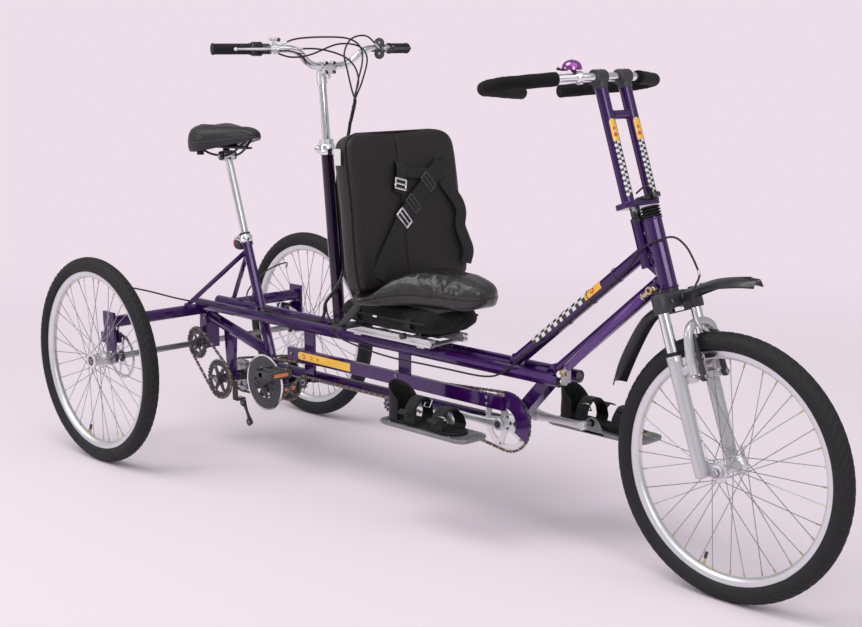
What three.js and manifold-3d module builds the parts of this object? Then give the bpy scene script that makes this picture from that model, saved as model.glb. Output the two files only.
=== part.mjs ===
// Adaptive tandem tricycle: a low padded seat in front, a saddle behind it, one sprung front wheel.
// Millimetres. +X forward, +Y to the riders' left, +Z up.
// The origin is on the ground, midway between the front axle and the rear axle.
import * as THREE from 'three';
import { mergeVertices } from 'three/addons/utils/BufferGeometryUtils.js';
import Module from 'manifold-3d';

const wasm = await Module();
wasm.setup();

// Clearances
const gap = 0.3;
const runningGap = 0.8;
const overrun = 2;

// Facet counts
const fine = 16;
const medium = 12;
const coarse = 8;
const cordSides = 4;
const tyreSides = 32;

// Main layout
const wheelbase = 2100;
const wheelRadius = 330;
const trackWidth = 876;
const rearAxle = { x: -wheelbase / 2, z: wheelRadius };
const frontAxle = { x: wheelbase / 2, z: wheelRadius };

// Wheels
const tyre = { width: 50, depth: 46, beadWidth: 25 };
const rim = { width: 26, depth: 19, wall: 3 };
const spoke = { radius: 1.5, sides: 3, countPerSide: 14, flangeRadius: 21 };
const frontHub = { halfWidth: 46, bodyRadius: 13, flangeRadius: 25, flangeWidth: 4, bore: 5.6 };
const rearHub = { halfWidth: 24, bodyRadius: 17, flangeRadius: 27, flangeWidth: 4, bore: 11.2 };

// Rear axle beam, its end plates and the two half shafts
const beam = { radius: 19, z: 445, wheelRoom: 59 };
const beamHalf = trackWidth / 2 - beam.wheelRoom;
const endPlate = { thickness: 8, width: 46, topWidth: 62, topRise: 33, backset: 8, bossRadius: 21 };
const halfShaft = { radius: 10, innerEnd: 14, outerStub: 19 };
const bearingBlock = { halfWidth: 13, radius: 19, clearShare: 3 };
const rotor = { radius: 75, ringWidth: 13, thickness: 2.2, inset: 24, hubRadius: 20 };
const caliper = { length: 58, height: 34, halfWidth: 15, slot: 6.2, anglePlace: 122 };

// Twin top rails
const rail = { radius: 17.5, wall: 3, offset: 40, z: 465, pastCrank: 182 };
const railTie = { length: 56, thickness: 6, rearShare: 1.5 };

// Seat tube, saddle pillar and saddle
const seatTube = { angle: 71.5, radius: 16, topZ: 700, collarRadius: 20, collarHeight: 22 };
const pillar = { radius: 13.5, insertion: 150, lowering: 60, topZ: 965, headLength: 44, headRadius: 15 };
const saddle = {
  length: 268,
  rearWidth: 196,
  thickness: 46,
  aboveHead: 23,
  behindHead: 108,
  railShares: [0.2, 0.8],
  legShares: [0.25, 0.75],
};
const stay = { radius: 8, spread: 100, topDrop: 34 };

// Cranks, sprockets and chains
const axleSpacing = { rearCrankAhead: 364, jackAhead: 120, frontCrankBehind: 682, headBehind: 192 };
const rearCrankAxle = { x: rearAxle.x + axleSpacing.rearCrankAhead, z: 254 };
const frontCrankAxle = { x: frontAxle.x - axleSpacing.frontCrankBehind, z: 322 };
const jackAxle = { x: rearAxle.x + axleSpacing.jackAhead, z: 225 };
const railFrontX = frontCrankAxle.x + rail.pastCrank;
const alongCranks = (share) => THREE.MathUtils.lerp(rearCrankAxle.x, frontCrankAxle.x, share);
const shell = { radius: 20, halfWidth: 33, bore: 13.2 };
const crank = { length: 165, spindleRadius: 9, armWidth: 24, armThickness: 14, armInner: 67, eyeRadius: 14 };
const rearCrankAngle = 25;
const frontCrankAngle = 180;
const pitch = 12.7;
const chain = { thickness: 7, height: 8.4 };
const sprocketThickness = 3;
const timingTeeth = 40;
const driveTeeth = 36;
const cassetteTeeth = 28;
const jackTeeth = 32;
const axleTeeth = 26;
const idlerTeeth = 10;
const timingPlane = -42;
const drivePlane = 42;
const finalPlane = -50;
const guardDisc = { radius: 92, thickness: 2.5 };
const pedal = { length: 96, width: 88, thickness: 24, inset: 12, axleRadius: 5 };
const lowerTube = { radius: 17.5, rearZ: 297, frontZ: 308 };
const diagonal = { radius: 19, beamDrop: 12, meetZ: 340 };
const idlerPlaces = { rearShare: 0.1765, frontShare: 0.5512, topZ: 305 };

// Side beam over the chain, with its rounded nose and its two posts
const sideBeam = { inner: 49, thickness: 14, bottomZ: 356, topZ: 394, pastCrank: 136 };
const nose = { outerRadius: 87, innerRadius: 42, lowestAngle: -28, thickness: 6 };
const post = { width: 45, thickness: 9, rearShare: 0.1954, frontShare: 0.6034, inner: 24 };

// Front triangle
const headAngle = 71.3;
const headTube = { bottomZ: 741, length: 177, radius: 22.5, bore: 16.6 };
const headFootX = frontAxle.x - axleSpacing.headBehind;
const mastTube = { setback: 46, radius: 17, bore: 13.1, bottom: 62, top: 176 };
const topTube = { radius: 18.5, behindCrank: 14, rearZ: 478, meetBack: 72, meetUp: 85 };
const downTube = { radius: 19, pastCrank: 136, rearZ: 475, meetBack: 12, meetUp: 25 };
const strut = { halfWidth: 20, height: 34, pastCrank: 12, rise: 18 };
const gusset = { thickness: 9, bottom: 6, top: 158 };

// Sprung fork, in its own frame: z runs up the steering axis, x forward, zero at the head tube's foot
const fork = {
  rake: 50,
  legSetback: 34,
  legSpread: 65,
  steererRadius: 15.4,
  crownTop: -7,
  crownHeight: 50,
  crownHalfWidth: 84,
  crownHalfDepth: 21,
  stanchionRadius: 14,
  stanchionLength: 190,
  lowerTop: -160,
  lowerRadius: 17.5,
  lowerBore: 14.5,
  lowerBelowAxle: 6,
  travel: 40,
  armLength: 48.5,
  ballShare: 0.8,
};
const boot = { radius: 21, height: 30, ribs: 3, ribRise: 3.5, topShare: 0.7 };
const arch = { top: -80, forward: 40, innerHalf: 38, outerHalf: 62, thickness: 24, depth: 22, rootZ: -215 };
const dropout = { thickness: 9, width: 30 };
const skewer = { radius: 4.4, nutRadius: 11, nutWidth: 9, leverLength: 46, leverWidth: 10 };
const brakePost = { z: -224, radius: 5, spread: 43, length: 16 };
const brakeArm = {
  length: 104, width: 15, thickness: 10, padLength: 52, padHeight: 11, padClearance: 1.5, bore: 5.8,
};
const guard = {
  halfWidth: 33, thickness: 3, crown: 12, slotStart: 218, slotEnd: 238, slotHalf: 7,
  arcShares: [-1, -0.6, 0, 0.6, 1],
};
const frontGuard = { reach: 254, drop: 32 };
const rearGuard = { reach: -230, drop: 192 };
// Along each blade: share of its reach, share of its drop, share of its half width
const frontGuardShares = [
  [0.161, 0.688, 0.5], [0.252, 0.5, 0.8], [0.543, 0.313, 1], [0.835, 0.625, 1], [1, 1, 0.6],
];
const rearGuardShares = [
  [0.039, 0.25, 0.6], [0.165, 0.198, 0.9], [0.365, 0.26, 1], [0.539, 0.406, 1], [0.809, 0.719, 1],
  [1, 1, 0.8],
];
const guardBridge = { halfWidth: 12, thickness: 3, frontX: 44, rearX: -12 };

// Steering drive from the captain's column to the fork
const column = { footX: -370, topX: -420, topZ: 1010, radius: 19, bore: 16.8, foot: 484 };
const steerShaft = {
  radius: 15.2, bore: 13.3, boreZ: 800, armZ: 459, armThickness: 12, armLength: 48, armWidth: 10,
  armEase: 5,
};
const shaftCollar = { radius: 22, height: 30 };
const pushRod = {
  radius: 9, tipRadius: 4, tipLength: 14, bushRadius: 14.1, bushLength: 24, frontReach: 20, endGap: 6.5,
  knuckleRise: 26, travel: 30, slack: 1.5,
};
const steerRod = {
  radius: 11, planeY: -62, ballRadius: 10, eyeLength: 34, neckRadius: 5, eyeWidth: 11, pinRadius: 5,
  bore: 5.8, topX: -11, topZ: 5,
};

// Captain's handlebar
const barPost = { radius: 12.5, bottomZ: 850, topZ: 1242, clampRadius: 19, clampHalfWidth: 24 };
const captainBar = {
  radius: 11.1,
  clampX: -416,
  clampZ: 1254,
  lowBend: { x: -410, y: 70, z: 1258 },
  highBend: { x: -392, y: 132, z: 1309 },
  end: { x: -471, y: 375, z: 1309 },
};
const barGrip = { radius: 16, length: 112, bore: 11.5 };
const lever = {
  pivotShare: 0.44, clampRadius: 15, clampLength: 20, ahead: 42, reach: 105, thickness: 9, width: 13,
  pinRadius: 3, bore: 3.8, eyeShare: 0.6,
};

// Front rider's bar and its twin-tube mast
const mast = {
  offset: 22, halfSpread: 47, radius: 16, plateZ: 36, plateHeight: 14, barZ: 364, crossZ: 268,
  crossShare: 0.7,
};
const mastClamp = { radius: 19, halfWidth: 21, bore: 12.3 };
const quill = { radius: 12.5, insertion: 70 };
const loopBar = {
  radius: 11,
  foamRadius: 17,
  foamBore: 12.3,
  foamStartShare: 0.12,
  bendRadius: 46,
  shoulder: { back: 32, y: 136, drop: 2 },
  outerBend: { back: 92, y: 303, drop: 14 },
  tip: { back: 150, y: 303, drop: 26 },
  end: { back: 227, y: 78, drop: 42 },
};
const bell = {
  alongShare: 0.42,
  clampRadius: 16,
  clampLength: 14,
  back: 24,
  rise: 8,
  radius: 25,
  height: 24,
  stalkRadius: 5,
  domeShares: [[1, 0], [0.94, 0.45], [0.66, 0.82]],
};

// Front rider's seat
const slideRail = {
  offset: 66, width: 22, height: 22, rearX: -250, frontX: 104, baseZ: 489, slot: 10, wall: 4,
};
const slideTie = { rearX: -205, frontX: 62, width: 30 };
const carriage = {
  rearX: -235, frontX: 70, thickness: 7, barWidth: 34, panHalf: 40, pillarX: 60, pillarSide: 62,
  plateHalf: 62, topZ: 588, rearBarShare: 1.5,
};
const seatBack = {
  postRadius: 11, postOffset: 135, postTopShare: 0.72, footX: -212, kneeX: -119, kneeZ: 600, footShare: 1.5,
};
const cushion = { rearX: -106, frontX: 262, halfWidth: 208, baseZ: 600, thickness: 92 };
const backrest = {
  foot: { x: -80, z: 640 },
  head: { x: -146, z: 1074 },
  halfWidth: 216,
  thickness: 66,
};
const seatBag = { rearX: -262, frontX: 142, halfWidth: 112, baseZ: 521, topZ: 586 };
const seatTravel = { back: 40 };

// Foot supports on the front cranks
const footPlate = { length: 336, width: 106, thickness: 12, drop: 32, inner: 112, cheekHeight: 48 };
const footCradle = {
  heelHeight: 104, wall: 9, sole: 7, heelRadius: 40, strapWidth: 44, strapHeight: 74, heelShare: 1.5,
  toeShare: 0.8, toeStrapShare: 1.2,
};
const footPin = { radius: 6 };

// Rear changer and cables
const changer = {
  pulleyRadius: 20, plate: 6, inner: 9, topZ: 212, elbowZ: 146, reach: 44, lean: 34, lowZ: 84, width: 26,
  dropShare: 0.6, cageShare: 0.7,
};
const cable = { radius: 2.6, loomRadius: 5, stepsPerPoint: 1.3 };

// Finishes
const finish = (
  color, roughness, metalness,
) => new THREE.MeshStandardMaterial({ color, roughness, metalness });
const violetPaint = finish('#3b1a63', 0.22, 0.35);
const blackPaint = finish('#18171a', 0.42, 0.2);
const blackPlastic = finish('#1d1d1f', 0.6, 0);
const rubber = finish('#26262a', 0.85, 0);
const foam = finish('#1b1b1d', 0.9, 0);
const vinyl = finish('#2a292c', 0.38, 0);
const cloth = finish('#161618', 0.95, 0);
const steel = finish('#a9abb0', 0.32, 0.95);
const chrome = finish('#d8dade', 0.12, 1);
const alloy = finish('#c4c6ca', 0.38, 0.9);
const greyPlate = finish('#8b8d91', 0.55, 0.4);
const chainSteel = finish('#5f564a', 0.45, 0.9);

const part = new THREE.Group();
const at = (x, y, z) => new THREE.Vector3(x, y, z);
const radians = (value) => THREE.MathUtils.degToRad(value);
const weldTolerance = 1e-3;

// Turns a closed geometry into a solid whose faces point out
function solidOf(geometry) {
  const bare = geometry.clone();
  bare.deleteAttribute('normal');
  bare.deleteAttribute('uv');
  const welded = mergeVertices(bare, weldTolerance);
  const places = welded.attributes.position.array;
  const corners = welded.index.array;
  const faces = [];
  let volume = 0;
  for (let i = 0; i < corners.length; i += 3) {
    const face = [corners[i], corners[i + 1], corners[i + 2]];
    if (new Set(face).size < face.length) continue;
    const [a, b, c] = face.map((k) => new THREE.Vector3().fromArray(places, 3 * k));
    volume += a.dot(b.cross(c));
    faces.push(face);
  }
  if (volume < 0) faces.forEach((face) => face.reverse());
  return new wasm.Manifold(new wasm.Mesh({
    numProp: 3,
    vertProperties: new Float32Array(places),
    triVerts: new Uint32Array(faces.flat()),
  }));
}

function geometryOf(body) {
  const mesh = body.getMesh();
  const geometry = new THREE.BufferGeometry();
  geometry.setAttribute('position', new THREE.BufferAttribute(mesh.vertProperties, 3));
  geometry.setIndex(new THREE.BufferAttribute(mesh.triVerts, 1));
  geometry.computeVertexNormals();
  return geometry;
}

function piece(parent, name, body, material) {
  const mesh = new THREE.Mesh(geometryOf(body), material);
  mesh.name = name;
  parent.add(mesh);
}

const join = (...bodies) => bodies.reduce((sum, body) => sum.add(body));
const cut = (body, ...tools) => tools.reduce((rest, tool) => rest.subtract(tool), body);

// A straight bar between two points
function rod(from, to, radius, sides = medium) {
  const run = to.clone().sub(from);
  const geometry = new THREE.CylinderGeometry(radius, radius, run.length(), sides);
  geometry.applyQuaternion(new THREE.Quaternion().setFromUnitVectors(at(0, 1, 0), run.clone().normalize()));
  const middle = from.clone().add(to).divideScalar(2);
  geometry.translate(middle.x, middle.y, middle.z);
  return solidOf(geometry);
}

// The same bar swollen by the clearance, to cut its neighbours
function roomFor(from, to, radius, sides = medium, clearance = gap) {
  const ease = to.clone().sub(from).setLength(clearance);
  return rod(from.clone().sub(ease), to.clone().add(ease), radius + clearance, sides);
}

function block(low, high) {
  const size = high.clone().sub(low);
  const geometry = new THREE.BoxGeometry(size.x, size.y, size.z);
  geometry.translate(...low.clone().add(high).divideScalar(2).toArray());
  return solidOf(geometry);
}

// Flat plates: an outline in the side view, the plan or the front view, with a thickness
function plate(outline, low, high, basis) {
  const drawn = outline instanceof THREE.Shape;
  const shape = drawn ? outline : new THREE.Shape(outline.map((p) => new THREE.Vector2(...p)));
  const geometry = new THREE.ExtrudeGeometry(
    shape, { depth: high - low, bevelEnabled: false, curveSegments: coarse },
  );
  geometry.translate(0, 0, low);
  geometry.applyMatrix4(basis);
  return solidOf(geometry);
}
const sideBasis = new THREE.Matrix4().makeBasis(at(1, 0, 0), at(0, 0, 1), at(0, 1, 0));
const planBasis = new THREE.Matrix4();
const frontBasis = new THREE.Matrix4().makeBasis(at(0, 1, 0), at(0, 0, 1), at(1, 0, 0));
const sidePlate = (outline, lowY, highY) => plate(outline, lowY, highY, sideBasis);
const planPlate = (outline, lowZ, highZ) => plate(outline, lowZ, highZ, planBasis);
const frontPlate = (outline, lowX, highX) => plate(outline, lowX, highX, frontBasis);

// A turned piece about a line along Y; each profile point is radius, then Y
function turned(profile, segments = fine, turn = 0) {
  const geometry = new THREE.LatheGeometry(profile.map((p) => new THREE.Vector2(...p)), segments);
  geometry.rotateY(turn);
  return solidOf(geometry);
}

// The same about a line along Z
function turnedUp(profile, segments = fine) {
  const geometry = new THREE.LatheGeometry(profile.map((p) => new THREE.Vector2(...p)), segments);
  geometry.rotateX(Math.PI / 2);
  return solidOf(geometry);
}

// A bent tube: straight runs with rings only at their ends, and rounded corners between them
class Route extends THREE.Curve {
  constructor(stations) {
    super();
    this.stations = stations;
  }

  getPoint(share) {
    return this.stations[Math.round(share * (this.stations.length - 1))].clone();
  }

  getPointAt(share) {
    return this.getPoint(share);
  }

  getTangentAt(share) {
    const here = Math.round(share * (this.stations.length - 1));
    const before = this.stations[Math.max(here - 1, 0)];
    const after = this.stations[Math.min(here + 1, this.stations.length - 1)];
    return after.clone().sub(before).normalize();
  }
}

function rounded(corners, bendRadius, steps) {
  const stations = [corners[0].clone()];
  corners.slice(1, -1).forEach((corner, i) => {
    const back = corners[i].clone().sub(corner).setLength(bendRadius).add(corner);
    const ahead = corners[i + 2].clone().sub(corner).setLength(bendRadius).add(corner);
    const bend = new THREE.QuadraticBezierCurve3(back, corner, ahead);
    stations.push(...bend.getPoints(steps));
  });
  stations.push(corners[corners.length - 1].clone());
  return stations;
}

function bent(stations, radius, sides) {
  const ring = Array.from({ length: sides }, (_, i) => {
    const angle = (2 * Math.PI * i) / sides;
    return new THREE.Vector2(radius * Math.cos(angle), radius * Math.sin(angle));
  });
  const geometry = new THREE.ExtrudeGeometry(new THREE.Shape(ring), {
    steps: stations.length - 1,
    extrudePath: new Route(stations),
    bevelEnabled: false,
  });
  return solidOf(geometry);
}

// A smooth cord through hand-placed points
function cord(points, radius, steps) {
  const curve = new THREE.CatmullRomCurve3(points.map((p) => at(...p)), false, 'centripetal');
  return bent(curve.getSpacedPoints(steps), radius, cordSides);
}

const mirrored = (body) => body.mirror([0, 1, 0]);
const pitchRadius = (teeth) => (teeth * pitch) / (2 * Math.PI);

// Places in the steering frame: x forward of the steering axis, z up along it
const headLean = radians(90 - headAngle);
const headFoot = at(headFootX, 0, headTube.bottomZ);
const onHead = (x, y, z) => at(x, y, z).applyAxisAngle(at(0, 1, 0), -headLean).add(headFoot);

// Wheels. The tyre's flats meet the ground, so its corners stand a little further out.
const beadRadius = wheelRadius - tyre.depth;
const halfFacet = Math.PI / tyreSides;

function tyreSolid() {
  const crownShares = [[0, -0.28], [0.5, -0.5], [1, -0.22], [1, 0.22], [0.5, 0.5], [0, 0.28]];
  const profile = crownShares.map(([rise, across]) => [
    (beadRadius + rise * tyre.depth) / Math.cos(halfFacet),
    across * tyre.width,
  ]);
  return turned([...profile, profile[0]], tyreSides, halfFacet);
}

// Rim, spokes and hub, laced into one piece
function lacedWheel(hub) {
  const outer = beadRadius - gap / Math.cos(halfFacet);
  const seat = outer / Math.cos(halfFacet);
  const inner = seat - rim.depth;
  const half = rim.width / 2;
  const rimBody = turned([
    [seat, -half], [seat, half], [inner, half / 2], [inner, -half / 2], [seat, -half],
  ], tyreSides, halfFacet);
  const flangeY = hub.halfWidth - hub.flangeWidth;
  const hubBody = turned([
    [hub.bore, -hub.halfWidth], [hub.bodyRadius, -hub.halfWidth], [hub.flangeRadius, -hub.halfWidth],
    [hub.flangeRadius, -flangeY], [hub.bodyRadius, -flangeY], [hub.bodyRadius, flangeY],
    [hub.flangeRadius, flangeY], [hub.flangeRadius, hub.halfWidth], [hub.bore, hub.halfWidth],
    [hub.bore, -hub.halfWidth],
  ], coarse);
  const spokes = [];
  for (const side of [-1, 1]) {
    for (let i = 0; i < spoke.countPerSide; i += 1) {
      const angle = (2 * Math.PI * (i + side / 4)) / spoke.countPerSide;
      const ray = at(Math.cos(angle), 0, Math.sin(angle));
      const footY = side * (flangeY + hub.flangeWidth / 2);
      const foot = ray.clone().multiplyScalar(spoke.flangeRadius).setY(footY);
      const tip = ray.clone().multiplyScalar(inner + rim.wall).setY(side * rim.wall);
      spokes.push(rod(foot, tip, spoke.radius, spoke.sides));
    }
  }
  return join(rimBody, hubBody, ...spokes);
}

function addWheel(name, x, y, hub) {
  const wheel = new THREE.Group();
  wheel.position.set(x, y, wheelRadius);
  part.add(wheel);
  piece(wheel, `${name}_tyre`, tyreSolid(), rubber);
  piece(wheel, `${name}_wheel`, lacedWheel(hub), alloy);
}

addWheel('front', frontAxle.x, 0, frontHub);
addWheel('right', rearAxle.x, -trackWidth / 2, rearHub);
addWheel('left', rearAxle.x, trackWidth / 2, rearHub);

// Half shafts: each turns with one rear wheel and carries its brake rotor
const plateY = beamHalf + gap + endPlate.thickness / 2;
const rotorY = plateY - endPlate.thickness / 2 - rotor.inset;
const shaftEnd = trackWidth / 2 + halfShaft.outerStub;

function chainwheel(teeth, planeY, thickness = sprocketThickness, sides = fine) {
  const radius = pitchRadius(teeth) - chain.height / 2 - gap;
  const half = thickness / 2;
  return rod(at(0, planeY - half, 0), at(0, planeY + half, 0), radius, sides);
}

function halfShaftSolid(side) {
  const shaft = rod(at(0, side * halfShaft.innerEnd, 0), at(0, side * shaftEnd, 0), halfShaft.radius);
  const discFace = (y, radius, half) => rod(at(0, y - half, 0), at(0, y + half, 0), radius, fine);
  const disc = cut(
    discFace(side * rotorY, rotor.radius, rotor.thickness / 2),
    discFace(side * rotorY, rotor.radius - rotor.ringWidth, rotor.thickness),
  );
  const spider = [0, 1, 2].map((i) => {
    const reach = rotor.radius - rotor.ringWidth / 2;
    const angle = (Math.PI * i) / 3;
    const tip = at(reach * Math.cos(angle), side * rotorY, reach * Math.sin(angle));
    return rod(tip.clone().setX(-tip.x).setZ(-tip.z), tip, rotor.thickness / 2, spoke.sides);
  });
  const carrier = discFace(side * rotorY, rotor.hubRadius, rotor.thickness);
  return join(shaft, disc, carrier, ...spider);
}

const axles = new THREE.Group();
axles.position.set(rearAxle.x, 0, rearAxle.z);
part.add(axles);
const driveSprocket = chainwheel(axleTeeth, finalPlane);
const sprocketBoss = rod(
  at(0, finalPlane - sprocketThickness, 0),
  at(0, finalPlane + sprocketThickness, 0),
  halfShaft.radius + spoke.flangeRadius / 2,
);
piece(axles, 'drive_axle', join(halfShaftSolid(-1), driveSprocket, sprocketBoss), steel);
piece(axles, 'free_axle', halfShaftSolid(1), steel);

// Axle beam with the middle bearing block that the half shafts run in
function axleBeam() {
  const tube = rod(at(rearAxle.x, -beamHalf, beam.z), at(rearAxle.x, beamHalf, beam.z), beam.radius);
  const blockTop = at(rearAxle.x + bearingBlock.radius, bearingBlock.halfWidth * 2, beam.z);
  const hanger = block(
    at(rearAxle.x - bearingBlock.radius, -bearingBlock.halfWidth * 2, rearAxle.z - bearingBlock.radius),
    blockTop,
  );
  const bore = rod(
    at(rearAxle.x, -bearingBlock.halfWidth * bearingBlock.clearShare, rearAxle.z),
    at(rearAxle.x, bearingBlock.halfWidth * bearingBlock.clearShare, rearAxle.z),
    halfShaft.radius + runningGap,
  );
  return cut(join(tube, hanger), bore);
}
piece(part, 'axle_beam', axleBeam(), violetPaint);

// End plates: each hangs the axle bearing and the brake caliper from the beam's end
function axlePlate() {
  const low = plateY - endPlate.thickness / 2;
  const high = plateY + endPlate.thickness / 2;
  const top = beam.z + endPlate.topRise;
  const backX = rearAxle.x - endPlate.topWidth / 2 - endPlate.backset;
  const frontX = rearAxle.x + endPlate.topWidth / 2 - endPlate.backset;
  const sheet = sidePlate([
    [rearAxle.x - endPlate.width / 2, rearAxle.z], [rearAxle.x + endPlate.width / 2, rearAxle.z],
    [frontX, beam.z], [frontX, top], [backX, top], [backX, beam.z],
  ], low, high);
  const centre = (y) => at(rearAxle.x, y, rearAxle.z);
  const boss = rod(centre(low - endPlate.thickness), centre(high), endPlate.bossRadius, fine);
  const bore = rod(
    centre(low - 2 * endPlate.thickness), centre(high + overrun), halfShaft.radius + runningGap,
  );
  const reach = rotor.radius - rotor.ringWidth / 2;
  const angle = radians(caliper.anglePlace);
  const seat = at(rearAxle.x + reach * Math.cos(angle), rotorY, rearAxle.z + reach * Math.sin(angle));
  const jaw = block(
    seat.clone().sub(at(caliper.length / 2, caliper.halfWidth, caliper.height / 2)),
    at(seat.x + caliper.length / 2, low + overrun, seat.z + caliper.height / 2),
  );
  const slot = rod(
    at(rearAxle.x, rotorY - caliper.slot / 2, rearAxle.z),
    at(rearAxle.x, rotorY + caliper.slot / 2, rearAxle.z),
    rotor.radius + runningGap * 2,
    fine,
  );
  return cut(join(sheet, boss, jaw), bore, slot, roomFor(
    at(rearAxle.x, 0, beam.z), at(rearAxle.x, beamHalf, beam.z), beam.radius,
  ));
}
piece(part, 'axle_plate_left', axlePlate(), violetPaint);
piece(part, 'axle_plate_right', mirrored(axlePlate()), violetPaint);

// Frame tubes, as the two ends of each centre line
const railEnds = (side) => [
  at(rearAxle.x + overrun, side * rail.offset, rail.z),
  at(railFrontX, side * rail.offset, rail.z),
];
const seatLean = at(-1 / Math.tan(radians(seatTube.angle)), 0, 1);
const onSeatTube = (z) => seatLean.clone().multiplyScalar(z - rearCrankAxle.z).add(at(
  rearCrankAxle.x, 0, rearCrankAxle.z,
));
const seatTubeEnds = [onSeatTube(rearCrankAxle.z), onSeatTube(seatTube.topZ)];
const columnLean = at(column.topX - column.footX, 0, column.topZ - column.foot).normalize();
const onColumn = (z) => columnLean.clone().multiplyScalar((z - column.foot) / columnLean.z).add(at(
  column.footX, 0, column.foot,
));
const insideRails = rail.offset - rail.radius;
const topTubeEnds = [
  at(frontCrankAxle.x - topTube.behindCrank, 0, topTube.rearZ),
  headFoot.clone().add(at(-topTube.meetBack, 0, topTube.meetUp)),
];
const downTubeEnds = [
  at(frontCrankAxle.x + downTube.pastCrank, 0, downTube.rearZ),
  headFoot.clone().add(at(-downTube.meetBack, 0, downTube.meetUp)),
];

// Twin rails, tied together by plates where other tubes stand on them
function topRails() {
  const tieLow = rail.z - rail.radius;
  const tieHigh = tieLow + railTie.thickness;
  const tie = (centreX) => block(
    at(centreX - railTie.length / 2, -rail.offset, tieLow),
    at(centreX + railTie.length / 2, rail.offset, tieHigh),
  );
  const tubes = [-1, 1].map((side) => rod(...railEnds(side), rail.radius));
  const bores = [-1, 1].map((side) => rod(
    at(rearAxle.x, side * rail.offset, rail.z),
    at(railFrontX + overrun, side * rail.offset, rail.z),
    rail.radius - rail.wall,
    coarse,
  ));
  const columnTie = block(
    at(column.footX - railTie.length / 2, -rail.offset, rail.z + rail.radius / 2),
    at(column.footX + railTie.length / 2, rail.offset, column.foot - gap),
  );
  const columnX = onColumn(rail.z).x;
  const shaftRoom = block(
    at(columnX - steerShaft.radius - steerShaft.armEase, -steerShaft.radius - runningGap, tieLow - overrun),
    at(
      columnX + steerShaft.radius + steerShaft.armEase, steerShaft.radius + runningGap,
      column.foot + overrun,
    ),
  );
  const slotHalf = insideRails + steerShaft.armWidth;
  const armSlot = block(
    at(columnX - slotHalf, -rail.offset, steerShaft.armZ - steerShaft.armEase),
    at(columnX + slotHalf, 0, steerShaft.armZ + steerShaft.armThickness + steerShaft.armEase),
  );
  const knuckleRear = railFrontX + pushRod.frontReach - pushRod.radius - pushRod.travel;
  const knuckleHalf = pushRod.radius + pushRod.slack;
  const knuckleSlot = block(
    at(knuckleRear, -rail.offset - knuckleHalf, rail.z - pushRod.slack),
    at(railFrontX + overrun, -rail.offset + knuckleHalf, rail.z + rail.radius + overrun),
  );
  const seatPoint = onSeatTube(rail.z).x;
  const topTie = topTubeEnds[0].x - railTie.length / 2;
  return cut(
    join(
      ...tubes, columnTie, tie(seatPoint), tie(topTie),
      tie(rearAxle.x + railTie.length * railTie.rearShare),
    ),
    ...bores,
    roomFor(at(rearAxle.x, -beamHalf, beam.z), at(rearAxle.x, beamHalf, beam.z), beam.radius),
    roomFor(...seatTubeEnds, seatTube.radius),
    shaftRoom,
    armSlot,
    knuckleSlot,
  );
}
piece(part, 'top_rails', topRails(), violetPaint);

// Rear frame: diagonal, seat tube, stays, crank shell and the jackshaft's hanger
function shellAt(axle, radius = shell.radius) {
  return rod(at(axle.x, -shell.halfWidth, axle.z), at(axle.x, shell.halfWidth, axle.z), radius);
}
function shellBore(axle, radius = shell.bore) {
  const reach = shell.halfWidth + overrun;
  return rod(at(axle.x, -reach, axle.z), at(axle.x, reach, axle.z), radius);
}
const seatCollar = [onSeatTube(seatTube.topZ - seatTube.collarHeight), onSeatTube(seatTube.topZ)];
const pillarEnds = [onSeatTube(seatTube.topZ - pillar.insertion), onSeatTube(pillar.topZ)];
const jackShell = { radius: 15, halfWidth: 22, bore: 9.6, plate: 7 };
const diagonalEnds = [
  at(rearAxle.x, 0, beam.z - beam.radius - diagonal.beamDrop / 2),
  onSeatTube(diagonal.meetZ),
];

function rearFrame() {
  const stayFoot = (side) => at(rearAxle.x, side * stay.spread, beam.z + beam.radius / 2);
  const stayHead = onSeatTube(seatTube.topZ - stay.topDrop);
  const stays = [-1, 1].map((side) => rod(stayFoot(side), stayHead, stay.radius, coarse));
  const hangerTop = diagonalEnds[0].z;
  const hanger = sidePlate([
    [jackAxle.x - jackShell.radius, jackAxle.z], [jackAxle.x + jackShell.radius, jackAxle.z],
    [
      jackAxle.x + 2 * jackShell.radius, hangerTop - diagonal.radius,
    ], [jackAxle.x - 2 * jackShell.radius, hangerTop - diagonal.radius],
  ], -jackShell.plate, jackShell.plate);
  const jackTube = rod(
    at(jackAxle.x, -jackShell.halfWidth, jackAxle.z),
    at(jackAxle.x, jackShell.halfWidth, jackAxle.z),
    jackShell.radius,
  );
  const jackBore = rod(
    at(jackAxle.x, -jackShell.halfWidth - overrun, jackAxle.z),
    at(jackAxle.x, jackShell.halfWidth + overrun, jackAxle.z),
    jackShell.bore,
  );
  const body = join(
    rod(...diagonalEnds, diagonal.radius),
    rod(...seatTubeEnds, seatTube.radius),
    rod(...seatCollar, seatTube.collarRadius),
    shellAt(rearCrankAxle),
    hanger,
    jackTube,
    ...stays,
  );
  const pillarFoot = onSeatTube(seatTube.topZ - pillar.insertion - pillar.lowering - overrun);
  const pillarRoom = rod(pillarFoot, onSeatTube(seatTube.topZ + overrun), pillar.radius + gap * 2);
  return cut(
    body,
    roomFor(at(rearAxle.x, -beamHalf, beam.z), at(rearAxle.x, beamHalf, beam.z), beam.radius),
    block(
      at(
        rearAxle.x - bearingBlock.radius * 2, -bearingBlock.halfWidth * bearingBlock.clearShare,
        rearAxle.z - beam.radius * 2,
      ),
      at(rearAxle.x + bearingBlock.radius + gap, bearingBlock.halfWidth * bearingBlock.clearShare, beam.z),
    ),
    shellBore(rearCrankAxle),
    jackBore,
    pillarRoom,
  );
}
piece(part, 'rear_frame', rearFrame(), violetPaint);

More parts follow.
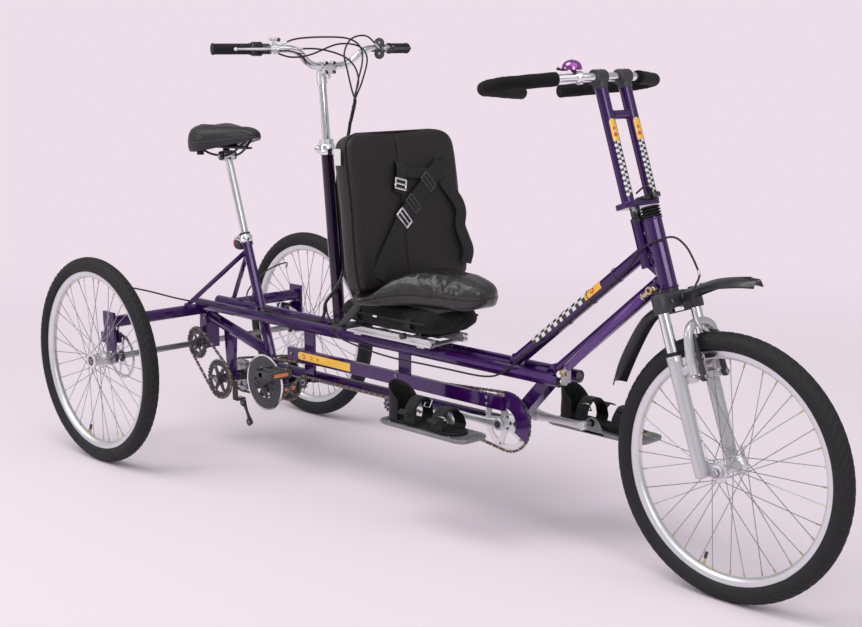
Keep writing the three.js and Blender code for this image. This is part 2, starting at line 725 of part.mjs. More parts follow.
// Lower tube between the two crank shells, with the pegs that the idler wheels turn on
const idlerRadius = pitchRadius(idlerTeeth);
const idlerAxleZ = idlerPlaces.topZ - idlerRadius;
const idlerPeg = { radius: 5, bore: 5.8 };
const lowerTubeEnds = [onSeatTube(lowerTube.rearZ), at(frontCrankAxle.x, 0, lowerTube.frontZ)];
const pegEnd = timingPlane - chain.thickness;

const idlerXs = [idlerPlaces.rearShare, idlerPlaces.frontShare].map(alongCranks);
const pegEnds = idlerXs.map((x) => [at(x, 0, idlerAxleZ), at(x, pegEnd, idlerAxleZ)]);

function lowerTubeSolid() {
  const pegs = pegEnds.map((ends) => rod(...ends, idlerPeg.radius, coarse));
  const rearShell = [
    at(rearCrankAxle.x, -shell.halfWidth, rearCrankAxle.z),
    at(rearCrankAxle.x, shell.halfWidth, rearCrankAxle.z),
  ];
  return cut(
    join(rod(...lowerTubeEnds, lowerTube.radius), shellAt(frontCrankAxle), ...pegs),
    roomFor(...rearShell, shell.radius),
    roomFor(...seatTubeEnds, seatTube.radius),
    shellBore(frontCrankAxle),
  );
}
piece(part, 'lower_tube', lowerTubeSolid(), violetPaint);

// Side beam over the timing chain, its rounded nose, and the two posts that hang it from the rails
function sideBeamSolid() {
  const outerY = -sideBeam.inner - sideBeam.thickness;
  const bar = block(
    at(rearCrankAxle.x + sideBeam.pastCrank, outerY, sideBeam.bottomZ),
    at(frontCrankAxle.x, -sideBeam.inner, sideBeam.topZ),
  );
  const outline = new THREE.Shape();
  outline.absarc(
    frontCrankAxle.x, frontCrankAxle.z, nose.outerRadius, radians(90), radians(nose.lowestAngle), true,
  );
  outline.absarc(
    frontCrankAxle.x, frontCrankAxle.z, nose.innerRadius, radians(nose.lowestAngle), radians(90), false,
  );
  const noseBand = sidePlate(outline, -sideBeam.inner - nose.thickness, -sideBeam.inner);
  const bodies = [bar, noseBand];
  for (const x of [post.rearShare, post.frontShare].map(alongCranks)) {
    const low = lowerTube.rearZ - post.thickness;
    bodies.push(block(
      at(x - post.width / 2, -post.inner - overrun, low),
      at(x + post.width / 2, 0, low + 2 * post.thickness),
    ));
    bodies.push(block(
      at(x - post.width / 2, -post.inner - post.thickness, low),
      at(x + post.width / 2, -post.inner, rail.z - rail.radius / 2),
    ));
    bodies.push(block(
      at(x - post.width / 2, -sideBeam.inner - overrun, sideBeam.topZ - post.thickness),
      at(x + post.width / 2, -post.inner, sideBeam.topZ),
    ));
  }
  const rails = roomFor(...railEnds(-1), rail.radius);
  const pegRooms = pegEnds.map((ends) => roomFor(...ends, idlerPeg.radius, coarse));
  return cut(join(...bodies), rails, roomFor(...lowerTubeEnds, lowerTube.radius), ...pegRooms);
}
piece(part, 'side_beam', sideBeamSolid(), violetPaint);

// Front frame: top tube, down tube, strut, head tube and the mast's own tube behind it
function frontFrame() {
  const rest = rail.z - rail.radius + railTie.thickness + gap;
  const head = rod(onHead(0, 0, 0), onHead(0, 0, headTube.length), headTube.radius, fine);
  const mastSleeve = rod(
    onHead(-mastTube.setback, 0, mastTube.bottom),
    onHead(-mastTube.setback, 0, mastTube.top),
    mastTube.radius,
  );
  const web = plate([
    [
      -mastTube.setback, mastTube.bottom,
    ], [0, gusset.bottom], [0, gusset.top], [-mastTube.setback, gusset.top],
  ], -gusset.thickness / 2, gusset.thickness / 2, new THREE.Matrix4()
    .makeTranslation(headFoot)
    .multiply(new THREE.Matrix4().makeRotationY(-headLean))
    .multiply(sideBasis));
  const top = rod(...topTubeEnds, topTube.radius);
  const down = rod(...downTubeEnds, downTube.radius);
  const foot = at(frontCrankAxle.x + strut.pastCrank, 0, frontCrankAxle.z + strut.rise);
  const rise = downTubeEnds[0].clone().sub(foot).normalize();
  const side = at(-rise.z, 0, rise.x).multiplyScalar(strut.height / 2);
  const headEnd = downTubeEnds[0].clone().addScaledVector(rise, downTube.radius);
  const corner = (end, sign) => [end.x + sign * side.x, end.z + sign * side.z];
  const leg = sidePlate(
    [corner(foot, -1), corner(headEnd, -1), corner(headEnd, 1), corner(foot, 1)],
    -strut.halfWidth,
    strut.halfWidth,
  );
  const frontShell = [
    at(frontCrankAxle.x, -shell.halfWidth, frontCrankAxle.z),
    at(frontCrankAxle.x, shell.halfWidth, frontCrankAxle.z),
  ];
  return cut(
    join(head, mastSleeve, web, top, down, leg),
    rod(onHead(0, 0, -overrun), onHead(0, 0, headTube.length + overrun), headTube.bore, fine),
    rod(
      onHead(-mastTube.setback, 0, mastTube.bottom + overrun),
      onHead(-mastTube.setback, 0, mastTube.top + overrun),
      mastTube.bore + gap,
    ),
    block(at(topTubeEnds[0].x - beam.z, -rail.offset, 0), at(topTubeEnds[0].x, rail.offset, rest)),
    roomFor(...frontShell, shell.radius),
    roomFor(...lowerTubeEnds, lowerTube.radius),
  );
}
piece(part, 'front_frame', frontFrame(), violetPaint);

// Chains: closed bands round their chainwheels. A wheel inside the loop has turn 1, one outside it has turn
// -1.
const arcStep = radians(20);

function bandLine(wheels, offset) {
  const runs = wheels.map((wheel, i) => {
    const next = wheels[(i + 1) % wheels.length];
    const reach = Math.hypot(next.x - wheel.x, next.z - wheel.z);
    const from = wheel.turn * wheel.radius + offset;
    const to = next.turn * next.radius + offset;
    return Math.atan2(next.z - wheel.z, next.x - wheel.x) + Math.asin((from - to) / reach);
  });
  return wheels.flatMap((wheel, i) => {
    const into = runs[(i + wheels.length - 1) % wheels.length];
    let sweep = runs[i] - into;
    while (sweep * wheel.turn < 0) sweep += wheel.turn * 2 * Math.PI;
    const plain = wheel.turn * wheel.radius + offset;
    const steps = Math.max(1, Math.ceil(Math.abs(sweep) / arcStep));
    const facesWheel = Math.abs(plain) < wheel.radius;
    const radius = facesWheel ? plain / Math.cos(sweep / steps / 2) : plain;
    return Array.from({ length: steps + 1 }, (_, k) => {
      const heading = into + (sweep * k) / steps;
      return new THREE.Vector2(wheel.x + radius * Math.sin(heading), wheel.z - radius * Math.cos(heading));
    });
  });
}

function chainBand(wheels, planeY) {
  const shape = new THREE.Shape(bandLine(wheels, chain.height / 2));
  shape.holes.push(new THREE.Path(bandLine(wheels, -chain.height / 2)));
  return sidePlate(shape, planeY - chain.thickness / 2, planeY + chain.thickness / 2);
}

const loopWheel = (axle, teeth, turn = 1) => ({ x: axle.x, z: axle.z, radius: pitchRadius(teeth), turn });
const idlerAt = (x) => loopWheel({ x, z: idlerAxleZ }, idlerTeeth, -1);
const chains = {
  timing_chain: [timingPlane, [
    loopWheel(frontCrankAxle, timingTeeth),
    loopWheel(rearCrankAxle, timingTeeth),
    idlerAt(idlerXs[0]),
    idlerAt(idlerXs[1]),
  ]],
  drive_chain: [drivePlane, [loopWheel(rearCrankAxle, driveTeeth), loopWheel(jackAxle, cassetteTeeth)]],
  final_chain: [finalPlane, [loopWheel(jackAxle, jackTeeth), loopWheel(rearAxle, axleTeeth)]],
};
for (const [name, [planeY, wheels]] of Object.entries(chains)) {
  piece(part, name, chainBand(wheels, planeY), chainSteel);
}

// Idler wheels
for (const [name, x] of [['idler_rear', idlerXs[0]], ['idler_front', idlerXs[1]]]) {
  const half = chain.thickness / 2;
  const radius = idlerRadius - chain.height / 2 - gap;
  const wheel = rod(
    at(x, timingPlane - half, idlerAxleZ), at(x, timingPlane + half, idlerAxleZ), radius, fine,
  );
  const bore = rod(
    at(x, timingPlane - chain.thickness, idlerAxleZ),
    at(x, timingPlane + chain.thickness, idlerAxleZ),
    idlerPeg.bore,
    coarse,
  );
  piece(part, name, cut(wheel, bore), steel);
}

// Jackshaft with its black sprocket, and the freewheel cassette beside it
const cassette = { cogs: 4, spacing: 8, cogThickness: 1.8, toothStep: 2, bodyRadius: 17, bore: 8.6 };
const jackGroup = new THREE.Group();
jackGroup.position.set(jackAxle.x, 0, jackAxle.z);
part.add(jackGroup);

function jackshaftSolid() {
  const outer = finalPlane - chain.thickness * 2;
  const farEnd = drivePlane + cassette.spacing * cassette.cogs;
  const shaft = rod(at(0, outer, 0), at(0, farEnd, 0), cassette.bore - runningGap);
  const boss = rod(
    at(0, finalPlane - chain.thickness, 0), at(0, -jackShell.halfWidth - gap, 0), jackShell.radius,
  );
  return join(shaft, boss, chainwheel(jackTeeth, finalPlane));
}
piece(jackGroup, 'jackshaft', jackshaftSolid(), blackPaint);

function cassetteSolid() {
  const cogs = Array.from({ length: cassette.cogs }, (_, i) => (
    chainwheel(
      cassetteTeeth - i * cassette.toothStep, drivePlane + i * cassette.spacing, cassette.cogThickness,
      medium,
    )
  ));
  const low = jackShell.halfWidth + gap;
  const high = drivePlane + (cassette.cogs - 1) * cassette.spacing + cassette.spacing / 2;
  const hub = rod(at(0, low, 0), at(0, high, 0), cassette.bodyRadius);
  return cut(join(hub, ...cogs), rod(at(0, low - overrun, 0), at(0, high + overrun, 0), cassette.bore));
}
piece(jackGroup, 'cassette', cassetteSolid(), alloy);

// Cranksets, each one piece: spindle, both arms and the chainwheels bolted to them
function crankArm(side, angle, pinLength) {
  const inner = crank.armInner;
  const outer = inner + crank.armThickness;
  const way = at(Math.cos(angle), 0, Math.sin(angle));
  const pin = way.clone().multiplyScalar(crank.length);
  const lift = at(-way.z, 0, way.x);
  const corner = (along, across) => {
    const point = way.clone().multiplyScalar(along).addScaledVector(lift, across);
    return [point.x, point.z];
  };
  const low = Math.min(side * inner, side * outer);
  const high = Math.max(side * inner, side * outer);
  const slab = sidePlate([
    corner(0, -crank.armWidth / 2), corner(crank.length, -crank.armWidth / 3),
    corner(crank.length, crank.armWidth / 3), corner(0, crank.armWidth / 2),
  ], low, high);
  const eye = (centre, radius) => rod(centre.clone().setY(low), centre.clone().setY(high), radius, coarse);
  const stub = rod(
    pin.clone().setY(side * inner), pin.clone().setY(side * (outer + pinLength)), footPin.radius,
  );
  return join(slab, eye(at(0, 0, 0), crank.eyeRadius), eye(pin, crank.armWidth / 2), stub);
}

function cranksetSolid(angle, wheels, pinLength) {
  const reach = crank.armInner + overrun;
  const spindle = rod(at(0, -reach, 0), at(0, reach, 0), crank.spindleRadius);
  const cups = [-1, 1].map((side) => rod(
    at(0, side * (shell.halfWidth - crank.armThickness), 0),
    at(0, side * (shell.halfWidth + gap), 0),
    shell.bore - runningGap,
  ));
  const near = crankArm(-1, angle, pinLength);
  const far = crankArm(1, angle + Math.PI, pinLength);
  return join(spindle, ...cups, near, far, ...wheels);
}

const cranksetAt = (axle) => {
  const group = new THREE.Group();
  group.position.set(axle.x, 0, axle.z);
  part.add(group);
  return group;
};
const rearCrank = cranksetAt(rearCrankAxle);
const frontCrank = cranksetAt(frontCrankAxle);
const guardY = timingPlane - chain.thickness / 2 - guardDisc.thickness;
const chainGuard = rod(at(0, guardY - guardDisc.thickness, 0), at(0, guardY, 0), guardDisc.radius, fine);
const rearWheels = [chainwheel(timingTeeth, timingPlane), chainGuard, chainwheel(driveTeeth, drivePlane)];
piece(rearCrank, 'captain_crankset', cranksetSolid(radians(rearCrankAngle), rearWheels, 0), blackPaint);
const frontPin = footPlate.inner + footPlate.thickness - crank.armInner - crank.armThickness;
const frontWheels = [chainwheel(timingTeeth, timingPlane)];
piece(frontCrank, 'front_crankset', cranksetSolid(radians(frontCrankAngle), frontWheels, frontPin), alloy);

// Captain's pedals
const onCrank = (axle, angle) => at(
  axle.x + crank.length * Math.cos(angle), 0, axle.z + crank.length * Math.sin(angle),
);

function pedalSolid() {
  const start = crank.armInner + crank.armThickness + gap;
  const bodyStart = start + pedal.inset;
  const end = bodyStart + pedal.width;
  const axle = rod(at(0, start, 0), at(0, end - pedal.inset, 0), pedal.axleRadius, coarse);
  const halfLength = pedal.length / 2;
  const half = pedal.thickness / 2;
  const outline = [[-halfLength, -half / 2], [-halfLength, half / 2], [
    -halfLength + half, half,
  ], [halfLength - half, half],
    [halfLength, half / 2], [halfLength, -half / 2], [halfLength - half, -half], [-halfLength + half, -half]];
  const body = sidePlate(outline, bodyStart, end);
  const rimWidth = pedal.inset;
  const windows = [-1, 1].map((side) => {
    const near = side * (pedal.axleRadius + rimWidth / 2);
    const far = side * (halfLength - rimWidth);
    return block(
      at(Math.min(near, far), bodyStart + rimWidth, -half - overrun),
      at(Math.max(near, far), end - rimWidth, half + overrun),
    );
  });
  return join(axle, cut(body, ...windows));
}

function addPedal(name, side, angle) {
  const group = new THREE.Group();
  group.position.copy(onCrank(rearCrankAxle, angle));
  part.add(group);
  piece(group, name, side > 0 ? pedalSolid() : mirrored(pedalSolid()), blackPlastic);
}
addPedal('captain_pedal_right', -1, radians(rearCrankAngle));
addPedal('captain_pedal_left', 1, radians(rearCrankAngle) + Math.PI);

// Foot supports: a plate that hangs under the crank pin by a cheek, and a cradle for the heel and toes
function footPlateSolid() {
  const low = footPlate.inner;
  const high = low + footPlate.width;
  const half = footPlate.length / 2;
  const round = footPlate.width / 4;
  const outline = [[-half, low + round], [-half + round, low], [half - round, low], [half, low + round],
    [half, high - round], [half - round, high], [-half + round, high], [-half, high - round]];
  const sole = planPlate(outline, -footPlate.drop, -footPlate.drop + footPlate.thickness);
  const cheek = sidePlate([
    [-footPlate.cheekHeight, -footPlate.drop], [footPlate.cheekHeight, -footPlate.drop],
    [footPin.radius * 2, footPin.radius * 2], [-footPin.radius * 2, footPin.radius * 2],
  ], low, low + footPlate.thickness / 2);
  const bore = rod(at(0, low - overrun, 0), at(0, low + footPlate.thickness, 0), footPin.radius + runningGap);
  return cut(join(sole, cheek), bore);
}

function footCradleSolid() {
  const middle = footPlate.inner + footPlate.thickness + (footPlate.width - footPlate.thickness) / 2;
  const base = -footPlate.drop + footPlate.thickness + gap;
  const outer = footCradle.heelRadius;
  const inner = outer - footCradle.wall;
  const heelX = -footPlate.length / 2 + outer * footCradle.heelShare;
  const toeX = footPlate.length / 2 - outer;
  const sole = planPlate([
    [heelX, middle - outer], [
      toeX, middle - outer * footCradle.toeShare,
    ], [toeX, middle + outer * footCradle.toeShare], [heelX, middle + outer],
  ], base, base + footCradle.sole);
  const cup = (radius, low, high) => rod(at(heelX, middle, low), at(heelX, middle, high), radius);
  const frontHalf = block(
    at(heelX, middle - outer - overrun, base + footCradle.sole),
    at(heelX + outer * 2, middle + outer + overrun, base + footCradle.heelHeight + overrun),
  );
  const heel = cut(
    cup(outer, base, base + footCradle.heelHeight),
    cup(inner, base + footCradle.sole, base + footCradle.heelHeight + overrun),
    frontHalf,
  );
  const arc = (radius) => Array.from({ length: coarse + 1 }, (_, i) => {
    const angle = Math.PI * (i / coarse);
    return [
      middle + radius * Math.cos(angle), base + footCradle.strapHeight * (radius / outer) * Math.sin(angle),
    ];
  });
  const strapAt = (x) => frontPlate([...arc(outer), ...arc(inner).reverse()], x, x + footCradle.strapWidth);
  return join(
    sole, heel, strapAt(heelX + outer), strapAt(toeX - footCradle.strapWidth * footCradle.toeStrapShare),
  );
}

function addFootSupport(side, angle) {
  const name = side > 0 ? 'left' : 'right';
  const group = new THREE.Group();
  group.position.copy(onCrank(frontCrankAxle, angle));
  part.add(group);
  const turnedTo = (body) => (side > 0 ? body : mirrored(body));
  piece(group, `foot_plate_${name}`, turnedTo(footPlateSolid()), greyPlate);
  piece(group, `foot_cradle_${name}`, turnedTo(footCradleSolid()), rubber);
}
addFootSupport(-1, radians(frontCrankAngle));
addFootSupport(1, radians(frontCrankAngle) + Math.PI);

// Saddle pillar and saddle
function pillarSolid() {
  const head = onSeatTube(pillar.topZ);
  const clamp = rod(
    at(head.x, -pillar.headLength / 2, head.z),
    at(head.x, pillar.headLength / 2, head.z),
    pillar.headRadius,
  );
  return join(rod(...pillarEnds, pillar.radius), clamp);
}
piece(part, 'saddle_pillar', pillarSolid(), chrome);

const pillarHead = onSeatTube(pillar.topZ);
const saddleBack = pillarHead.x - saddle.behindHead;
const saddleBase = pillarHead.z + saddle.aboveHead;

// The saddle is a row of cross sections from the wide back to the narrow nose
const saddleShares = [
  [0, 0.34, 0.62, 1], [0.08, 0.48, 0.9, 1.1], [0.26, 0.5, 1, 1], [0.42, 0.38, 0.92, 0.84],
  [0.6, 0.22, 0.84, 0.66], [0.85, 0.14, 0.78, 0.62], [1, 0.06, 0.5, 0.5],
];

// Joins rings of equal count into one closed skin
function skin(rings) {
  const count = rings[0].length;
  const places = rings.flat().flatMap((p) => p.toArray());
  const faces = [];
  for (let r = 0; r < rings.length - 1; r += 1) {
    for (let i = 0; i < count; i += 1) {
      const a = r * count + i;
      const b = r * count + ((i + 1) % count);
      faces.push(a, b, b + count, a, b + count, a + count);
    }
  }
  const last = (rings.length - 1) * count;
  for (let i = 1; i < count - 1; i += 1) {
    faces.push(0, i + 1, i, last, last + i, last + i + 1);
  }
  const geometry = new THREE.BufferGeometry();
  geometry.setAttribute('position', new THREE.Float32BufferAttribute(places, 3));
  geometry.setIndex(faces);
  return solidOf(geometry);
}

function saddleSolid() {
  const rings = saddleShares.map(([along, wide, high, deep]) => {
    const x = saddleBack + along * saddle.length;
    const half = wide * saddle.rearWidth;
    const top = saddleBase + saddle.thickness * high;
    const low = top - saddle.thickness * deep;
    return Array.from({ length: coarse }, (_, i) => {
      const angle = (2 * Math.PI * i) / coarse;
      const z = (top + low) / 2 + ((top - low) / 2) * Math.sin(angle);
      return at(x, half * Math.cos(angle), z);
    });
  });
  const head = onSeatTube(pillar.topZ);
  const railLow = head.z + pillar.headRadius + gap;
  const rails = [-1, 1].map((side) => rod(
    ...saddle.railShares.map((share) => (
      at(saddleBack + saddle.length * share, side * pillar.headRadius, railLow + cable.loomRadius)
    )),
    cable.loomRadius,
    coarse,
  ));
  const legs = saddle.legShares.map((share) => {
    const x = saddleBack + saddle.length * share;
    return block(
      at(x - cable.loomRadius, -pillar.headRadius - cable.loomRadius, railLow + cable.loomRadius),
      at(x + cable.loomRadius, pillar.headRadius + cable.loomRadius, saddleBase + saddle.thickness / 2),
    );
  });
  return join(skin(rings), ...rails, ...legs);
}
piece(part, 'saddle', saddleSolid(), blackPlastic);

// Changer: its bracket passes below the drive chain to a caged pair of pulleys
function changerSolid() {
  const { x } = jackAxle;
  const arm = block(
    at(x - changer.width / 2, changer.inner, changer.elbowZ),
    at(x + changer.width / 2, changer.inner + changer.plate, changer.topZ),
  );
  const foot = block(
    at(x - changer.width / 2, changer.inner, changer.elbowZ - changer.plate),
    at(x + changer.width / 2, changer.reach + changer.plate, changer.elbowZ),
  );
  const pulleyTop = changer.elbowZ - changer.plate - changer.pulleyRadius * changer.dropShare;
  const pulleyAt = (share) => (
    at(x + changer.lean * share, 0, pulleyTop + (changer.lowZ - changer.elbowZ) * share)
  );
  const disc = (share, radius, low, high) => {
    const centre = pulleyAt(share);
    return rod(centre.clone().setY(low), centre.clone().setY(high), radius);
  };
  const cage = [0, 1].map((share) => disc(
    share, changer.pulleyRadius * changer.cageShare, changer.reach - changer.plate,
    changer.reach + changer.plate,
  ));
  const [top, bottom] = [pulleyAt(0), pulleyAt(1)];
  const half = changer.width / 4;
  const sheet = sidePlate([
    [
      top.x - half, top.z + half,
    ], [bottom.x - half, bottom.z], [bottom.x + half, bottom.z], [top.x + half, top.z + half],
  ], changer.reach, changer.reach + changer.plate);
  const shellRoom = roomFor(at(x, 0, jackAxle.z), at(x, jackShell.halfWidth, jackAxle.z), jackShell.radius);
  return cut(join(arm, foot, sheet, ...cage), shellRoom);
}
piece(part, 'changer', changerSolid(), blackPaint);

// Everything that turns with the fork stands in the steering frame
const steering = new THREE.Group();
steering.position.copy(headFoot);
steering.rotation.y = -headLean;
part.add(steering);
const legX = fork.rake - fork.legSetback;
const crownLow = fork.crownTop - fork.crownHeight;
const intoSteering = new THREE.Matrix4().makeRotationY(headLean).multiply(
  new THREE.Matrix4().makeTranslation(headFoot.clone().negate()),
);
const axleLocal = at(frontAxle.x, 0, frontAxle.z).applyMatrix4(intoSteering);

function bootSolid() {
  const low = headTube.length + gap;
  const step = boot.height / boot.ribs / 2;
  const profile = [[0, low]];
  for (let i = 0; i < boot.ribs; i += 1) {
    profile.push([boot.radius, low + step * 2 * i], [boot.radius + boot.ribRise, low + step * (2 * i + 1)]);
  }
  profile.push([boot.radius * boot.topShare, low + boot.height], [0, low + boot.height]);
  return turnedUp(profile, coarse);
}

function forkCrownSolid() {
  const half = fork.crownHalfWidth;
  const shoulder = fork.crownHeight / 3;
  const body = frontPlate([
    [-half, crownLow], [half, crownLow], [half, fork.crownTop - shoulder], [
      half - 2 * shoulder, fork.crownTop,
    ],
    [-half + 2 * shoulder, fork.crownTop], [-half, fork.crownTop - shoulder],
  ], legX - fork.crownHalfDepth, legX + fork.crownHalfDepth);
  const race = rod(at(0, 0, fork.crownTop - shoulder), at(0, 0, -gap), boot.radius);
  const steerer = rod(
    at(0, 0, fork.crownTop - overrun), at(0, 0, headTube.length + boot.height / 2), fork.steererRadius,
  );
  const legs = [-1, 1].map((side) => rod(
    at(legX, side * fork.legSpread, crownLow + overrun),
    at(legX, side * fork.legSpread, crownLow - fork.stanchionLength),
    fork.stanchionRadius,
  ));
  const armEnd = at(steerRod.topX, 0, steerRod.topZ);
  const ballRadius = steerRod.ballRadius * fork.ballShare;
  const eyeFace = Math.abs(steerRod.planeY) - steerRod.eyeWidth / 2 - runningGap;
  const ballFace = -Math.sqrt(eyeFace ** 2 - (Math.abs(steerRod.topX) + ballRadius) ** 2);
  const armRoot = at(legX - fork.crownHalfDepth / 2, 0, fork.crownTop - shoulder);
  const arm = rod(
    armRoot.clone().setY(-fork.armLength), armEnd.clone().setY(-fork.armLength), steerRod.neckRadius,
    coarse,
  );
  const ball = rod(
    armEnd.clone().setY(ballFace + steerRod.eyeWidth), armEnd.clone().setY(ballFace), ballRadius, coarse,
  );
  return join(body, race, steerer, bootSolid(), ...legs, arm, ball);
}
piece(steering, 'fork_crown', forkCrownSolid(), blackPaint);

// Lower legs with their arch, axle tabs, axle skewer and brake posts
function forkLowersSolid() {
  const bottom = axleLocal.z - fork.lowerBelowAxle;
  const boreEnd = crownLow - fork.stanchionLength - fork.travel;
  const archX = legX + arch.forward - arch.depth / 2;
  const archFront = archX + arch.depth;
  const tabLow = frontHub.halfWidth + runningGap;
  const oneSide = [
    rod(at(legX, fork.legSpread, bottom), at(legX, fork.legSpread, fork.lowerTop), fork.lowerRadius),
    block(
      at(legX, tabLow, bottom),
      at(axleLocal.x + dropout.width / 2, tabLow + dropout.thickness, axleLocal.z + dropout.width / 2),
    ),
    block(
      at(legX, arch.innerHalf + gap, arch.rootZ - arch.thickness),
      at(archFront, arch.outerHalf, arch.rootZ + arch.thickness),
    ),
    rod(
      at(archFront - overrun, brakePost.spread, brakePost.z),
      at(archFront + brakePost.length, brakePost.spread, brakePost.z),
      brakePost.radius,
      coarse,
    ),
  ];
  const side = cut(
    join(...oneSide),
    rod(at(legX, fork.legSpread, boreEnd), at(legX, fork.legSpread, fork.lowerTop + overrun), fork.lowerBore),
  );
  const corner = arch.thickness;
  const bow = frontPlate([
    [-arch.outerHalf, arch.rootZ], [-arch.innerHalf, arch.rootZ], [-arch.innerHalf, arch.top - 2 * corner],
    [-arch.innerHalf + corner, arch.top - corner], [arch.innerHalf - corner, arch.top - corner],
    [arch.innerHalf, arch.top - 2 * corner], [arch.innerHalf, arch.rootZ], [arch.outerHalf, arch.rootZ],
    [arch.outerHalf, arch.top - corner], [arch.outerHalf - corner, arch.top], [
      -arch.outerHalf + corner, arch.top,
    ],
    [-arch.outerHalf, arch.top - corner],
  ], archX, archFront);
  const nutY = tabLow + dropout.thickness + skewer.nutWidth;
  const onAxle = (y) => at(axleLocal.x, y, axleLocal.z);
  const pin = rod(onAxle(-nutY), onAxle(nutY), skewer.radius, coarse);
  const nuts = [-1, 1].map((sign) => rod(
    onAxle(sign * tabLow), onAxle(sign * nutY), skewer.nutRadius, coarse,
  ));
  const handle = block(
    at(axleLocal.x - skewer.leverWidth / 2, nutY - skewer.nutWidth / 2, axleLocal.z),
    at(axleLocal.x + skewer.leverWidth / 2, nutY + skewer.leverWidth / 2, axleLocal.z + skewer.leverLength),
  );
  return join(side, mirrored(side), bow, pin, ...nuts, handle);
}
piece(steering, 'fork_lowers', forkLowersSolid(), alloy);

// Rim brake arms, each on its own post
function brakeArmSolid() {
  const front = legX + arch.forward + arch.depth / 2 + gap;
  const rimTrack = beadRadius - gap - rim.depth / 2;
  const middleX = front + brakeArm.thickness / 2;
  const padZ = axleLocal.z + Math.sqrt(rimTrack ** 2 - (middleX - axleLocal.x) ** 2);
  const low = brakePost.spread - brakeArm.width / 2;
  const armBody = block(
    at(front, low, brakePost.z),
    at(front + brakeArm.thickness, low + brakeArm.width, brakePost.z + brakeArm.length),
  );
  const eye = rod(
    at(front, brakePost.spread, brakePost.z),
    at(front + brakeArm.thickness, brakePost.spread, brakePost.z),
    brakePost.radius * 2,
    coarse,
  );
  const pad = block(
    at(
      middleX - brakeArm.padLength / 2, rim.width / 2 + brakeArm.padClearance,
      padZ - brakeArm.padHeight / 2,
    ),
    at(middleX + brakeArm.padLength / 2, tyre.width / 2 + overrun, padZ + brakeArm.padHeight / 2),
  );
  const stem = block(
    at(front, tyre.width / 2, padZ - brakeArm.padHeight / 3),
    at(front + brakeArm.thickness, low + overrun, padZ + brakeArm.padHeight / 3),
  );
  const bore = rod(
    at(front - overrun, brakePost.spread, brakePost.z),
    at(front + brakeArm.thickness + overrun, brakePost.spread, brakePost.z),
    brakeArm.bore,
    coarse,
  );
  return cut(join(armBody, eye, pad, stem), bore);
}
piece(steering, 'brake_arm_left', brakeArmSolid(), blackPlastic);
piece(steering, 'brake_arm_right', mirrored(brakeArmSolid()), blackPlastic);

// Mudguard: an arched blade ahead of the crown and a longer one behind it, on one bridge below the crown
const guardLine = (
  { reach, drop }, shares,
) => shares.map(([along, down, wide]) => [reach * along, -drop * down, wide]);
const frontGuardLine = guardLine(frontGuard, frontGuardShares);
const rearGuardLine = guardLine(rearGuard, rearGuardShares);

function guardBlade(line) {
  const rings = line.map(([x, z, wide], i) => {
    const before = line[Math.max(i - 1, 0)];
    const after = line[Math.min(i + 1, line.length - 1)];
    const run = new THREE.Vector2(after[0] - before[0], after[1] - before[1]).normalize();
    const up = run.x < 0 ? new THREE.Vector2(run.y, -run.x) : new THREE.Vector2(-run.y, run.x);
    const pointAt = (share, lift) => {
      const drop = guard.crown * share ** 2 - lift;
      return at(x - up.x * drop, share * wide * guard.halfWidth, z - up.y * drop);
    };
    return [
      ...guard.arcShares.map((share) => pointAt(share, guard.thickness)),
      ...guard.arcShares.toReversed().map((share) => pointAt(share, 0)),
    ];
  });
  return skin(rings);
}

function mudguardSolid() {
  const { halfWidth, thickness, frontX, rearX } = guardBridge;
  const base = crownLow - gap - thickness;
  const crownFront = legX + fork.crownHalfDepth + gap;
  const crownRear = legX - fork.crownHalfDepth - gap;
  const bridge = block(at(rearX, -halfWidth, base), at(frontX, halfWidth, base + thickness));
  const frontRiser = block(at(crownFront, -halfWidth, base), at(frontX, halfWidth, frontGuardLine[0][1]));
  const rearRiser = block(at(rearX, -halfWidth, base), at(crownRear, halfWidth, rearGuardLine[0][1]));
  const slot = block(
    at(guard.slotStart, -guard.slotHalf, frontGuardLine[4][1] - guard.crown),
    at(guard.slotEnd, guard.slotHalf, guard.crown),
  );
  return join(
    bridge, frontRiser, rearRiser, cut(guardBlade(frontGuardLine), slot), guardBlade(rearGuardLine),
  );
}
piece(steering, 'mudguard', mudguardSolid(), blackPlastic);

// Captain's column and the steering shaft inside it
function columnSolid() {
  const below = column.foot - steerShaft.armThickness;
  const tube = rod(onColumn(below), onColumn(column.topZ), column.radius, fine);
  const flange = block(
    at(column.footX - railTie.length / 2, -railTie.length / 2, column.foot),
    at(column.footX + railTie.length / 2, railTie.length / 2, column.foot + railTie.thickness),
  );
  return cut(
    join(tube, flange),
    rod(onColumn(below - overrun), onColumn(column.topZ + overrun), column.bore, fine),
    block(
      at(column.footX - rail.offset, -rail.offset, rail.z),
      at(column.footX + rail.offset, rail.offset, column.foot),
    ),
  );
}
piece(part, 'captain_column', columnSolid(), violetPaint);

function steeringShaftSolid() {
  const collarLow = column.topZ + gap / columnLean.z + runningGap;
  const collarHigh = collarLow + shaftCollar.height;
  const shaft = rod(onColumn(steerShaft.armZ), onColumn(collarHigh), steerShaft.radius, fine);
  const collar = rod(onColumn(collarLow), onColumn(collarHigh), shaftCollar.radius, fine);
  const armMiddle = onColumn(steerShaft.armZ + steerShaft.armThickness / 2).x;
  const arm = block(
    at(armMiddle - steerShaft.armWidth / 2, -steerShaft.armLength, steerShaft.armZ),
    at(armMiddle + steerShaft.armWidth / 2, 0, steerShaft.armZ + steerShaft.armThickness),
  );
  return cut(
    join(shaft, collar, arm),
    rod(onColumn(steerShaft.boreZ), onColumn(collarHigh + overrun), steerShaft.bore),
  );
}
piece(part, 'captain_shaft', steeringShaftSolid(), alloy);

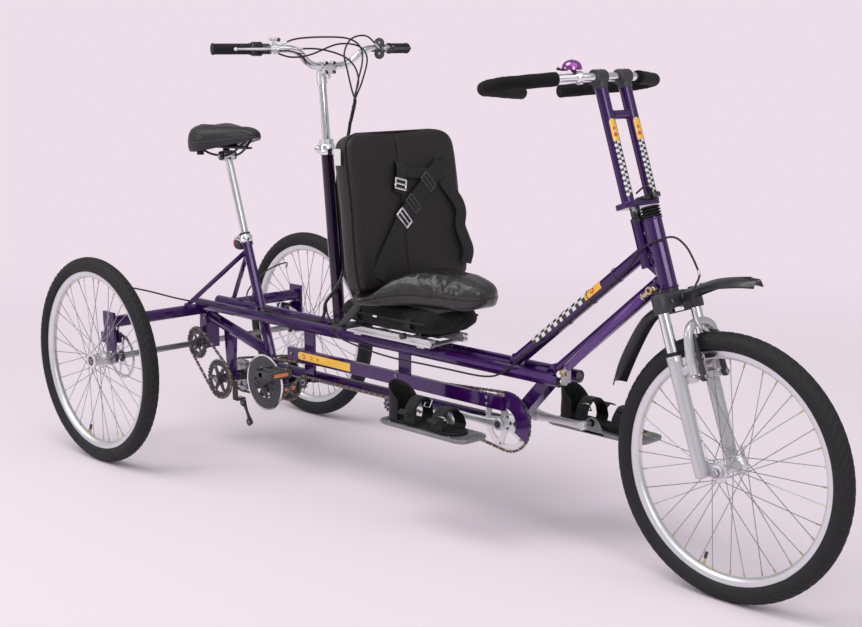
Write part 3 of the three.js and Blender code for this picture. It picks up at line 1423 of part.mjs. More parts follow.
// Push rod in the near rail, and the rod that rises from it to the fork's steering arm
const rodKnuckle = at(railFrontX + pushRod.frontReach, 0, rail.z + pushRod.knuckleRise);

function pushRodSolid() {
  const axis = (x) => at(x, -rail.offset, rail.z);
  const armFront = onColumn(rail.z).x + steerShaft.armWidth / 2;
  const rear = armFront + pushRod.endGap;
  const bushes = [rear + pushRod.tipLength, railFrontX - 2 * rail.radius - seatTravel.back].map((x) => (
    rod(axis(x), axis(x + pushRod.bushLength), pushRod.bushRadius, coarse)
  ));
  const knuckle = block(
    at(rodKnuckle.x - pushRod.radius, -rail.offset - pushRod.radius, rail.z),
    at(rodKnuckle.x + pushRod.radius, -rail.offset + pushRod.radius, rodKnuckle.z + pushRod.radius),
  );
  const pin = rod(
    rodKnuckle.clone().setY(-rail.offset),
    rodKnuckle.clone().setY(steerRod.planeY - steerRod.eyeWidth / 2 - overrun),
    steerRod.pinRadius,
    coarse,
  );
  return join(
    rod(axis(rear), axis(rear + pushRod.tipLength), pushRod.tipRadius, coarse),
    rod(axis(rear + pushRod.tipLength), axis(rodKnuckle.x), pushRod.radius, coarse),
    ...bushes,
    knuckle,
    pin,
  );
}
piece(part, 'steer_push_rod', pushRodSolid(), steel);

function steeringRodSolid() {
  const low = rodKnuckle.clone().setY(steerRod.planeY);
  const high = onHead(steerRod.topX, 0, steerRod.topZ).setY(steerRod.planeY);
  const run = high.clone().sub(low).setLength(steerRod.eyeLength);
  const tube = rod(low.clone().add(run), high.clone().sub(run), steerRod.radius, coarse);
  const neck = rod(low, high, steerRod.neckRadius, coarse);
  const eye = (centre) => rod(
    centre.clone().setY(steerRod.planeY - steerRod.eyeWidth / 2),
    centre.clone().setY(steerRod.planeY + steerRod.eyeWidth / 2),
    steerRod.ballRadius,
    medium,
  );
  const bore = rod(low.clone().setY(steerRod.planeY * 2), low.clone().setY(0), steerRod.bore, coarse);
  return cut(join(tube, neck, eye(low), eye(high)), bore);
}
piece(part, 'steering_rod', steeringRodSolid(), violetPaint);

// Captain's handlebar: post, stem and riser bar in one piece, with a lug for each brake lever
const barStart = (side) => at(captainBar.highBend.x, side * captainBar.highBend.y, captainBar.highBend.z);
const barEnd = (side) => at(captainBar.end.x, side * captainBar.end.y, captainBar.end.z);
const alongBar = (side, share) => barStart(side).lerp(barEnd(side), share);
const leverPivot = (side) => alongBar(side, lever.pivotShare).add(at(lever.ahead, 0, 0));

function captainBarSolid() {
  const corner = ({ x, y, z }, side) => at(x, side * y, z);
  const stations = rounded([
    barEnd(-1), corner(captainBar.highBend, -1), corner(captainBar.lowBend, -1),
    corner(captainBar.lowBend, 1), corner(captainBar.highBend, 1), barEnd(1),
  ], captainBar.radius * 2, 2);
  const clampAt = (y) => at(captainBar.clampX, y, captainBar.clampZ);
  const postTop = onColumn(barPost.topZ);
  const lugs = [-1, 1].flatMap((side) => {
    const middle = alongBar(side, lever.pivotShare);
    const reach = alongBar(side, 1).sub(middle).setLength(lever.clampLength / 2);
    const pivot = leverPivot(side);
    const lug = block(
      at(
        middle.x, middle.y - lever.clampLength / 2,
        middle.z - lever.thickness / 2 - gap - lever.thickness / 2,
      ),
      at(
        pivot.x + lever.pinRadius * 2, middle.y + lever.clampLength / 2,
        middle.z - lever.thickness / 2 - gap,
      ),
    );
    const pin = rod(
      at(pivot.x, pivot.y, pivot.z - lever.thickness / 2 - overrun),
      at(pivot.x, pivot.y, pivot.z + lever.thickness / 2 + overrun),
      lever.pinRadius,
      coarse,
    );
    return [rod(middle.clone().sub(reach), middle.clone().add(reach), lever.clampRadius, coarse), lug, pin];
  });
  return join(
    bent(stations, captainBar.radius, coarse),
    rod(onColumn(barPost.bottomZ), postTop, barPost.radius),
    rod(clampAt(-barPost.clampHalfWidth), clampAt(barPost.clampHalfWidth), barPost.clampRadius),
    rod(postTop, clampAt(0), barPost.radius, coarse),
    ...lugs,
  );
}
piece(part, 'captain_bar', captainBarSolid(), chrome);

function barGripSolid(side) {
  const end = barEnd(side);
  const inward = barStart(side).sub(end).setLength(1);
  const from = end.clone().addScaledVector(inward, barGrip.length);
  return cut(
    rod(from, end, barGrip.radius, coarse),
    rod(
      from.clone().addScaledVector(inward, overrun), end.clone().addScaledVector(inward, -overrun),
      barGrip.bore, coarse,
    ),
  );
}

function leverSolid(side) {
  const pivot = leverPivot(side);
  const half = lever.thickness / 2;
  const tip = pivot.clone().add(alongBar(side, 1).sub(alongBar(side, 0)).setLength(lever.reach));
  const low = pivot.z - half;
  const blade = planPlate([
    [pivot.x - lever.width / 2, pivot.y], [tip.x - lever.width / 4, tip.y],
    [tip.x + lever.width / 4, tip.y], [pivot.x + lever.width / 2, pivot.y],
  ], low, low + lever.thickness);
  const eye = rod(
    at(pivot.x, pivot.y, low), at(pivot.x, pivot.y, low + lever.thickness), lever.width * lever.eyeShare,
    coarse,
  );
  const bore = rod(
    at(pivot.x, pivot.y, low - overrun), at(pivot.x, pivot.y, low + 2 * lever.thickness), lever.bore,
    coarse,
  );
  return cut(join(blade, eye), bore);
}
for (const [name, side] of [['right', -1], ['left', 1]]) {
  piece(part, `captain_grip_${name}`, barGripSolid(side), rubber);
  piece(part, `brake_lever_${name}`, leverSolid(side), blackPlastic);
}

// Front rider's mast: a quill in the frame, a plate, two tubes with a cross tube, and a clamp on each tube
const mastTubeX = -mastTube.setback + mast.offset;
const mastPlateZ = mastTube.top + mast.plateZ;
const frontBarZ = mastTube.top + mast.barZ;

function mastSolid() {
  const quillRod = rod(
    at(-mastTube.setback, 0, mastTube.top - quill.insertion),
    at(-mastTube.setback, 0, mastPlateZ + overrun),
    quill.radius,
  );
  const outer = mast.halfSpread + mast.radius;
  const base = block(
    at(-mastTube.setback - mast.radius, -outer, mastPlateZ),
    at(mastTubeX + mast.radius, outer, mastPlateZ + mast.plateHeight),
  );
  const tubes = [-1, 1].map((side) => rod(
    at(mastTubeX, side * mast.halfSpread, mastPlateZ + overrun),
    at(mastTubeX, side * mast.halfSpread, frontBarZ),
    mast.radius,
  ));
  const cross = rod(
    at(mastTubeX, -mast.halfSpread, mastTube.top + mast.crossZ),
    at(mastTubeX, mast.halfSpread, mastTube.top + mast.crossZ),
    mast.radius * mast.crossShare,
    coarse,
  );
  const clamps = [-1, 1].map((side) => rod(
    at(mastTubeX, side * mast.halfSpread - mastClamp.halfWidth, frontBarZ),
    at(mastTubeX, side * mast.halfSpread + mastClamp.halfWidth, frontBarZ),
    mastClamp.radius,
  ));
  const barRoom = rod(
    at(mastTubeX, -outer * 2, frontBarZ), at(mastTubeX, outer * 2, frontBarZ), mastClamp.bore, coarse,
  );
  return cut(join(quillRod, base, ...tubes, cross, ...clamps), barRoom);
}
const mastGroup = new THREE.Group();
mastGroup.position.copy(headFoot);
mastGroup.rotation.y = -headLean;
part.add(mastGroup);
piece(mastGroup, 'bar_mast', mastSolid(), violetPaint);

// Front rider's loop bar, swept back and closed inward
const barCentre = onHead(mastTubeX, 0, frontBarZ);
const loopPoint = ({ back, y, drop }, side) => barCentre.clone().add(at(-back, side * y, -drop));
const clampReach = mast.halfSpread + mastClamp.halfWidth + loopBar.radius;
const clampEdge = (side) => barCentre.clone().setY(side * clampReach);

function loopSide(side) {
  return [
    clampEdge(side),
    ...[loopBar.shoulder, loopBar.outerBend, loopBar.tip, loopBar.end].map((p) => loopPoint(p, side)),
  ];
}
function loopBarSolid() {
  const right = rounded(loopSide(-1), loopBar.bendRadius / 2, 2);
  const left = rounded(loopSide(1), loopBar.bendRadius / 2, 2);
  return bent([...right.reverse(), ...left], loopBar.radius, coarse);
}
piece(part, 'front_bar', loopBarSolid(), blackPaint);

function foamSolid(side) {
  const [, shoulder, outerBend, tip, end] = loopSide(side);
  const start = shoulder.clone().lerp(outerBend, loopBar.foamStartShare);
  const last = end.clone().sub(tip).setLength(overrun);
  const stations = (from, to) => rounded([from, outerBend, tip, to], loopBar.bendRadius / 2, 2);
  const before = start.clone().lerp(shoulder, loopBar.foamStartShare);
  return cut(
    bent(stations(start, end.clone().addScaledVector(last, 2)), loopBar.foamRadius, coarse),
    bent(stations(before, end.clone().add(last)), loopBar.foamBore, coarse),
  );
}
piece(part, 'foam_right', foamSolid(-1), foam);
piece(part, 'foam_left', foamSolid(1), foam);

// Slide rails with a slot along their tops, on two ties that rest on the twin rails
function slideRailsSolid() {
  const top = slideRail.baseZ + slideRail.height;
  const rest = rail.z + rail.radius + gap;
  const half = slideRail.width / 2;
  const channels = [-1, 1].map((side) => cut(
    block(
      at(slideRail.rearX, side * slideRail.offset - half, slideRail.baseZ),
      at(slideRail.frontX, side * slideRail.offset + half, top),
    ),
    block(
      at(
        slideRail.rearX - overrun, side * slideRail.offset - slideRail.slot / 2,
        slideRail.baseZ + slideRail.wall,
      ),
      at(slideRail.frontX + overrun, side * slideRail.offset + slideRail.slot / 2, top + overrun),
    ),
  ));
  const ties = [slideTie.rearX, slideTie.frontX].map((x) => block(
    at(x - slideTie.width / 2, -slideRail.offset - half, rest),
    at(x + slideTie.width / 2, slideRail.offset + half, slideRail.baseZ + slideRail.wall / 2),
  ));
  return join(...channels, ...ties);
}
piece(part, 'slide_rails', slideRailsSolid(), alloy);

// Seat carriage: a pan on the slide rails, a pillar with a top plate, and two posts behind the backrest
const backLine = at(backrest.head.x - backrest.foot.x, 0, backrest.head.z - backrest.foot.z);
const backNormal = at(backLine.z, 0, -backLine.x).normalize();
const onBackrest = (share, ahead) => at(backrest.foot.x, 0, backrest.foot.z)
  .addScaledVector(backLine, share)
  .addScaledVector(backNormal, ahead);

function carriageSolid() {
  const low = slideRail.baseZ + slideRail.height + gap;
  const high = low + carriage.thickness;
  const spread = slideRail.offset + slideRail.width / 2;
  const postSpread = seatBack.postOffset + seatBack.postRadius * seatBack.footShare;
  const half = carriage.pillarSide / 2;
  const pan = block(
    at(carriage.rearX, -carriage.panHalf, low), at(carriage.frontX + half, carriage.panHalf, high),
  );
  const frontBar = block(
    at(carriage.frontX - carriage.barWidth, -spread, low), at(carriage.frontX, spread, high),
  );
  const rearBar = block(
    at(carriage.rearX, -postSpread, low),
    at(carriage.rearX + carriage.barWidth * carriage.rearBarShare, postSpread, high),
  );
  const pillarBlock = block(
    at(carriage.pillarX - half, -half, low), at(carriage.pillarX + half, half, cushion.baseZ - gap),
  );
  const topPlate = block(
    at(carriage.pillarX - 2 * carriage.plateHalf, -carriage.plateHalf, carriage.topZ),
    at(carriage.pillarX + carriage.plateHalf, carriage.plateHalf, cushion.baseZ - gap),
  );
  const posts = [-1, 1].map((side) => {
    const top = onBackrest(seatBack.postTopShare, -backrest.thickness / 2 - seatBack.postRadius - gap * 2);
    const stations = rounded([
      at(seatBack.footX, side * seatBack.postOffset, low + overrun),
      at(seatBack.kneeX, side * seatBack.postOffset, seatBack.kneeZ),
      top.setY(side * seatBack.postOffset),
    ], seatBack.postRadius * 2, 2);
    return bent(stations, seatBack.postRadius, coarse);
  });
  return join(pan, frontBar, rearBar, pillarBlock, topPlate, ...posts);
}
piece(part, 'seat_carriage', carriageSolid(), blackPaint);

// Seat cushion, as cross sections from the wide rear to the rounded nose: way along, half width, foot and
// crown
const cushionSectionShares = [
  [0, 0.7, 0.06, 0.3], [0.033, 0.94, 0, 0.4], [0.125, 1, 0, 0.42], [0.179, 0.9, 0, 0.56],
  [0.261, 0.72, 0, 0.86],
  [0.397, 0.5, 0, 1], [0.587, 0.37, 0, 1], [0.777, 0.31, 0.02, 0.98], [0.902, 0.27, 0.08, 0.9],
  [0.967, 0.2, 0.18, 0.78], [1, 0.08, 0.34, 0.62],
];
// One half section: share of the half width, share of the height
const cushionHalfShares = [
  [0, 1], [0.28, 0.99], [0.56, 0.95], [0.8, 0.86], [0.94, 0.7], [1, 0.5], [0.985, 0.42], [1, 0.34],
  [0.93, 0.12], [0.8, 0],
];

function cushionSolid() {
  const rings = cushionSectionShares.map(([along, wideShare, lowShare, highShare]) => {
    const x = THREE.MathUtils.lerp(cushion.rearX, cushion.frontX, along);
    const half = cushion.halfWidth * wideShare;
    const low = cushion.baseZ + cushion.thickness * lowShare;
    const height = cushion.thickness * (highShare - lowShare);
    const side = (sign) => cushionHalfShares.map(([across, up]) => at(
      x, sign * half * across, low + height * up,
    ));
    return [...side(1), at(x, 0, low), ...side(-1).reverse().slice(0, -1)];
  });
  return skin(rings);
}
piece(part, 'seat_cushion', cushionSolid(), vinyl);

// Backrest, as sections up its height: height share, width share, thickness share
const backrestSectionShares = [
  [0, 0.8, 0.5], [0.02, 0.93, 0.85], [0.08, 1, 1], [0.3, 1, 1], [0.5, 0.98, 1.04], [0.72, 0.98, 1.04],
  [0.88, 0.97, 1], [0.96, 0.9, 0.92], [1, 0.74, 0.5],
];
// Half section from the middle seam round to the flat rear: share of the half width, share of the thickness
const backrestHalfShares = [
  [0, 0.4], [0.02, 0.47], [0.3, 0.5], [0.62, 0.58], [0.84, 0.78], [0.95, 0.84], [1, 0.62], [0.99, 0.1],
  [0.94, -0.28], [0.86, -0.5],
];

function backrestSolid() {
  const rings = backrestSectionShares.map(([up, wideShare, deepShare]) => {
    const half = backrest.halfWidth * wideShare;
    const side = (sign) => backrestHalfShares.map(([across, deep]) => (
      onBackrest(
        up, deep > 0 ? backrest.thickness * deep * deepShare : backrest.thickness * deep,
      ).setY(sign * half * across)
    ));
    return [...side(1), onBackrest(up, -backrest.thickness / 2), ...side(-1).reverse().slice(0, -1)];
  });
  return cut(skin(rings), block(
    at(backrest.foot.x - backrest.thickness * 2, -cushion.halfWidth * 2, 0),
    at(backrest.foot.x + backrest.thickness * 2, cushion.halfWidth * 2, backrest.foot.z),
  ));
}
piece(part, 'backrest', backrestSolid(), vinyl);

// Bag under the seat, with an opening for the pillar
const bagSectionShares = [
  [0, 0.7, 0.55], [0.05, 0.9, 0.85], [0.14, 1, 1], [0.6, 1, 1], [0.84, 0.98, 0.96], [0.95, 0.86, 0.8],
  [1, 0.6, 0.5],
];

function seatBagSolid() {
  const middle = (seatBag.baseZ + seatBag.topZ) / 2;
  const rings = bagSectionShares.map(([along, wideShare, highShare]) => {
    const x = THREE.MathUtils.lerp(seatBag.rearX, seatBag.frontX, along);
    const half = seatBag.halfWidth * wideShare;
    const rise = ((seatBag.topZ - seatBag.baseZ) / 2) * highShare;
    const corner = Math.min(half, rise) / 2;
    return [
      at(
        x, half, middle - rise + corner,
      ), at(x, half, middle + rise - corner), at(x, half - corner, middle + rise),
      at(
        x, -half + corner, middle + rise,
      ), at(x, -half, middle + rise - corner), at(x, -half, middle - rise + corner),
      at(x, -half + corner, middle - rise), at(x, half - corner, middle - rise),
    ];
  });
  const half = carriage.pillarSide / 2 + runningGap;
  return cut(skin(rings), block(
    at(carriage.pillarX - half, -half, seatBag.baseZ - overrun),
    at(carriage.pillarX + half, half, seatBag.topZ + overrun),
  ));
}
piece(part, 'seat_bag', seatBagSolid(), cloth);

// Bell on the loop bar
function bellSolid() {
  const along = clampEdge(-1).lerp(loopPoint(loopBar.shoulder, -1), bell.alongShare);
  const run = loopPoint(loopBar.shoulder, -1).sub(clampEdge(-1)).setLength(bell.clampLength / 2);
  const ring = [along.clone().sub(run), along.clone().add(run)];
  const seat = at(along.x, along.y, along.z + loopBar.radius);
  const base = seat.clone().add(at(-bell.back, 0, bell.rise));
  const dome = turnedUp([
    [0, 0],
    ...bell.domeShares.map(([out, up]) => [bell.radius * out, bell.height * up]),
    [0, bell.height],
  ], medium).translate(base.toArray());
  const bore = [along.clone().addScaledVector(run, -2), along.clone().addScaledVector(run, 2)];
  const stalk = rod(seat, base.clone().add(at(0, 0, overrun)), bell.stalkRadius, coarse);
  return cut(join(rod(...ring, bell.clampRadius, coarse), dome, stalk), rod(...bore, mastClamp.bore, coarse));
}
piece(part, 'bell', bellSolid(), chrome);

// Brake and gear cables from the captain's bar: four loops gathered into one bundle
const barClamp = at(captainBar.clampX, 0, captainBar.clampZ);
const beside = (place, rows) => rows.map(([x, y, z]) => place.clone().add(at(x, y, z)).toArray());
const [bundleFoot, bundleHead] = beside(barClamp, [
  [100, 4, -158], [126, 0, -96],
]);
const cableLoops = [
  beside(barClamp, [
    [9.7, -176, 69.2], [24, -130, 84], [30, -30, 89], [32, 60, 84], [44, 96, 58], [64, 84, 16],
    [90, 44, -38], [114, 12, -78],
  ]),
  beside(barClamp, [
    [10.4, -214, 49], [28, -160, 32], [44, -100, 38], [38, 10, 68], [36, 96, 62], [50, 116, 26],
    [80, 70, -38], [112, 18, -80],
  ]),
  beside(barClamp, [
    [32, -150, 55], [50, -70, 54], [50, 20, 34], [50, 66, 2], [78, 56, -40], [112, 10, -82],
  ]),
  beside(barClamp, [
    [21.5, 190, 57], [32, 130, 92], [44, 60, 84], [66, 12, 42], [86, 8, -14], [110, 4, -70],
  ]),
];

function routed(route) {
  return cord(route, cable.radius, Math.round(cable.stepsPerPoint * route.length));
}

function barCablesSolid() {
  const bundle = rod(at(...bundleFoot), at(...bundleHead), cable.loomRadius, coarse);
  const loops = cableLoops.map((route) => routed([...route, bundleHead]));
  return join(bundle, ...loops);
}
piece(part, 'bar_cables', barCablesSolid(), rubber);

// Frame cables: one loom beside the column's foot, two tails to the rear calipers, one to the front brake
const columnFoot = at(column.footX, 0, column.foot);
const besideSeatTube = at(rearCrankAxle.x, 0, rail.z);
const besideCrank = at(frontCrankAxle.x, 0, rail.z);
const besideCaliper = (side) => at(rearAxle.x, side * beamHalf, beam.z);
const loomRoute = beside(columnFoot, [
  [18, -70, 76], [14, -74, 40], [-2, -76, 20], [-50, -74, 14], [-100, -72, 12],
]);
const rearTails = [
  [
    ...beside(columnFoot, [
      [-100, -72, 12], [-190, -76, 8],
    ]),
    ...beside(besideSeatTube, [
      [6, -92, 27], [-114, -140, 35],
    ]),
    ...beside(besideCaliper(-1), [
      [150, 159, 75], [90, 79, 103], [40, 27, 115], [-22, 27, 95],
    ]),
  ],
  [
    ...beside(columnFoot, [
      [-100, -72, 12], [-210, -66, 10],
    ]),
    ...beside(besideSeatTube, [
      [-34, -52, 35], [-164, 10, 47],
    ]),
    ...beside(besideCaliper(1), [
      [130, -269, 103], [70, -159, 121], [20, -59, 121], [-22, -27, 95],
    ]),
  ],
];
const frontTail = [
  ...beside(columnFoot, [
    [18, -70, 76], [28, -72, 42], [48, -70, 12], [74, -68, -22],
  ]),
  ...beside(besideCrank, [
    [-518, -66, -25], [-388, -70, -29], [-328, -70, -27], [-208, -65, -27], [-68, -61, -25],
    [4, -61.6, 0], [62, -46, 57],
  ]),
  ...beside(topTubeEnds[0], [
    [130, -22.8, 105], [206, -22.4, 166],
  ]),
  ...beside(topTubeEnds[1], [
    [-106, -22.2, -85], [-34, -22.2, -26],
  ]),
  ...beside(headFoot, [
    [-68, -26, 91], [-22, -27, 117], [26, -26, 131], [58, -20, 113], [78, -12, 79], [92, -6, 45],
  ]),
];

function frameCablesSolid() {
  return join(cord(loomRoute, cable.loomRadius, loomRoute.length), ...[...rearTails, frontTail].map(routed));
}
piece(part, 'frame_cables', frameCablesSolid(), rubber);

export default part;
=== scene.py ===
"""Looks of an adaptive tandem tricycle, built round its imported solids.

Metres. +X forward, +Y to the riders' left, +Z up, in the same frame as the solids.
Each sub-assembly is a class: its fields are its sizes, and its methods build and dress its pieces.
"""

import logging
import math
from dataclasses import dataclass, field
from enum import Enum
from typing import Iterable, Sequence

import bmesh
import bpy
from mathutils import Matrix, Vector


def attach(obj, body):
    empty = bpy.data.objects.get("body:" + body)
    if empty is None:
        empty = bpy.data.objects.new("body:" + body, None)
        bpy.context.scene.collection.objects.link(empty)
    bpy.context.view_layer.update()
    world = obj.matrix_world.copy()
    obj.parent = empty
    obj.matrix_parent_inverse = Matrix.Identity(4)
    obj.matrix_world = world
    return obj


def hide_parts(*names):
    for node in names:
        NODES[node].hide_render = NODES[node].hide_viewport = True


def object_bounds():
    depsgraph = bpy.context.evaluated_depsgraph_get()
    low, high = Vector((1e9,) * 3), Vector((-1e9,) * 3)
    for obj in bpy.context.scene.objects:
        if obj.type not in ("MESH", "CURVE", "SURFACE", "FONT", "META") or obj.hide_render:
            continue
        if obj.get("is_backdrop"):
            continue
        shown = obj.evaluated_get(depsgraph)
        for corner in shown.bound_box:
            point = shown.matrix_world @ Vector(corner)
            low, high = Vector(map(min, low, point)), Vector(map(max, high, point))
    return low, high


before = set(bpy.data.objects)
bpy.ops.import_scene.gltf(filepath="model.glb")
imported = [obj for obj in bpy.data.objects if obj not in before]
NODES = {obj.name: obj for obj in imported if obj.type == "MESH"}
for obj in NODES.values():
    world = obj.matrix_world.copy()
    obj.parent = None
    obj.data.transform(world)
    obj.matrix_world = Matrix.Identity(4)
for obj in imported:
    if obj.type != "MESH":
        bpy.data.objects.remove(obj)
CAD_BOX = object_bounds()
LOG = logging.getLogger("tricycle")

Point = Sequence[float]
Colour = tuple[float, float, float]
X_AXIS = Vector((1, 0, 0))
Y_AXIS = Vector((0, 1, 0))
Z_AXIS = Vector((0, 0, 1))
FULL_TURN = 2 * math.pi
MM_PER_METRE = 1000
SIDES = {-1: "right", 1: "left"}


# Shared shader effects


class Effect(Enum):
    """The shader node groups that more than one finish uses."""

    MOTTLE = "mottle"
    GRAIN = "grain"
    LEATHER = "leather"
    WEAVE = "weave"
    BRUSHED = "brushed"
    WEAR = "edge_wear"
    DUST = "dust"


@dataclass
class Tree:
    """A shader tree with short calls for adding and joining nodes.

    Attributes:
        tree: The node tree that is filled.
    """

    tree: bpy.types.NodeTree

    def add(self, kind: str, values: dict | None = None, **settings: object) -> bpy.types.Node:
        """Adds a node.

        Args:
            kind: The node's type, without its ShaderNode prefix.
            values: Socket names and the values or sockets that they get.
            settings: Properties of the node itself.

        Returns:
            The new node.
        """
        node = self.tree.nodes.new("ShaderNode" + kind)
        for name, setting in settings.items():
            setattr(node, name, setting)
        for name, value in (values or {}).items():
            self.join(value, node.inputs[name])
        return node

    def join(self, value: object, socket: bpy.types.NodeSocket) -> None:
        """Links a socket to an input, or sets the input's own value.

        Args:
            value: A socket or a plain value.
            socket: The input that gets it.
        """
        if isinstance(value, bpy.types.NodeSocket):
            self.tree.links.new(value, socket)
        else:
            socket.default_value = value

    def maths(self, operation: str, *values: object) -> bpy.types.NodeSocket:
        """Adds a Math node and returns its output.

        Args:
            operation: What the node works out.
            values: Its inputs, as sockets or plain values.

        Returns:
            The node's output.
        """
        node = self.add("Math", operation=operation)
        for socket, value in zip(node.inputs, values):
            self.join(value, socket)
        return node.outputs[0]

    def blend(self, share: object, first: object, second: object) -> bpy.types.NodeSocket:
        """Mixes two colours by a share and returns the colour output.

        Args:
            share: How far the mix goes to the second colour.
            first: Colour at share 0.
            second: Colour at share 1.

        Returns:
            The mixed colour.
        """
        node = self.add("Mix", data_type="RGBA")
        for socket, value in zip((node.inputs[0], node.inputs[6], node.inputs[7]), (share, first, second)):
            self.join(value, socket)
        return node.outputs[2]

    def ramp(self, value: bpy.types.NodeSocket, low: float, high: float) -> bpy.types.NodeSocket:
        """Stretches a value so that low gives 0 and high gives 1."""
        node = self.add("MapRange", {"Value": value, "From Min": low, "From Max": high}, clamp=True)
        return node.outputs[0]

    def place(self) -> bpy.types.NodeSocket:
        """Returns the point on the piece, in the piece's own coordinates."""
        return self.add("TexCoord").outputs["Object"]


SOCKET_KINDS = {
    "Scale": "NodeSocketFloat",
    "Amount": "NodeSocketFloat",
    "Colour": "NodeSocketColor",
    "Second Colour": "NodeSocketColor",
    "Mask": "NodeSocketFloat",
    "Height": "NodeSocketFloat",
    "Roughness": "NodeSocketFloat",
}


def new_group(effect: Effect, inputs: Sequence[str],
              outputs: Sequence[str]) -> tuple[Tree, bpy.types.Node, bpy.types.Node]:
    """Makes an empty node group with named sockets.

    Args:
        effect: The effect that the group holds.
        inputs: Names of its inputs, from SOCKET_KINDS.
        outputs: Names of its outputs, from SOCKET_KINDS.

    Returns:
        The tree, its input node and its output node.
    """
    group = bpy.data.node_groups.new(effect.value, "ShaderNodeTree")
    for name in inputs:
        group.interface.new_socket(name=name, in_out="INPUT", socket_type=SOCKET_KINDS[name])
    for name in outputs:
        group.interface.new_socket(name=name, in_out="OUTPUT", socket_type=SOCKET_KINDS[name])
    entry = group.nodes.new("NodeGroupInput")
    leave = group.nodes.new("NodeGroupOutput")
    return Tree(group), entry, leave


def make_mottle() -> None:
    """Cloudy change between two colours."""
    tree, entry, leave = new_group(Effect.MOTTLE, ["Colour", "Second Colour", "Scale", "Amount"],
                                   ["Colour", "Mask"])
    cloud = tree.add("TexNoise", {"Vector": tree.place(), "Scale": entry.outputs["Scale"], "Detail": 5.0})
    mask = tree.ramp(cloud.outputs["Fac"], 0.38, 0.66)
    share = tree.maths("MULTIPLY", mask, entry.outputs["Amount"])
    colour = tree.blend(share, entry.outputs["Colour"], entry.outputs["Second Colour"])
    tree.join(colour, leave.inputs["Colour"])
    tree.join(mask, leave.inputs["Mask"])


def make_grain() -> None:
    """Fine moulded or painted grain, with a slow swell under it."""
    tree, entry, leave = new_group(Effect.GRAIN, ["Scale"], ["Height", "Mask"])
    place = tree.place()
    fine = tree.add("TexNoise", {"Vector": place, "Scale": entry.outputs["Scale"], "Detail": 3.0})
    slow_scale = tree.maths("MULTIPLY", entry.outputs["Scale"], 0.08)
    slow = tree.add("TexNoise", {"Vector": place, "Scale": slow_scale, "Detail": 2.0})
    height = tree.maths("ADD", fine.outputs["Fac"], tree.maths("MULTIPLY", slow.outputs["Fac"], 0.6))
    tree.join(height, leave.inputs["Height"])
    tree.join(slow.outputs["Fac"], leave.inputs["Mask"])


def make_leather() -> None:
    """Pebbled grain of coated cloth: small cells with creases between them."""
    tree, entry, leave = new_group(Effect.LEATHER, ["Scale"], ["Height", "Mask"])
    place = tree.place()
    cells = tree.add("TexVoronoi", {"Vector": place, "Scale": entry.outputs["Scale"]},
                     feature="DISTANCE_TO_EDGE")
    pebble = tree.ramp(cells.outputs["Distance"], 0.0, 0.22)
    folds = tree.add("TexNoise", {"Vector": place, "Scale": 22.0, "Detail": 6.0, "Distortion": 1.2})
    height = tree.maths("ADD", pebble, tree.maths("MULTIPLY", folds.outputs["Fac"], 1.6))
    tree.join(height, leave.inputs["Height"])
    tree.join(folds.outputs["Fac"], leave.inputs["Mask"])


def make_weave() -> None:
    """Crossed threads, seen alike from every side."""
    tree, entry, leave = new_group(Effect.WEAVE, ["Scale"], ["Height", "Mask"])
    spread = tree.add("VectorMath", {0: tree.place()}, operation="SCALE")
    tree.join(entry.outputs["Scale"], spread.inputs["Scale"])
    parts = tree.add("SeparateXYZ", {"Vector": spread.outputs[0]})
    waves = [tree.maths("SINE", tree.maths("MULTIPLY", parts.outputs[i], FULL_TURN)) for i in range(3)]
    warp = tree.maths("MULTIPLY", waves[0], waves[2])
    weft = tree.maths("MULTIPLY", waves[1], waves[2])
    third = tree.maths("MULTIPLY", waves[0], waves[1])
    height = tree.maths("ADD", tree.maths("ADD", warp, weft), third)
    tree.join(height, leave.inputs["Height"])
    tree.join(tree.ramp(height, -1.0, 1.4), leave.inputs["Mask"])


def make_brushed() -> None:
    """Fine turning and brushing marks on bare metal."""
    tree, entry, leave = new_group(Effect.BRUSHED, ["Scale"], ["Height", "Roughness"])
    place = tree.add("Mapping", {"Vector": tree.place(), "Scale": (0.06, 1.0, 1.0)})
    lines = tree.add("TexNoise", {"Vector": place.outputs[0], "Scale": entry.outputs["Scale"], "Detail": 4.0})
    smear = tree.add("TexNoise", {"Vector": tree.place(), "Scale": 30.0, "Detail": 5.0})
    rough = tree.maths("ADD", tree.maths("MULTIPLY", lines.outputs["Fac"], 0.22),
                       tree.maths("MULTIPLY", smear.outputs["Fac"], 0.3))
    tree.join(lines.outputs["Fac"], leave.inputs["Height"])
    tree.join(rough, leave.inputs["Roughness"])


def make_wear() -> None:
    """Worn edges: a mask on convex corners, broken up by noise."""
    tree, entry, leave = new_group(Effect.WEAR, ["Amount"], ["Mask"])
    corner = tree.ramp(tree.add("NewGeometry").outputs["Pointiness"], 0.53, 0.62)
    patches = tree.add("TexNoise", {"Vector": tree.place(), "Scale": 90.0, "Detail": 6.0})
    broken = tree.ramp(patches.outputs["Fac"], 0.45, 0.65)
    mask = tree.maths("MULTIPLY", tree.maths("MULTIPLY", corner, broken), entry.outputs["Amount"])
    tree.join(mask, leave.inputs["Mask"])


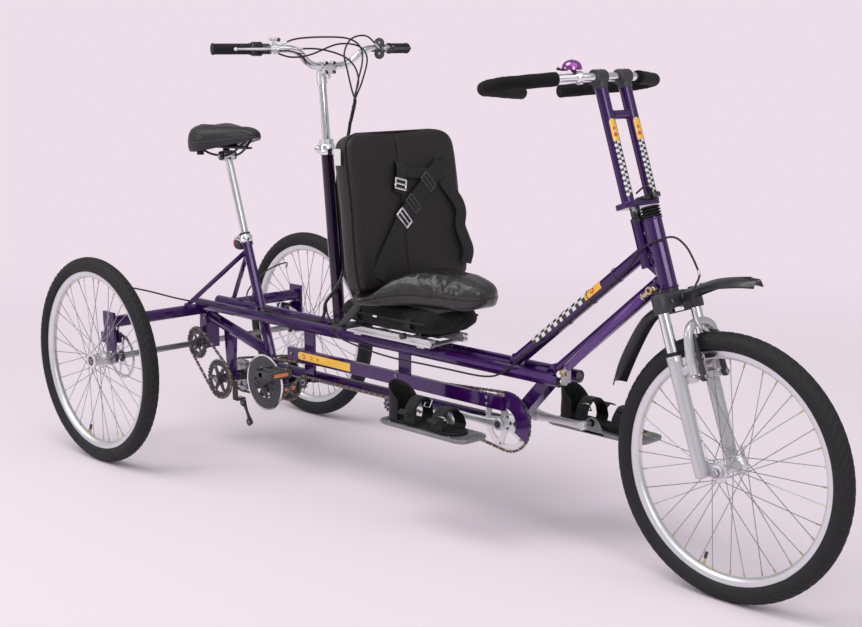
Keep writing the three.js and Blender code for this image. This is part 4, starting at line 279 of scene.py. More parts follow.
def make_dust() -> None:
    """Dust that settles on faces that look up."""
    tree, entry, leave = new_group(Effect.DUST, ["Amount"], ["Mask"])
    up = tree.add("SeparateXYZ", {"Vector": tree.add("NewGeometry").outputs["Normal"]}).outputs["Z"]
    patches = tree.add("TexNoise", {"Vector": tree.place(), "Scale": 60.0, "Detail": 8.0})
    settled = tree.maths("MULTIPLY", tree.ramp(up, 0.1, 1.0), tree.ramp(patches.outputs["Fac"], 0.35, 0.7))
    tree.join(tree.maths("MULTIPLY", settled, entry.outputs["Amount"]), leave.inputs["Mask"])


def make_effects() -> None:
    """Builds every shared node group once."""
    for make in (make_mottle, make_grain, make_leather, make_weave, make_brushed, make_wear, make_dust):
        make()


# Finishes

COAT_ROUGHNESS = 0.06
ROUGHNESS_SPREAD = 0.14
LEAST_ROUGHNESS = 0.02
DUST_COLOUR = (0.32, 0.3, 0.29, 1)


@dataclass(frozen=True)
class Finish:
    """A surface: its colours, how it shines and the effects that break it up.

    Attributes:
        name: Name of the material.
        colour: Main colour, linear.
        second: Colour that the mottle moves towards.
        roughness: How matt it is.
        metallic: 1 for bare metal.
        coat: Weight of the clear coat.
        mottle_scale: Size of the clouds, larger for smaller clouds.
        mottle: How far the mottle goes towards the second colour.
        relief: The effect that gives its bump.
        relief_scale: Scale of the bump's pattern.
        relief_depth: Height of the bump, in metres.
        wear: Amount of edge wear.
        worn: Colour of a worn edge.
        dust: Amount of dust.
        sheen: Weight of the cloth sheen.
        specular: How strongly a plain surface mirrors.
    """

    name: str
    colour: Colour
    second: Colour
    roughness: float
    metallic: float = 0.0
    coat: float = 0.0
    mottle_scale: float = 14.0
    mottle: float = 0.5
    relief: Effect = Effect.GRAIN
    relief_scale: float = 900.0
    relief_depth: float = 0.0001
    wear: float = 0.0
    worn: Colour = (0.4, 0.4, 0.4)
    dust: float = 0.0
    sheen: float = 0.0
    specular: float = 0.5

    def group(self, tree: Tree, effect: Effect, **values: object) -> bpy.types.Node:
        """Places one of the shared groups in this finish's material.

        Args:
            tree: The material's tree.
            effect: Which group it is.
            values: Inputs of the group, with _ for a space in a name.

        Returns:
            The group's node.
        """
        node = tree.add("Group", node_tree=bpy.data.node_groups[effect.value])
        for name, value in values.items():
            tree.join(value, node.inputs[name.replace("_", " ")])
        return node

    def material(self) -> bpy.types.Material:
        """Builds the material, or returns the one that is already there."""
        if self.name in bpy.data.materials:
            return bpy.data.materials[self.name]
        material = bpy.data.materials.new(self.name)
        material.use_nodes = True
        material.node_tree.nodes.clear()
        tree = Tree(material.node_tree)
        shader = tree.add("BsdfPrincipled")
        for socket, value in {
            "Metallic": self.metallic, "Coat Weight": self.coat, "Coat Roughness": COAT_ROUGHNESS,
            "Sheen Weight": self.sheen, "Specular IOR Level": self.specular,
        }.items():
            shader.inputs[socket].default_value = value
        clouds = self.group(
            tree, Effect.MOTTLE, Colour=(*self.colour, 1), Second_Colour=(*self.second, 1),
            Scale=self.mottle_scale, Amount=self.mottle,
        )
        colour = clouds.outputs["Colour"]
        if self.wear:
            worn = self.group(tree, Effect.WEAR, Amount=self.wear)
            colour = tree.blend(worn.outputs["Mask"], colour, (*self.worn, 1))
        if self.dust:
            dusty = self.group(tree, Effect.DUST, Amount=self.dust)
            colour = tree.blend(dusty.outputs["Mask"], colour, DUST_COLOUR)
        tree.join(colour, shader.inputs["Base Color"])
        relief = self.group(tree, self.relief, Scale=self.relief_scale)
        rough_low = max(self.roughness - ROUGHNESS_SPREAD / 2, LEAST_ROUGHNESS)
        spread = relief.outputs["Roughness"] if self.relief is Effect.BRUSHED else clouds.outputs["Mask"]
        varied = tree.maths("ADD", tree.maths("MULTIPLY", spread, ROUGHNESS_SPREAD), rough_low)
        tree.join(varied, shader.inputs["Roughness"])
        bump = tree.add("Bump", {"Height": relief.outputs["Height"], "Distance": self.relief_depth})
        tree.join(bump.outputs["Normal"], shader.inputs["Normal"])
        output = tree.add("OutputMaterial")
        tree.join(shader.outputs["BSDF"], output.inputs["Surface"])
        return material


PAINT_RELIEF = {"relief_scale": 420.0, "relief_depth": 0.00002}
PRINT_RELIEF = {"relief_scale": 500.0, "relief_depth": 0.00002}
REFLECTOR_GLASS = {
    "coat": 1.0, "mottle_scale": 220.0, "mottle": 0.9, "relief": Effect.LEATHER, "relief_scale": 420.0,
    "relief_depth": 0.0004,
}
VIOLET = Finish(
    "violet_paint", (0.034, 0.0018, 0.084), (0.048, 0.003, 0.118), 0.2, metallic=0.25, coat=0.7, specular=0.3,
    **PAINT_RELIEF, wear=0.05, worn=(0.14, 0.08, 0.22), dust=0.006,
)
# The frame's violet paint darkened: painted shade for the captain's column.
SHADED_VIOLET = Finish(
    "shaded_violet_paint", (0.012, 0.0035, 0.022), (0.02, 0.005, 0.036), 0.2, metallic=0.15, coat=0.6,
    specular=0.3, **PAINT_RELIEF, wear=0.05, worn=(0.1, 0.07, 0.14), dust=0.004,
)
# The frame's violet paint lightened: painted light for the steering rod.
LIT_VIOLET = Finish(
    "lit_violet_paint", (0.085, 0.02, 0.19), (0.12, 0.036, 0.24), 0.2, metallic=0.25, coat=0.8,
    specular=0.3, **PAINT_RELIEF, dust=0.01,
)
BLACK_PAINT = Finish(
    "black_paint", (0.006, 0.006, 0.007), (0.012, 0.012, 0.014), 0.36, coat=0.25, specular=0.35,
    relief_scale=700.0, relief_depth=0.00005, wear=0.25, worn=(0.09, 0.09, 0.095), dust=0.01,
)
BLACK_PLASTIC = Finish(
    "black_plastic", (0.007, 0.007, 0.008), (0.015, 0.015, 0.016), 0.5, specular=0.3,
    relief_scale=1400.0, relief_depth=0.00012, wear=0.2, worn=(0.05, 0.05, 0.055), dust=0.012,
)
GUARD_PLASTIC = Finish(
    "mudguard_plastic", (0.012, 0.012, 0.014), (0.024, 0.024, 0.027), 0.32, coat=0.25, specular=0.4,
    relief_scale=300.0, relief_depth=0.00008, wear=0.25, worn=(0.07, 0.07, 0.075), dust=0.02,
)
TYRE_RUBBER = Finish(
    "tyre_rubber", (0.010, 0.010, 0.011), (0.022, 0.0215, 0.022), 0.68, mottle_scale=30.0, specular=0.35,
    relief_scale=1100.0, relief_depth=0.0002, wear=0.4, worn=(0.045, 0.045, 0.045), dust=0.02,
)
GRIP_RUBBER = Finish(
    "grip_rubber", (0.007, 0.007, 0.0075), (0.014, 0.014, 0.015), 0.6, specular=0.3,
    relief_scale=1600.0, relief_depth=0.00018, wear=0.25, worn=(0.04, 0.04, 0.045), dust=0.01,
)
FOAM = Finish(
    "foam", (0.006, 0.006, 0.0065), (0.012, 0.012, 0.013), 0.85, specular=0.2,
    relief_scale=2200.0, relief_depth=0.0004, sheen=0.03, dust=0.01,
)
SEAT_VINYL = Finish(
    "seat_vinyl", (0.010, 0.0085, 0.009), (0.018, 0.0155, 0.016), 0.27, coat=0.45, mottle_scale=9.0,
    relief=Effect.LEATHER, relief_scale=620.0, relief_depth=0.00022, wear=0.2, worn=(0.04, 0.038, 0.04),
)
BACK_VINYL = Finish(
    "backrest_vinyl", (0.0105, 0.0078, 0.0068), (0.019, 0.0145, 0.0125), 0.42, coat=0.06, mottle_scale=7.0,
    specular=0.4,
    relief=Effect.LEATHER, relief_scale=620.0, relief_depth=0.00025, wear=0.2, worn=(0.04, 0.035, 0.033),
)
SADDLE_SKIN = Finish(
    "saddle_skin", (0.010, 0.010, 0.011), (0.022, 0.0215, 0.0225), 0.36, coat=0.15, specular=0.4,
    relief=Effect.LEATHER, relief_scale=900.0, relief_depth=0.00015, wear=0.25, worn=(0.06, 0.06, 0.06),
)
BAG_CLOTH = Finish(
    "bag_cloth", (0.0055, 0.0055, 0.006), (0.012, 0.012, 0.013), 0.8, mottle_scale=20.0, specular=0.25,
    relief=Effect.WEAVE, relief_scale=700.0, relief_depth=0.0003, sheen=0.06, dust=0.01,
)
WEBBING = Finish(
    "webbing", (0.0075, 0.0075, 0.008), (0.017, 0.017, 0.018), 0.62, mottle_scale=40.0, specular=0.35,
    relief=Effect.WEAVE, relief_scale=520.0, relief_depth=0.0004, sheen=0.08, wear=0.3,
    worn=(0.05, 0.05, 0.05),
)
STEEL = Finish(
    "bare_steel", (0.42, 0.42, 0.44), (0.3, 0.3, 0.32), 0.3, metallic=1.0,
    relief=Effect.BRUSHED, relief_scale=500.0, relief_depth=0.00004, dust=0.05,
)
CHROME = Finish(
    "chrome", (0.78, 0.79, 0.81), (0.66, 0.67, 0.7), 0.1, metallic=1.0, mottle=0.3,
    relief=Effect.BRUSHED, relief_scale=300.0, relief_depth=0.00001,
)
ALLOY = Finish(
    "alloy", (0.6, 0.6, 0.62), (0.46, 0.46, 0.48), 0.32, metallic=1.0,
    relief=Effect.BRUSHED, relief_scale=420.0, relief_depth=0.00005, dust=0.04,
)
FORK_SILVER = Finish(
    "silver_paint", (0.58, 0.575, 0.6), (0.5, 0.49, 0.53), 0.26, metallic=0.35, coat=0.7,
    relief_scale=600.0, relief_depth=0.00003, wear=0.2, worn=(0.3, 0.3, 0.3), dust=0.06,
)
PLATE_GREY = Finish(
    "plate_grey", (0.2, 0.205, 0.22), (0.28, 0.285, 0.3), 0.42, metallic=0.6,
    relief=Effect.BRUSHED, relief_scale=380.0, relief_depth=0.00006, wear=0.3, worn=(0.5, 0.5, 0.52),
    dust=0.1,
)
CHAIN = Finish(
    "chain_steel", (0.16, 0.115, 0.062), (0.30, 0.235, 0.15), 0.34, metallic=1.0, mottle_scale=60.0,
    relief=Effect.BRUSHED, relief_scale=900.0, relief_depth=0.00005,
)
DARK_STEEL = Finish(
    "dark_steel", (0.03, 0.03, 0.033), (0.075, 0.075, 0.08), 0.36, metallic=0.9, mottle_scale=50.0,
    relief=Effect.BRUSHED, relief_scale=700.0, relief_depth=0.00006, wear=0.6, worn=(0.45, 0.45, 0.46),
)
BRASS = Finish(
    "brass", (0.62, 0.5, 0.27), (0.5, 0.4, 0.24), 0.3, metallic=0.9,
    relief=Effect.BRUSHED, relief_scale=600.0, relief_depth=0.00004,
)
CABLE_SLEEVE = Finish(
    "cable_sleeve", (0.006, 0.006, 0.0065), (0.012, 0.012, 0.013), 0.38,
    relief_scale=1500.0, relief_depth=0.00004,
)
YELLOW_DECAL = Finish(
    "yellow_decal", (0.87, 0.52, 0.045), (0.9, 0.6, 0.09), 0.32, coat=0.5, **PRINT_RELIEF, dust=0.05,
)
WHITE_DECAL = Finish(
    "white_decal", (0.78, 0.77, 0.76), (0.68, 0.67, 0.66), 0.35, coat=0.4, **PRINT_RELIEF, dust=0.06,
)
DARK_DECAL = Finish(
    "dark_decal", (0.014, 0.013, 0.016), (0.03, 0.028, 0.034), 0.32, coat=0.5, **PRINT_RELIEF,
)
DOT_RED = Finish(
    "dot_red", (0.62, 0.045, 0.02), (0.7, 0.09, 0.03), 0.3, coat=0.5, **PRINT_RELIEF,
)
AMBER_REFLECTOR = Finish(
    "amber_reflector", (0.85, 0.16, 0.01), (0.95, 0.3, 0.02), 0.12, **REFLECTOR_GLASS,
)
RED_REFLECTOR = Finish(
    "red_reflector", (0.5, 0.012, 0.01), (0.75, 0.03, 0.02), 0.12, **REFLECTOR_GLASS,
)
BELL_PURPLE = Finish(
    "bell_anodised", (0.36, 0.12, 0.42), (0.5, 0.2, 0.5), 0.16, metallic=1.0,
    relief=Effect.BRUSHED, relief_scale=300.0, relief_depth=0.00002,
)

NODE_FINISHES = {
    VIOLET: (
        "axle_beam", "axle_plate_left", "axle_plate_right", "top_rails", "rear_frame", "lower_tube",
        "side_beam",
        "front_frame",
    ),
    # The captain's column gets the darkened violet: painted shade.
    SHADED_VIOLET: ("captain_column",),
    BLACK_PAINT: ("seat_carriage",),
    STEEL: ("steer_push_rod",),
    ALLOY: ("captain_shaft",),
}


# Mesh making

CABLE_RADIUS = 0.0026
WELD_STEPS = 48
WELD_RIPPLE = 0.0006


def unit(vector: Vector) -> Vector:
    """Returns the vector at length one."""
    return vector.normalized()


def ray_at(angle: float) -> Vector:
    """Returns the direction at an angle in the side plane, counted from ahead towards up."""
    return Vector((math.cos(angle), 0, math.sin(angle)))


def run_at(line: Sequence[Vector], i: int) -> Vector:
    """Returns the direction of a line at one of its points."""
    return unit(line[min(i + 1, len(line) - 1)] - line[max(i - 1, 0)])


def metres(outline: Iterable[tuple[float, float]]) -> list[tuple[float, float]]:
    """Returns an outline in metres from one in millimetres."""
    return [(first / MM_PER_METRE, second / MM_PER_METRE) for first, second in outline]


def mirrored(half: Sequence[tuple[float, float]]) -> list[tuple[float, float]]:
    """Returns an outline whose second half repeats the first with the second number's sign changed."""
    back = [(first, -second) for first, second in reversed(half)]
    return [*half, *(back[1:] if half[-1][1] == 0 else back)]


def squared_ring(centre: Vector, across: Vector, deep: Vector, power: float, sides: int) -> list[Vector]:
    """Returns a round ring drawn out towards a square.

    Args:
        centre: Middle of the ring.
        across: Half of its first width, as a vector.
        deep: Half of its second width, as a vector.
        power: 1 for an ellipse, less for squarer corners.
        sides: Number of points.

    Returns:
        The ring's points.
    """
    ring = []
    for step in range(sides):
        angle = FULL_TURN * step / sides
        c, s = math.cos(angle), math.sin(angle)
        ring.append(centre + across * math.copysign(abs(c) ** power, c)
                    + deep * math.copysign(abs(s) ** power, s))
    return ring


def cross_pair(along: Vector) -> tuple[Vector, Vector]:
    """Returns two directions square to a direction and to each other.

    Args:
        along: The direction.

    Returns:
        The two directions.
    """
    helper = Z_AXIS if abs(along.z) < 0.9 else X_AXIS
    first = unit(helper.cross(along))
    return first, along.cross(first)


def smooth_line(points: Iterable[Point], steps: int = 6) -> list[Vector]:
    """Runs a smooth curve through points.

    Args:
        points: The points that the curve passes through.
        steps: Pieces between two neighbouring points.

    Returns:
        Points along the curve, ends included.
    """
    line = [Vector(p) for p in points]
    padded = [2 * line[0] - line[1], *line, 2 * line[-1] - line[-2]]
    curve = []
    for before, start, end, after in zip(padded, padded[1:], padded[2:], padded[3:]):
        for step in range(steps):
            t = step / steps
            curve.append(0.5 * (
                2 * start + (end - before) * t + (2 * before - 5 * start + 4 * end - after) * t * t
                + (3 * start - before - 3 * end + after) * t ** 3
            ))
    return [*curve, line[-1]]


def rounded_line(points: Sequence[Point], radius: float, steps: int = 8) -> list[Vector]:
    """Returns straight runs with each corner rounded by a curve that starts at radius from it.

    Args:
        points: Corners of the line, ends included.
        radius: Where a curve starts before its corner.
        steps: Pieces in each curve.

    Returns:
        Points along the line.
    """
    line = [Vector(p) for p in points]
    path = [line[0]]
    for before, corner, after in zip(line, line[1:], line[2:]):
        back = corner + unit(before - corner) * radius
        ahead = corner + unit(after - corner) * radius
        for step in range(steps + 1):
            t = step / steps
            path.append(back * (1 - t) ** 2 + corner * 2 * t * (1 - t) + ahead * t * t)
    return [*path, line[-1]]


def ring_points(centre: Vector, first: Vector, second: Vector, radius: float, sides: int) -> list[Vector]:
    """Returns the points of a circle spanned by two directions."""
    angles = [FULL_TURN * i / sides for i in range(sides)]
    return [centre + first * (radius * math.cos(a)) + second * (radius * math.sin(a)) for a in angles]


@dataclass
class Mould:
    """Gathers closed skins in several finishes and makes one piece of them.

    Attributes:
        name: Name of the piece.
        finish: Finish of the skins that are added next.
        points: Points of all skins so far.
        faces: Faces between them.
        face_finishes: Finish of each face.
    """

    name: str
    finish: Finish
    points: list[Vector] = field(default_factory=list)
    faces: list[tuple[int, ...]] = field(default_factory=list)
    face_finishes: list[Finish] = field(default_factory=list)

    def use(self, finish: Finish) -> "Mould":
        """Sets the finish of what is added next and returns the mould."""
        self.finish = finish
        return self

    def skin(self, points: Sequence[Vector], faces: Iterable[Sequence[int]]) -> "Mould":
        """Adds points and the faces between them.

        Args:
            points: The new points.
            faces: Faces, each as places in the list of points.

        Returns:
            The mould.
        """
        start = len(self.points)
        self.points.extend(points)
        for face in faces:
            self.faces.append(tuple(start + i for i in face))
            self.face_finishes.append(self.finish)
        return self

    def loft(self, rings: Sequence[Sequence[Vector]], capped: bool = True, looped: bool = False) -> "Mould":
        """Joins rings of equal count into one skin.

        Args:
            rings: Rings of points, one after the other.
            capped: Whether the two end rings are closed by a face.
            looped: Whether the last ring joins the first.

        Returns:
            The mould.
        """
        count = len(rings[0])
        faces = []
        for r in range(len(rings) if looped else len(rings) - 1):
            low, high = r * count, ((r + 1) % len(rings)) * count
            for i in range(count):
                j = (i + 1) % count
                faces.append((low + i, low + j, high + j, high + i))
        if capped and not looped:
            faces.append(tuple(reversed(range(count))))
            faces.append(tuple(range((len(rings) - 1) * count, len(rings) * count)))
        return self.skin([p for ring in rings for p in ring], faces)

    def tube(self, path: Sequence[Point], radius: float | Sequence[float], sides: int = 24,
             looped: bool = False) -> "Mould":
        """Sweeps a circle along a path without twisting it.

        Args:
            path: Centre points.
            radius: One radius, or one for each point.
            sides: Sides of the circle.
            looped: Whether the path closes on itself.

        Returns:
            The mould.
        """
        line = [Vector(p) for p in path]
        radii = [radius] * len(line) if isinstance(radius, (int, float)) else radius
        first = None
        rings = []
        for i, centre in enumerate(line):
            before = line[i - 1] if i or looped else centre
            after = line[(i + 1) % len(line)] if i + 1 < len(line) or looped else centre
            along = unit(after - before)
            if first is None:
                first, _ = cross_pair(along)
            first = unit(first - along * first.dot(along))
            rings.append(ring_points(centre, first, along.cross(first), radii[i], sides))
        return self.loft(rings, looped=looped)

    def rod(self, start: Point, end: Point, radius: float, sides: int = 32, edge: float = 0.0006) -> "Mould":
        """Adds a straight round bar whose end edges are eased.

        Args:
            start: Middle of one end.
            end: Middle of the other end.
            radius: Radius of the bar.
            sides: Sides of its section.
            edge: Size of the eased edge.

        Returns:
            The mould.
        """
        low, high = Vector(start), Vector(end)
        ease = unit(high - low) * edge
        path = [low, low + ease, high - ease, high]
        return self.tube(path, [radius - edge, radius, radius, radius - edge], sides)

    def turn(self, profile: Sequence[tuple[float, float]], centre: Point, axis: Vector,
             steps: int = 64) -> "Mould":
        """Turns a profile about an axis.

        Args:
            profile: Radius and distance along the axis of each point. A profile that starts and ends off the
                axis is closed on itself.
            centre: Where distance zero lies on the axis.
            axis: Direction of the axis.
            steps: Steps in a full turn.

        Returns:
            The mould.
        """
        middle, along = Vector(centre), unit(Vector(axis))
        first, second = cross_pair(along)
        rings = []
        for step in range(steps):
            angle = FULL_TURN * step / steps
            ray = first * math.cos(angle) + second * math.sin(angle)
            rings.append([middle + ray * max(radius, 1e-5) + along * reach for radius, reach in profile])
        return self.loft(rings, looped=True)

    def block(self, centre: Point, size: Point, turn: Matrix | None = None, edge: float = 0.0012) -> "Mould":
        """Adds a box whose edges and corners are eased.

        Args:
            centre: Middle of the box.
            size: Its three sides.
            turn: How it is turned, as a 3x3 matrix.
            edge: Size of the eased edge.

        Returns:
            The mould.
        """
        basis = turn or Matrix.Identity(3)
        half = [side / 2 for side in size]
        rings = []
        for reach, shrink in ((-half[2], edge), (-half[2] + edge, 0), (half[2] - edge, 0), (half[2], edge)):
            wide, deep = half[0] - shrink, half[1] - shrink
            corner = edge * 1.5
            outline = [
                (wide - corner, -deep), (wide, -deep + corner), (wide, deep - corner), (wide - corner, deep),
                (-wide + corner, deep), (-wide, deep - corner), (-wide, -deep + corner),
                (-wide + corner, -deep),
            ]
            rings.append([Vector(centre) + basis @ Vector((x, y, reach)) for x, y in outline])
        return self.loft(rings)

    def plate(self, outline: Sequence[tuple[float, float]], origin: Point, across: Point, up: Point,
              thickness: float, edge: float = 0.0008) -> "Mould":
        """Adds a flat plate with eased edges.

        Args:
            outline: Points of the outline, counted across and up from the origin.
            origin: Where the outline's zero lies, in the middle of the thickness.
            across: Direction of the first number.
            up: Direction of the second number.
            thickness: Thickness of the plate.
            edge: Size of the eased edge.

        Returns:
            The mould.
        """
        flat = [Vector(point) for point in outline]
        middle = sum(flat, Vector((0, 0))) / len(flat)
        first, second = unit(Vector(across)), unit(Vector(up))
        normal = first.cross(second)
        rings = []
        for reach, shrink in ((-0.5, edge), (-0.5, 0), (0.5, 0), (0.5, edge)):
            lift = reach * thickness - math.copysign(edge - shrink, reach)
            drawn = [p - (p - middle).normalized() * shrink for p in flat]
            rings.append([Vector(origin) + first * p.x + second * p.y + normal * lift for p in drawn])
        return self.loft(rings)

    def ball(self, centre: Point, radii: Point, turn: Matrix | None = None, steps: int = 20) -> "Mould":
        """Adds a rounded blob with three half sizes.

        Args:
            centre: Its middle.
            radii: Its three half sizes.
            turn: How it is turned, as a 3x3 matrix.
            steps: Steps from pole to pole.

        Returns:
            The mould.
        """
        basis = turn or Matrix.Identity(3)
        rings = []
        for i in range(1, steps):
            tilt = math.pi * i / steps
            rings.append([
                Vector(centre) + basis @ Vector((
                    radii[0] * math.sin(tilt) * math.cos(FULL_TURN * k / (2 * steps)),
                    radii[1] * math.sin(tilt) * math.sin(FULL_TURN * k / (2 * steps)),
                    radii[2] * math.cos(tilt),
                )) for k in range(2 * steps)
            ])
        return self.loft(rings)

    def bolt(self, centre: Point, axis: Point, radius: float, height: float) -> "Mould":
        """Adds a socket-head bolt: a domed head with a six-sided recess.

        Args:
            centre: Middle of the head's foot.
            axis: Direction that the head looks.
            radius: Radius of the head.
            height: Height of the head.

        Returns:
            The mould.
        """
        along = unit(Vector(axis))
        self.turn([
            (radius * 0.46, height * 0.55), (radius * 0.5, height), (radius * 0.86, height),
            (radius, height * 0.78),
            (radius, 0), (radius * 0.46, 0),
        ], centre, along, 18)
        return self.turn([(0, 0), (radius * 0.5, 0), (radius * 0.5, height * 0.5), (0, height * 0.5)], centre,
                         along, 6)

    def weld(self, start: Point, end: Point, radius: float, other: float, bead: float = 0.0032) -> "Mould":
        """Adds the weld bead where a tube that runs from start to end meets another tube at start.

        Args:
            start: Where the two centre lines meet.
            end: Far end of the joining tube.
            radius: Radius of the joining tube.
            other: Radius of the tube that it stands on.
            bead: Radius of the bead.

        Returns:
            The mould.
        """
        along = unit(Vector(end) - Vector(start))
        first, second = cross_pair(along)
        path = []
        for step in range(WELD_STEPS):
            angle = FULL_TURN * step / WELD_STEPS
            ray = first * math.cos(angle) + second * math.sin(angle)
            ripple = WELD_RIPPLE * math.sin(angle * WELD_STEPS / 2)
            path.append(Vector(start) + along * (other + ripple) + ray * (radius + ripple / 2))
        return self.tube(path, bead, 8, looped=True)

    def build(self, body: str, slot: str | None = None, replaces: Sequence[str] = (), sharp: float = 38.0,
              rounds: int = 0) -> bpy.types.Object:
        """Makes the piece, lets it ride on its body and reports it.

        Args:
            body: Body that it moves with.
            slot: The record's material slot; not used.
            replaces: Solids that it stands for.
            sharp: Edges that turn by more than this many degrees stay sharp.
            rounds: Levels of subdivision.

        Returns:
            The new object.
        """
        mesh = bpy.data.meshes.new(self.name)
        mesh.from_pydata(self.points, [], self.faces)
        finishes = list(dict.fromkeys(self.face_finishes))
        for finish in finishes:
            mesh.materials.append(finish.material())
        numbers = {finish: i for i, finish in enumerate(finishes)}
        mesh.polygons.foreach_set("material_index", [numbers[finish] for finish in self.face_finishes])
        rebuilt = bmesh.new()
        rebuilt.from_mesh(mesh)
        bmesh.ops.recalc_face_normals(rebuilt, faces=rebuilt.faces)
        rebuilt.to_mesh(mesh)
        rebuilt.free()
        mesh.polygons.foreach_set("use_smooth", [True] * len(mesh.polygons))
        mesh.set_sharp_from_angle(angle=math.radians(sharp))
        piece = bpy.data.objects.new(self.name, mesh)
        bpy.context.scene.collection.objects.link(piece)
        if rounds:
            soft = piece.modifiers.new("rounds", "SUBSURF")
            soft.levels = soft.render_levels = rounds
        return settle(piece, body, replaces)


def settle(piece: bpy.types.Object, body: str,
           replaces: Sequence[str] = ()) -> bpy.types.Object:
    """Lets a piece ride on its body and its solids, and reports it.

    Args:
        piece: The new object.
        body: Body that it moves with.
        replaces: Solids that it stands for.

    Returns:
        The same object.
    """
    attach(piece, body)
    if replaces:
        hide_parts(*replaces)
    LOG.info("%s rides on %s, %d faces", piece.name, body, len(getattr(piece.data, "polygons", ())))
    return piece


def dress(name: str, finish: Finish, sharp: float = 48.0) -> None:
    """Gives a carried-over solid its finish and smooth shading, with its shape untouched.

    Args:
        name: The solid's node.
        finish: Finish that it gets.
        sharp: Edges that turn by more than this many degrees stay sharp.
    """
    solid = NODES[name]
    solid.data.materials.clear()
    solid.data.materials.append(finish.material())
    solid.data.polygons.foreach_set("use_smooth", [True] * len(solid.data.polygons))
    solid.data.set_sharp_from_angle(angle=math.radians(sharp))


def wrapped(mould: Mould, start: Vector, end: Vector, radius: float, facing: Vector, half_turn: float,
            rounded: tuple[bool, bool] = (False, False)) -> Mould:
    """Lays a thin printed skin over part of a tube.

    Args:
        mould: The piece that it is added to.
        start: Point on the tube's middle line where the skin starts.
        end: Point on the middle line where it ends.
        radius: Radius of the tube in metres.
        facing: Direction that the skin looks.
        half_turn: Half of the angle that it covers.
        rounded: Whether the start and the end are half round.

    Returns:
        The mould.
    """
    along, length = unit(end - start), (end - start).length
    out = unit(facing - along * facing.dot(along))
    side = along.cross(out)
    bow = half_turn * radius
    stops = sorted({0.0, length, *([bow * (1 - math.cos(math.pi * i / 14)) for i in range(1, 8)] if rounded[0]
                                   else []),
                    *([length - bow * (1 - math.cos(math.pi * i / 14)) for i in range(1, 8)] if rounded[1]
                      else [])})
    rings = []
    for stop in stops:
        share = 1.0
        for is_round, reach in ((rounded[0], stop), (rounded[1], length - stop)):
            if is_round and reach < bow:
                share = max(math.sqrt(max(1 - (1 - reach / bow) ** 2, 0.0)), 0.03)
        turns = [half_turn * share * (-1 + i / 5) for i in range(11)]
        centre = start + along * stop
        outer = [centre + (out * math.cos(a) + side * math.sin(a)) * (radius + 0.0006) for a in turns]
        inner = [centre + (out * math.cos(a) + side * math.sin(a)) * (radius - 0.0004)
                 for a in reversed(turns)]
        rings.append(outer + inner)
    return mould.loft(rings)


def checked(mould: Mould, start: Vector, end: Vector, radius: float, facing: Vector, half_turn: float,
            count: int) -> None:
    """Lays two rows of dark and white checks along a tube.

    Args:
        mould: Piece that it is added to.
        start: Point on the tube's middle line where the checks start.
        end: Point on it where they end.
        radius: Radius of the tube.
        facing: Direction that they look.
        half_turn: Half of the angle that they cover.
        count: Checks in a row.
    """
    along = unit(end - start)
    out = unit(facing - along * facing.dot(along))
    side = along.cross(out)
    for row in (0, 1):
        lean = half_turn * (row - 0.5)
        look = out * math.cos(lean) + side * math.sin(lean)
        for i in range(count):
            mould.use(DARK_DECAL if (i + row) % 2 else WHITE_DECAL)
            wrapped(mould, start.lerp(end, i / count), start.lerp(end, (i + 1) / count), radius, look,
                    half_turn / 2)


# Wheels


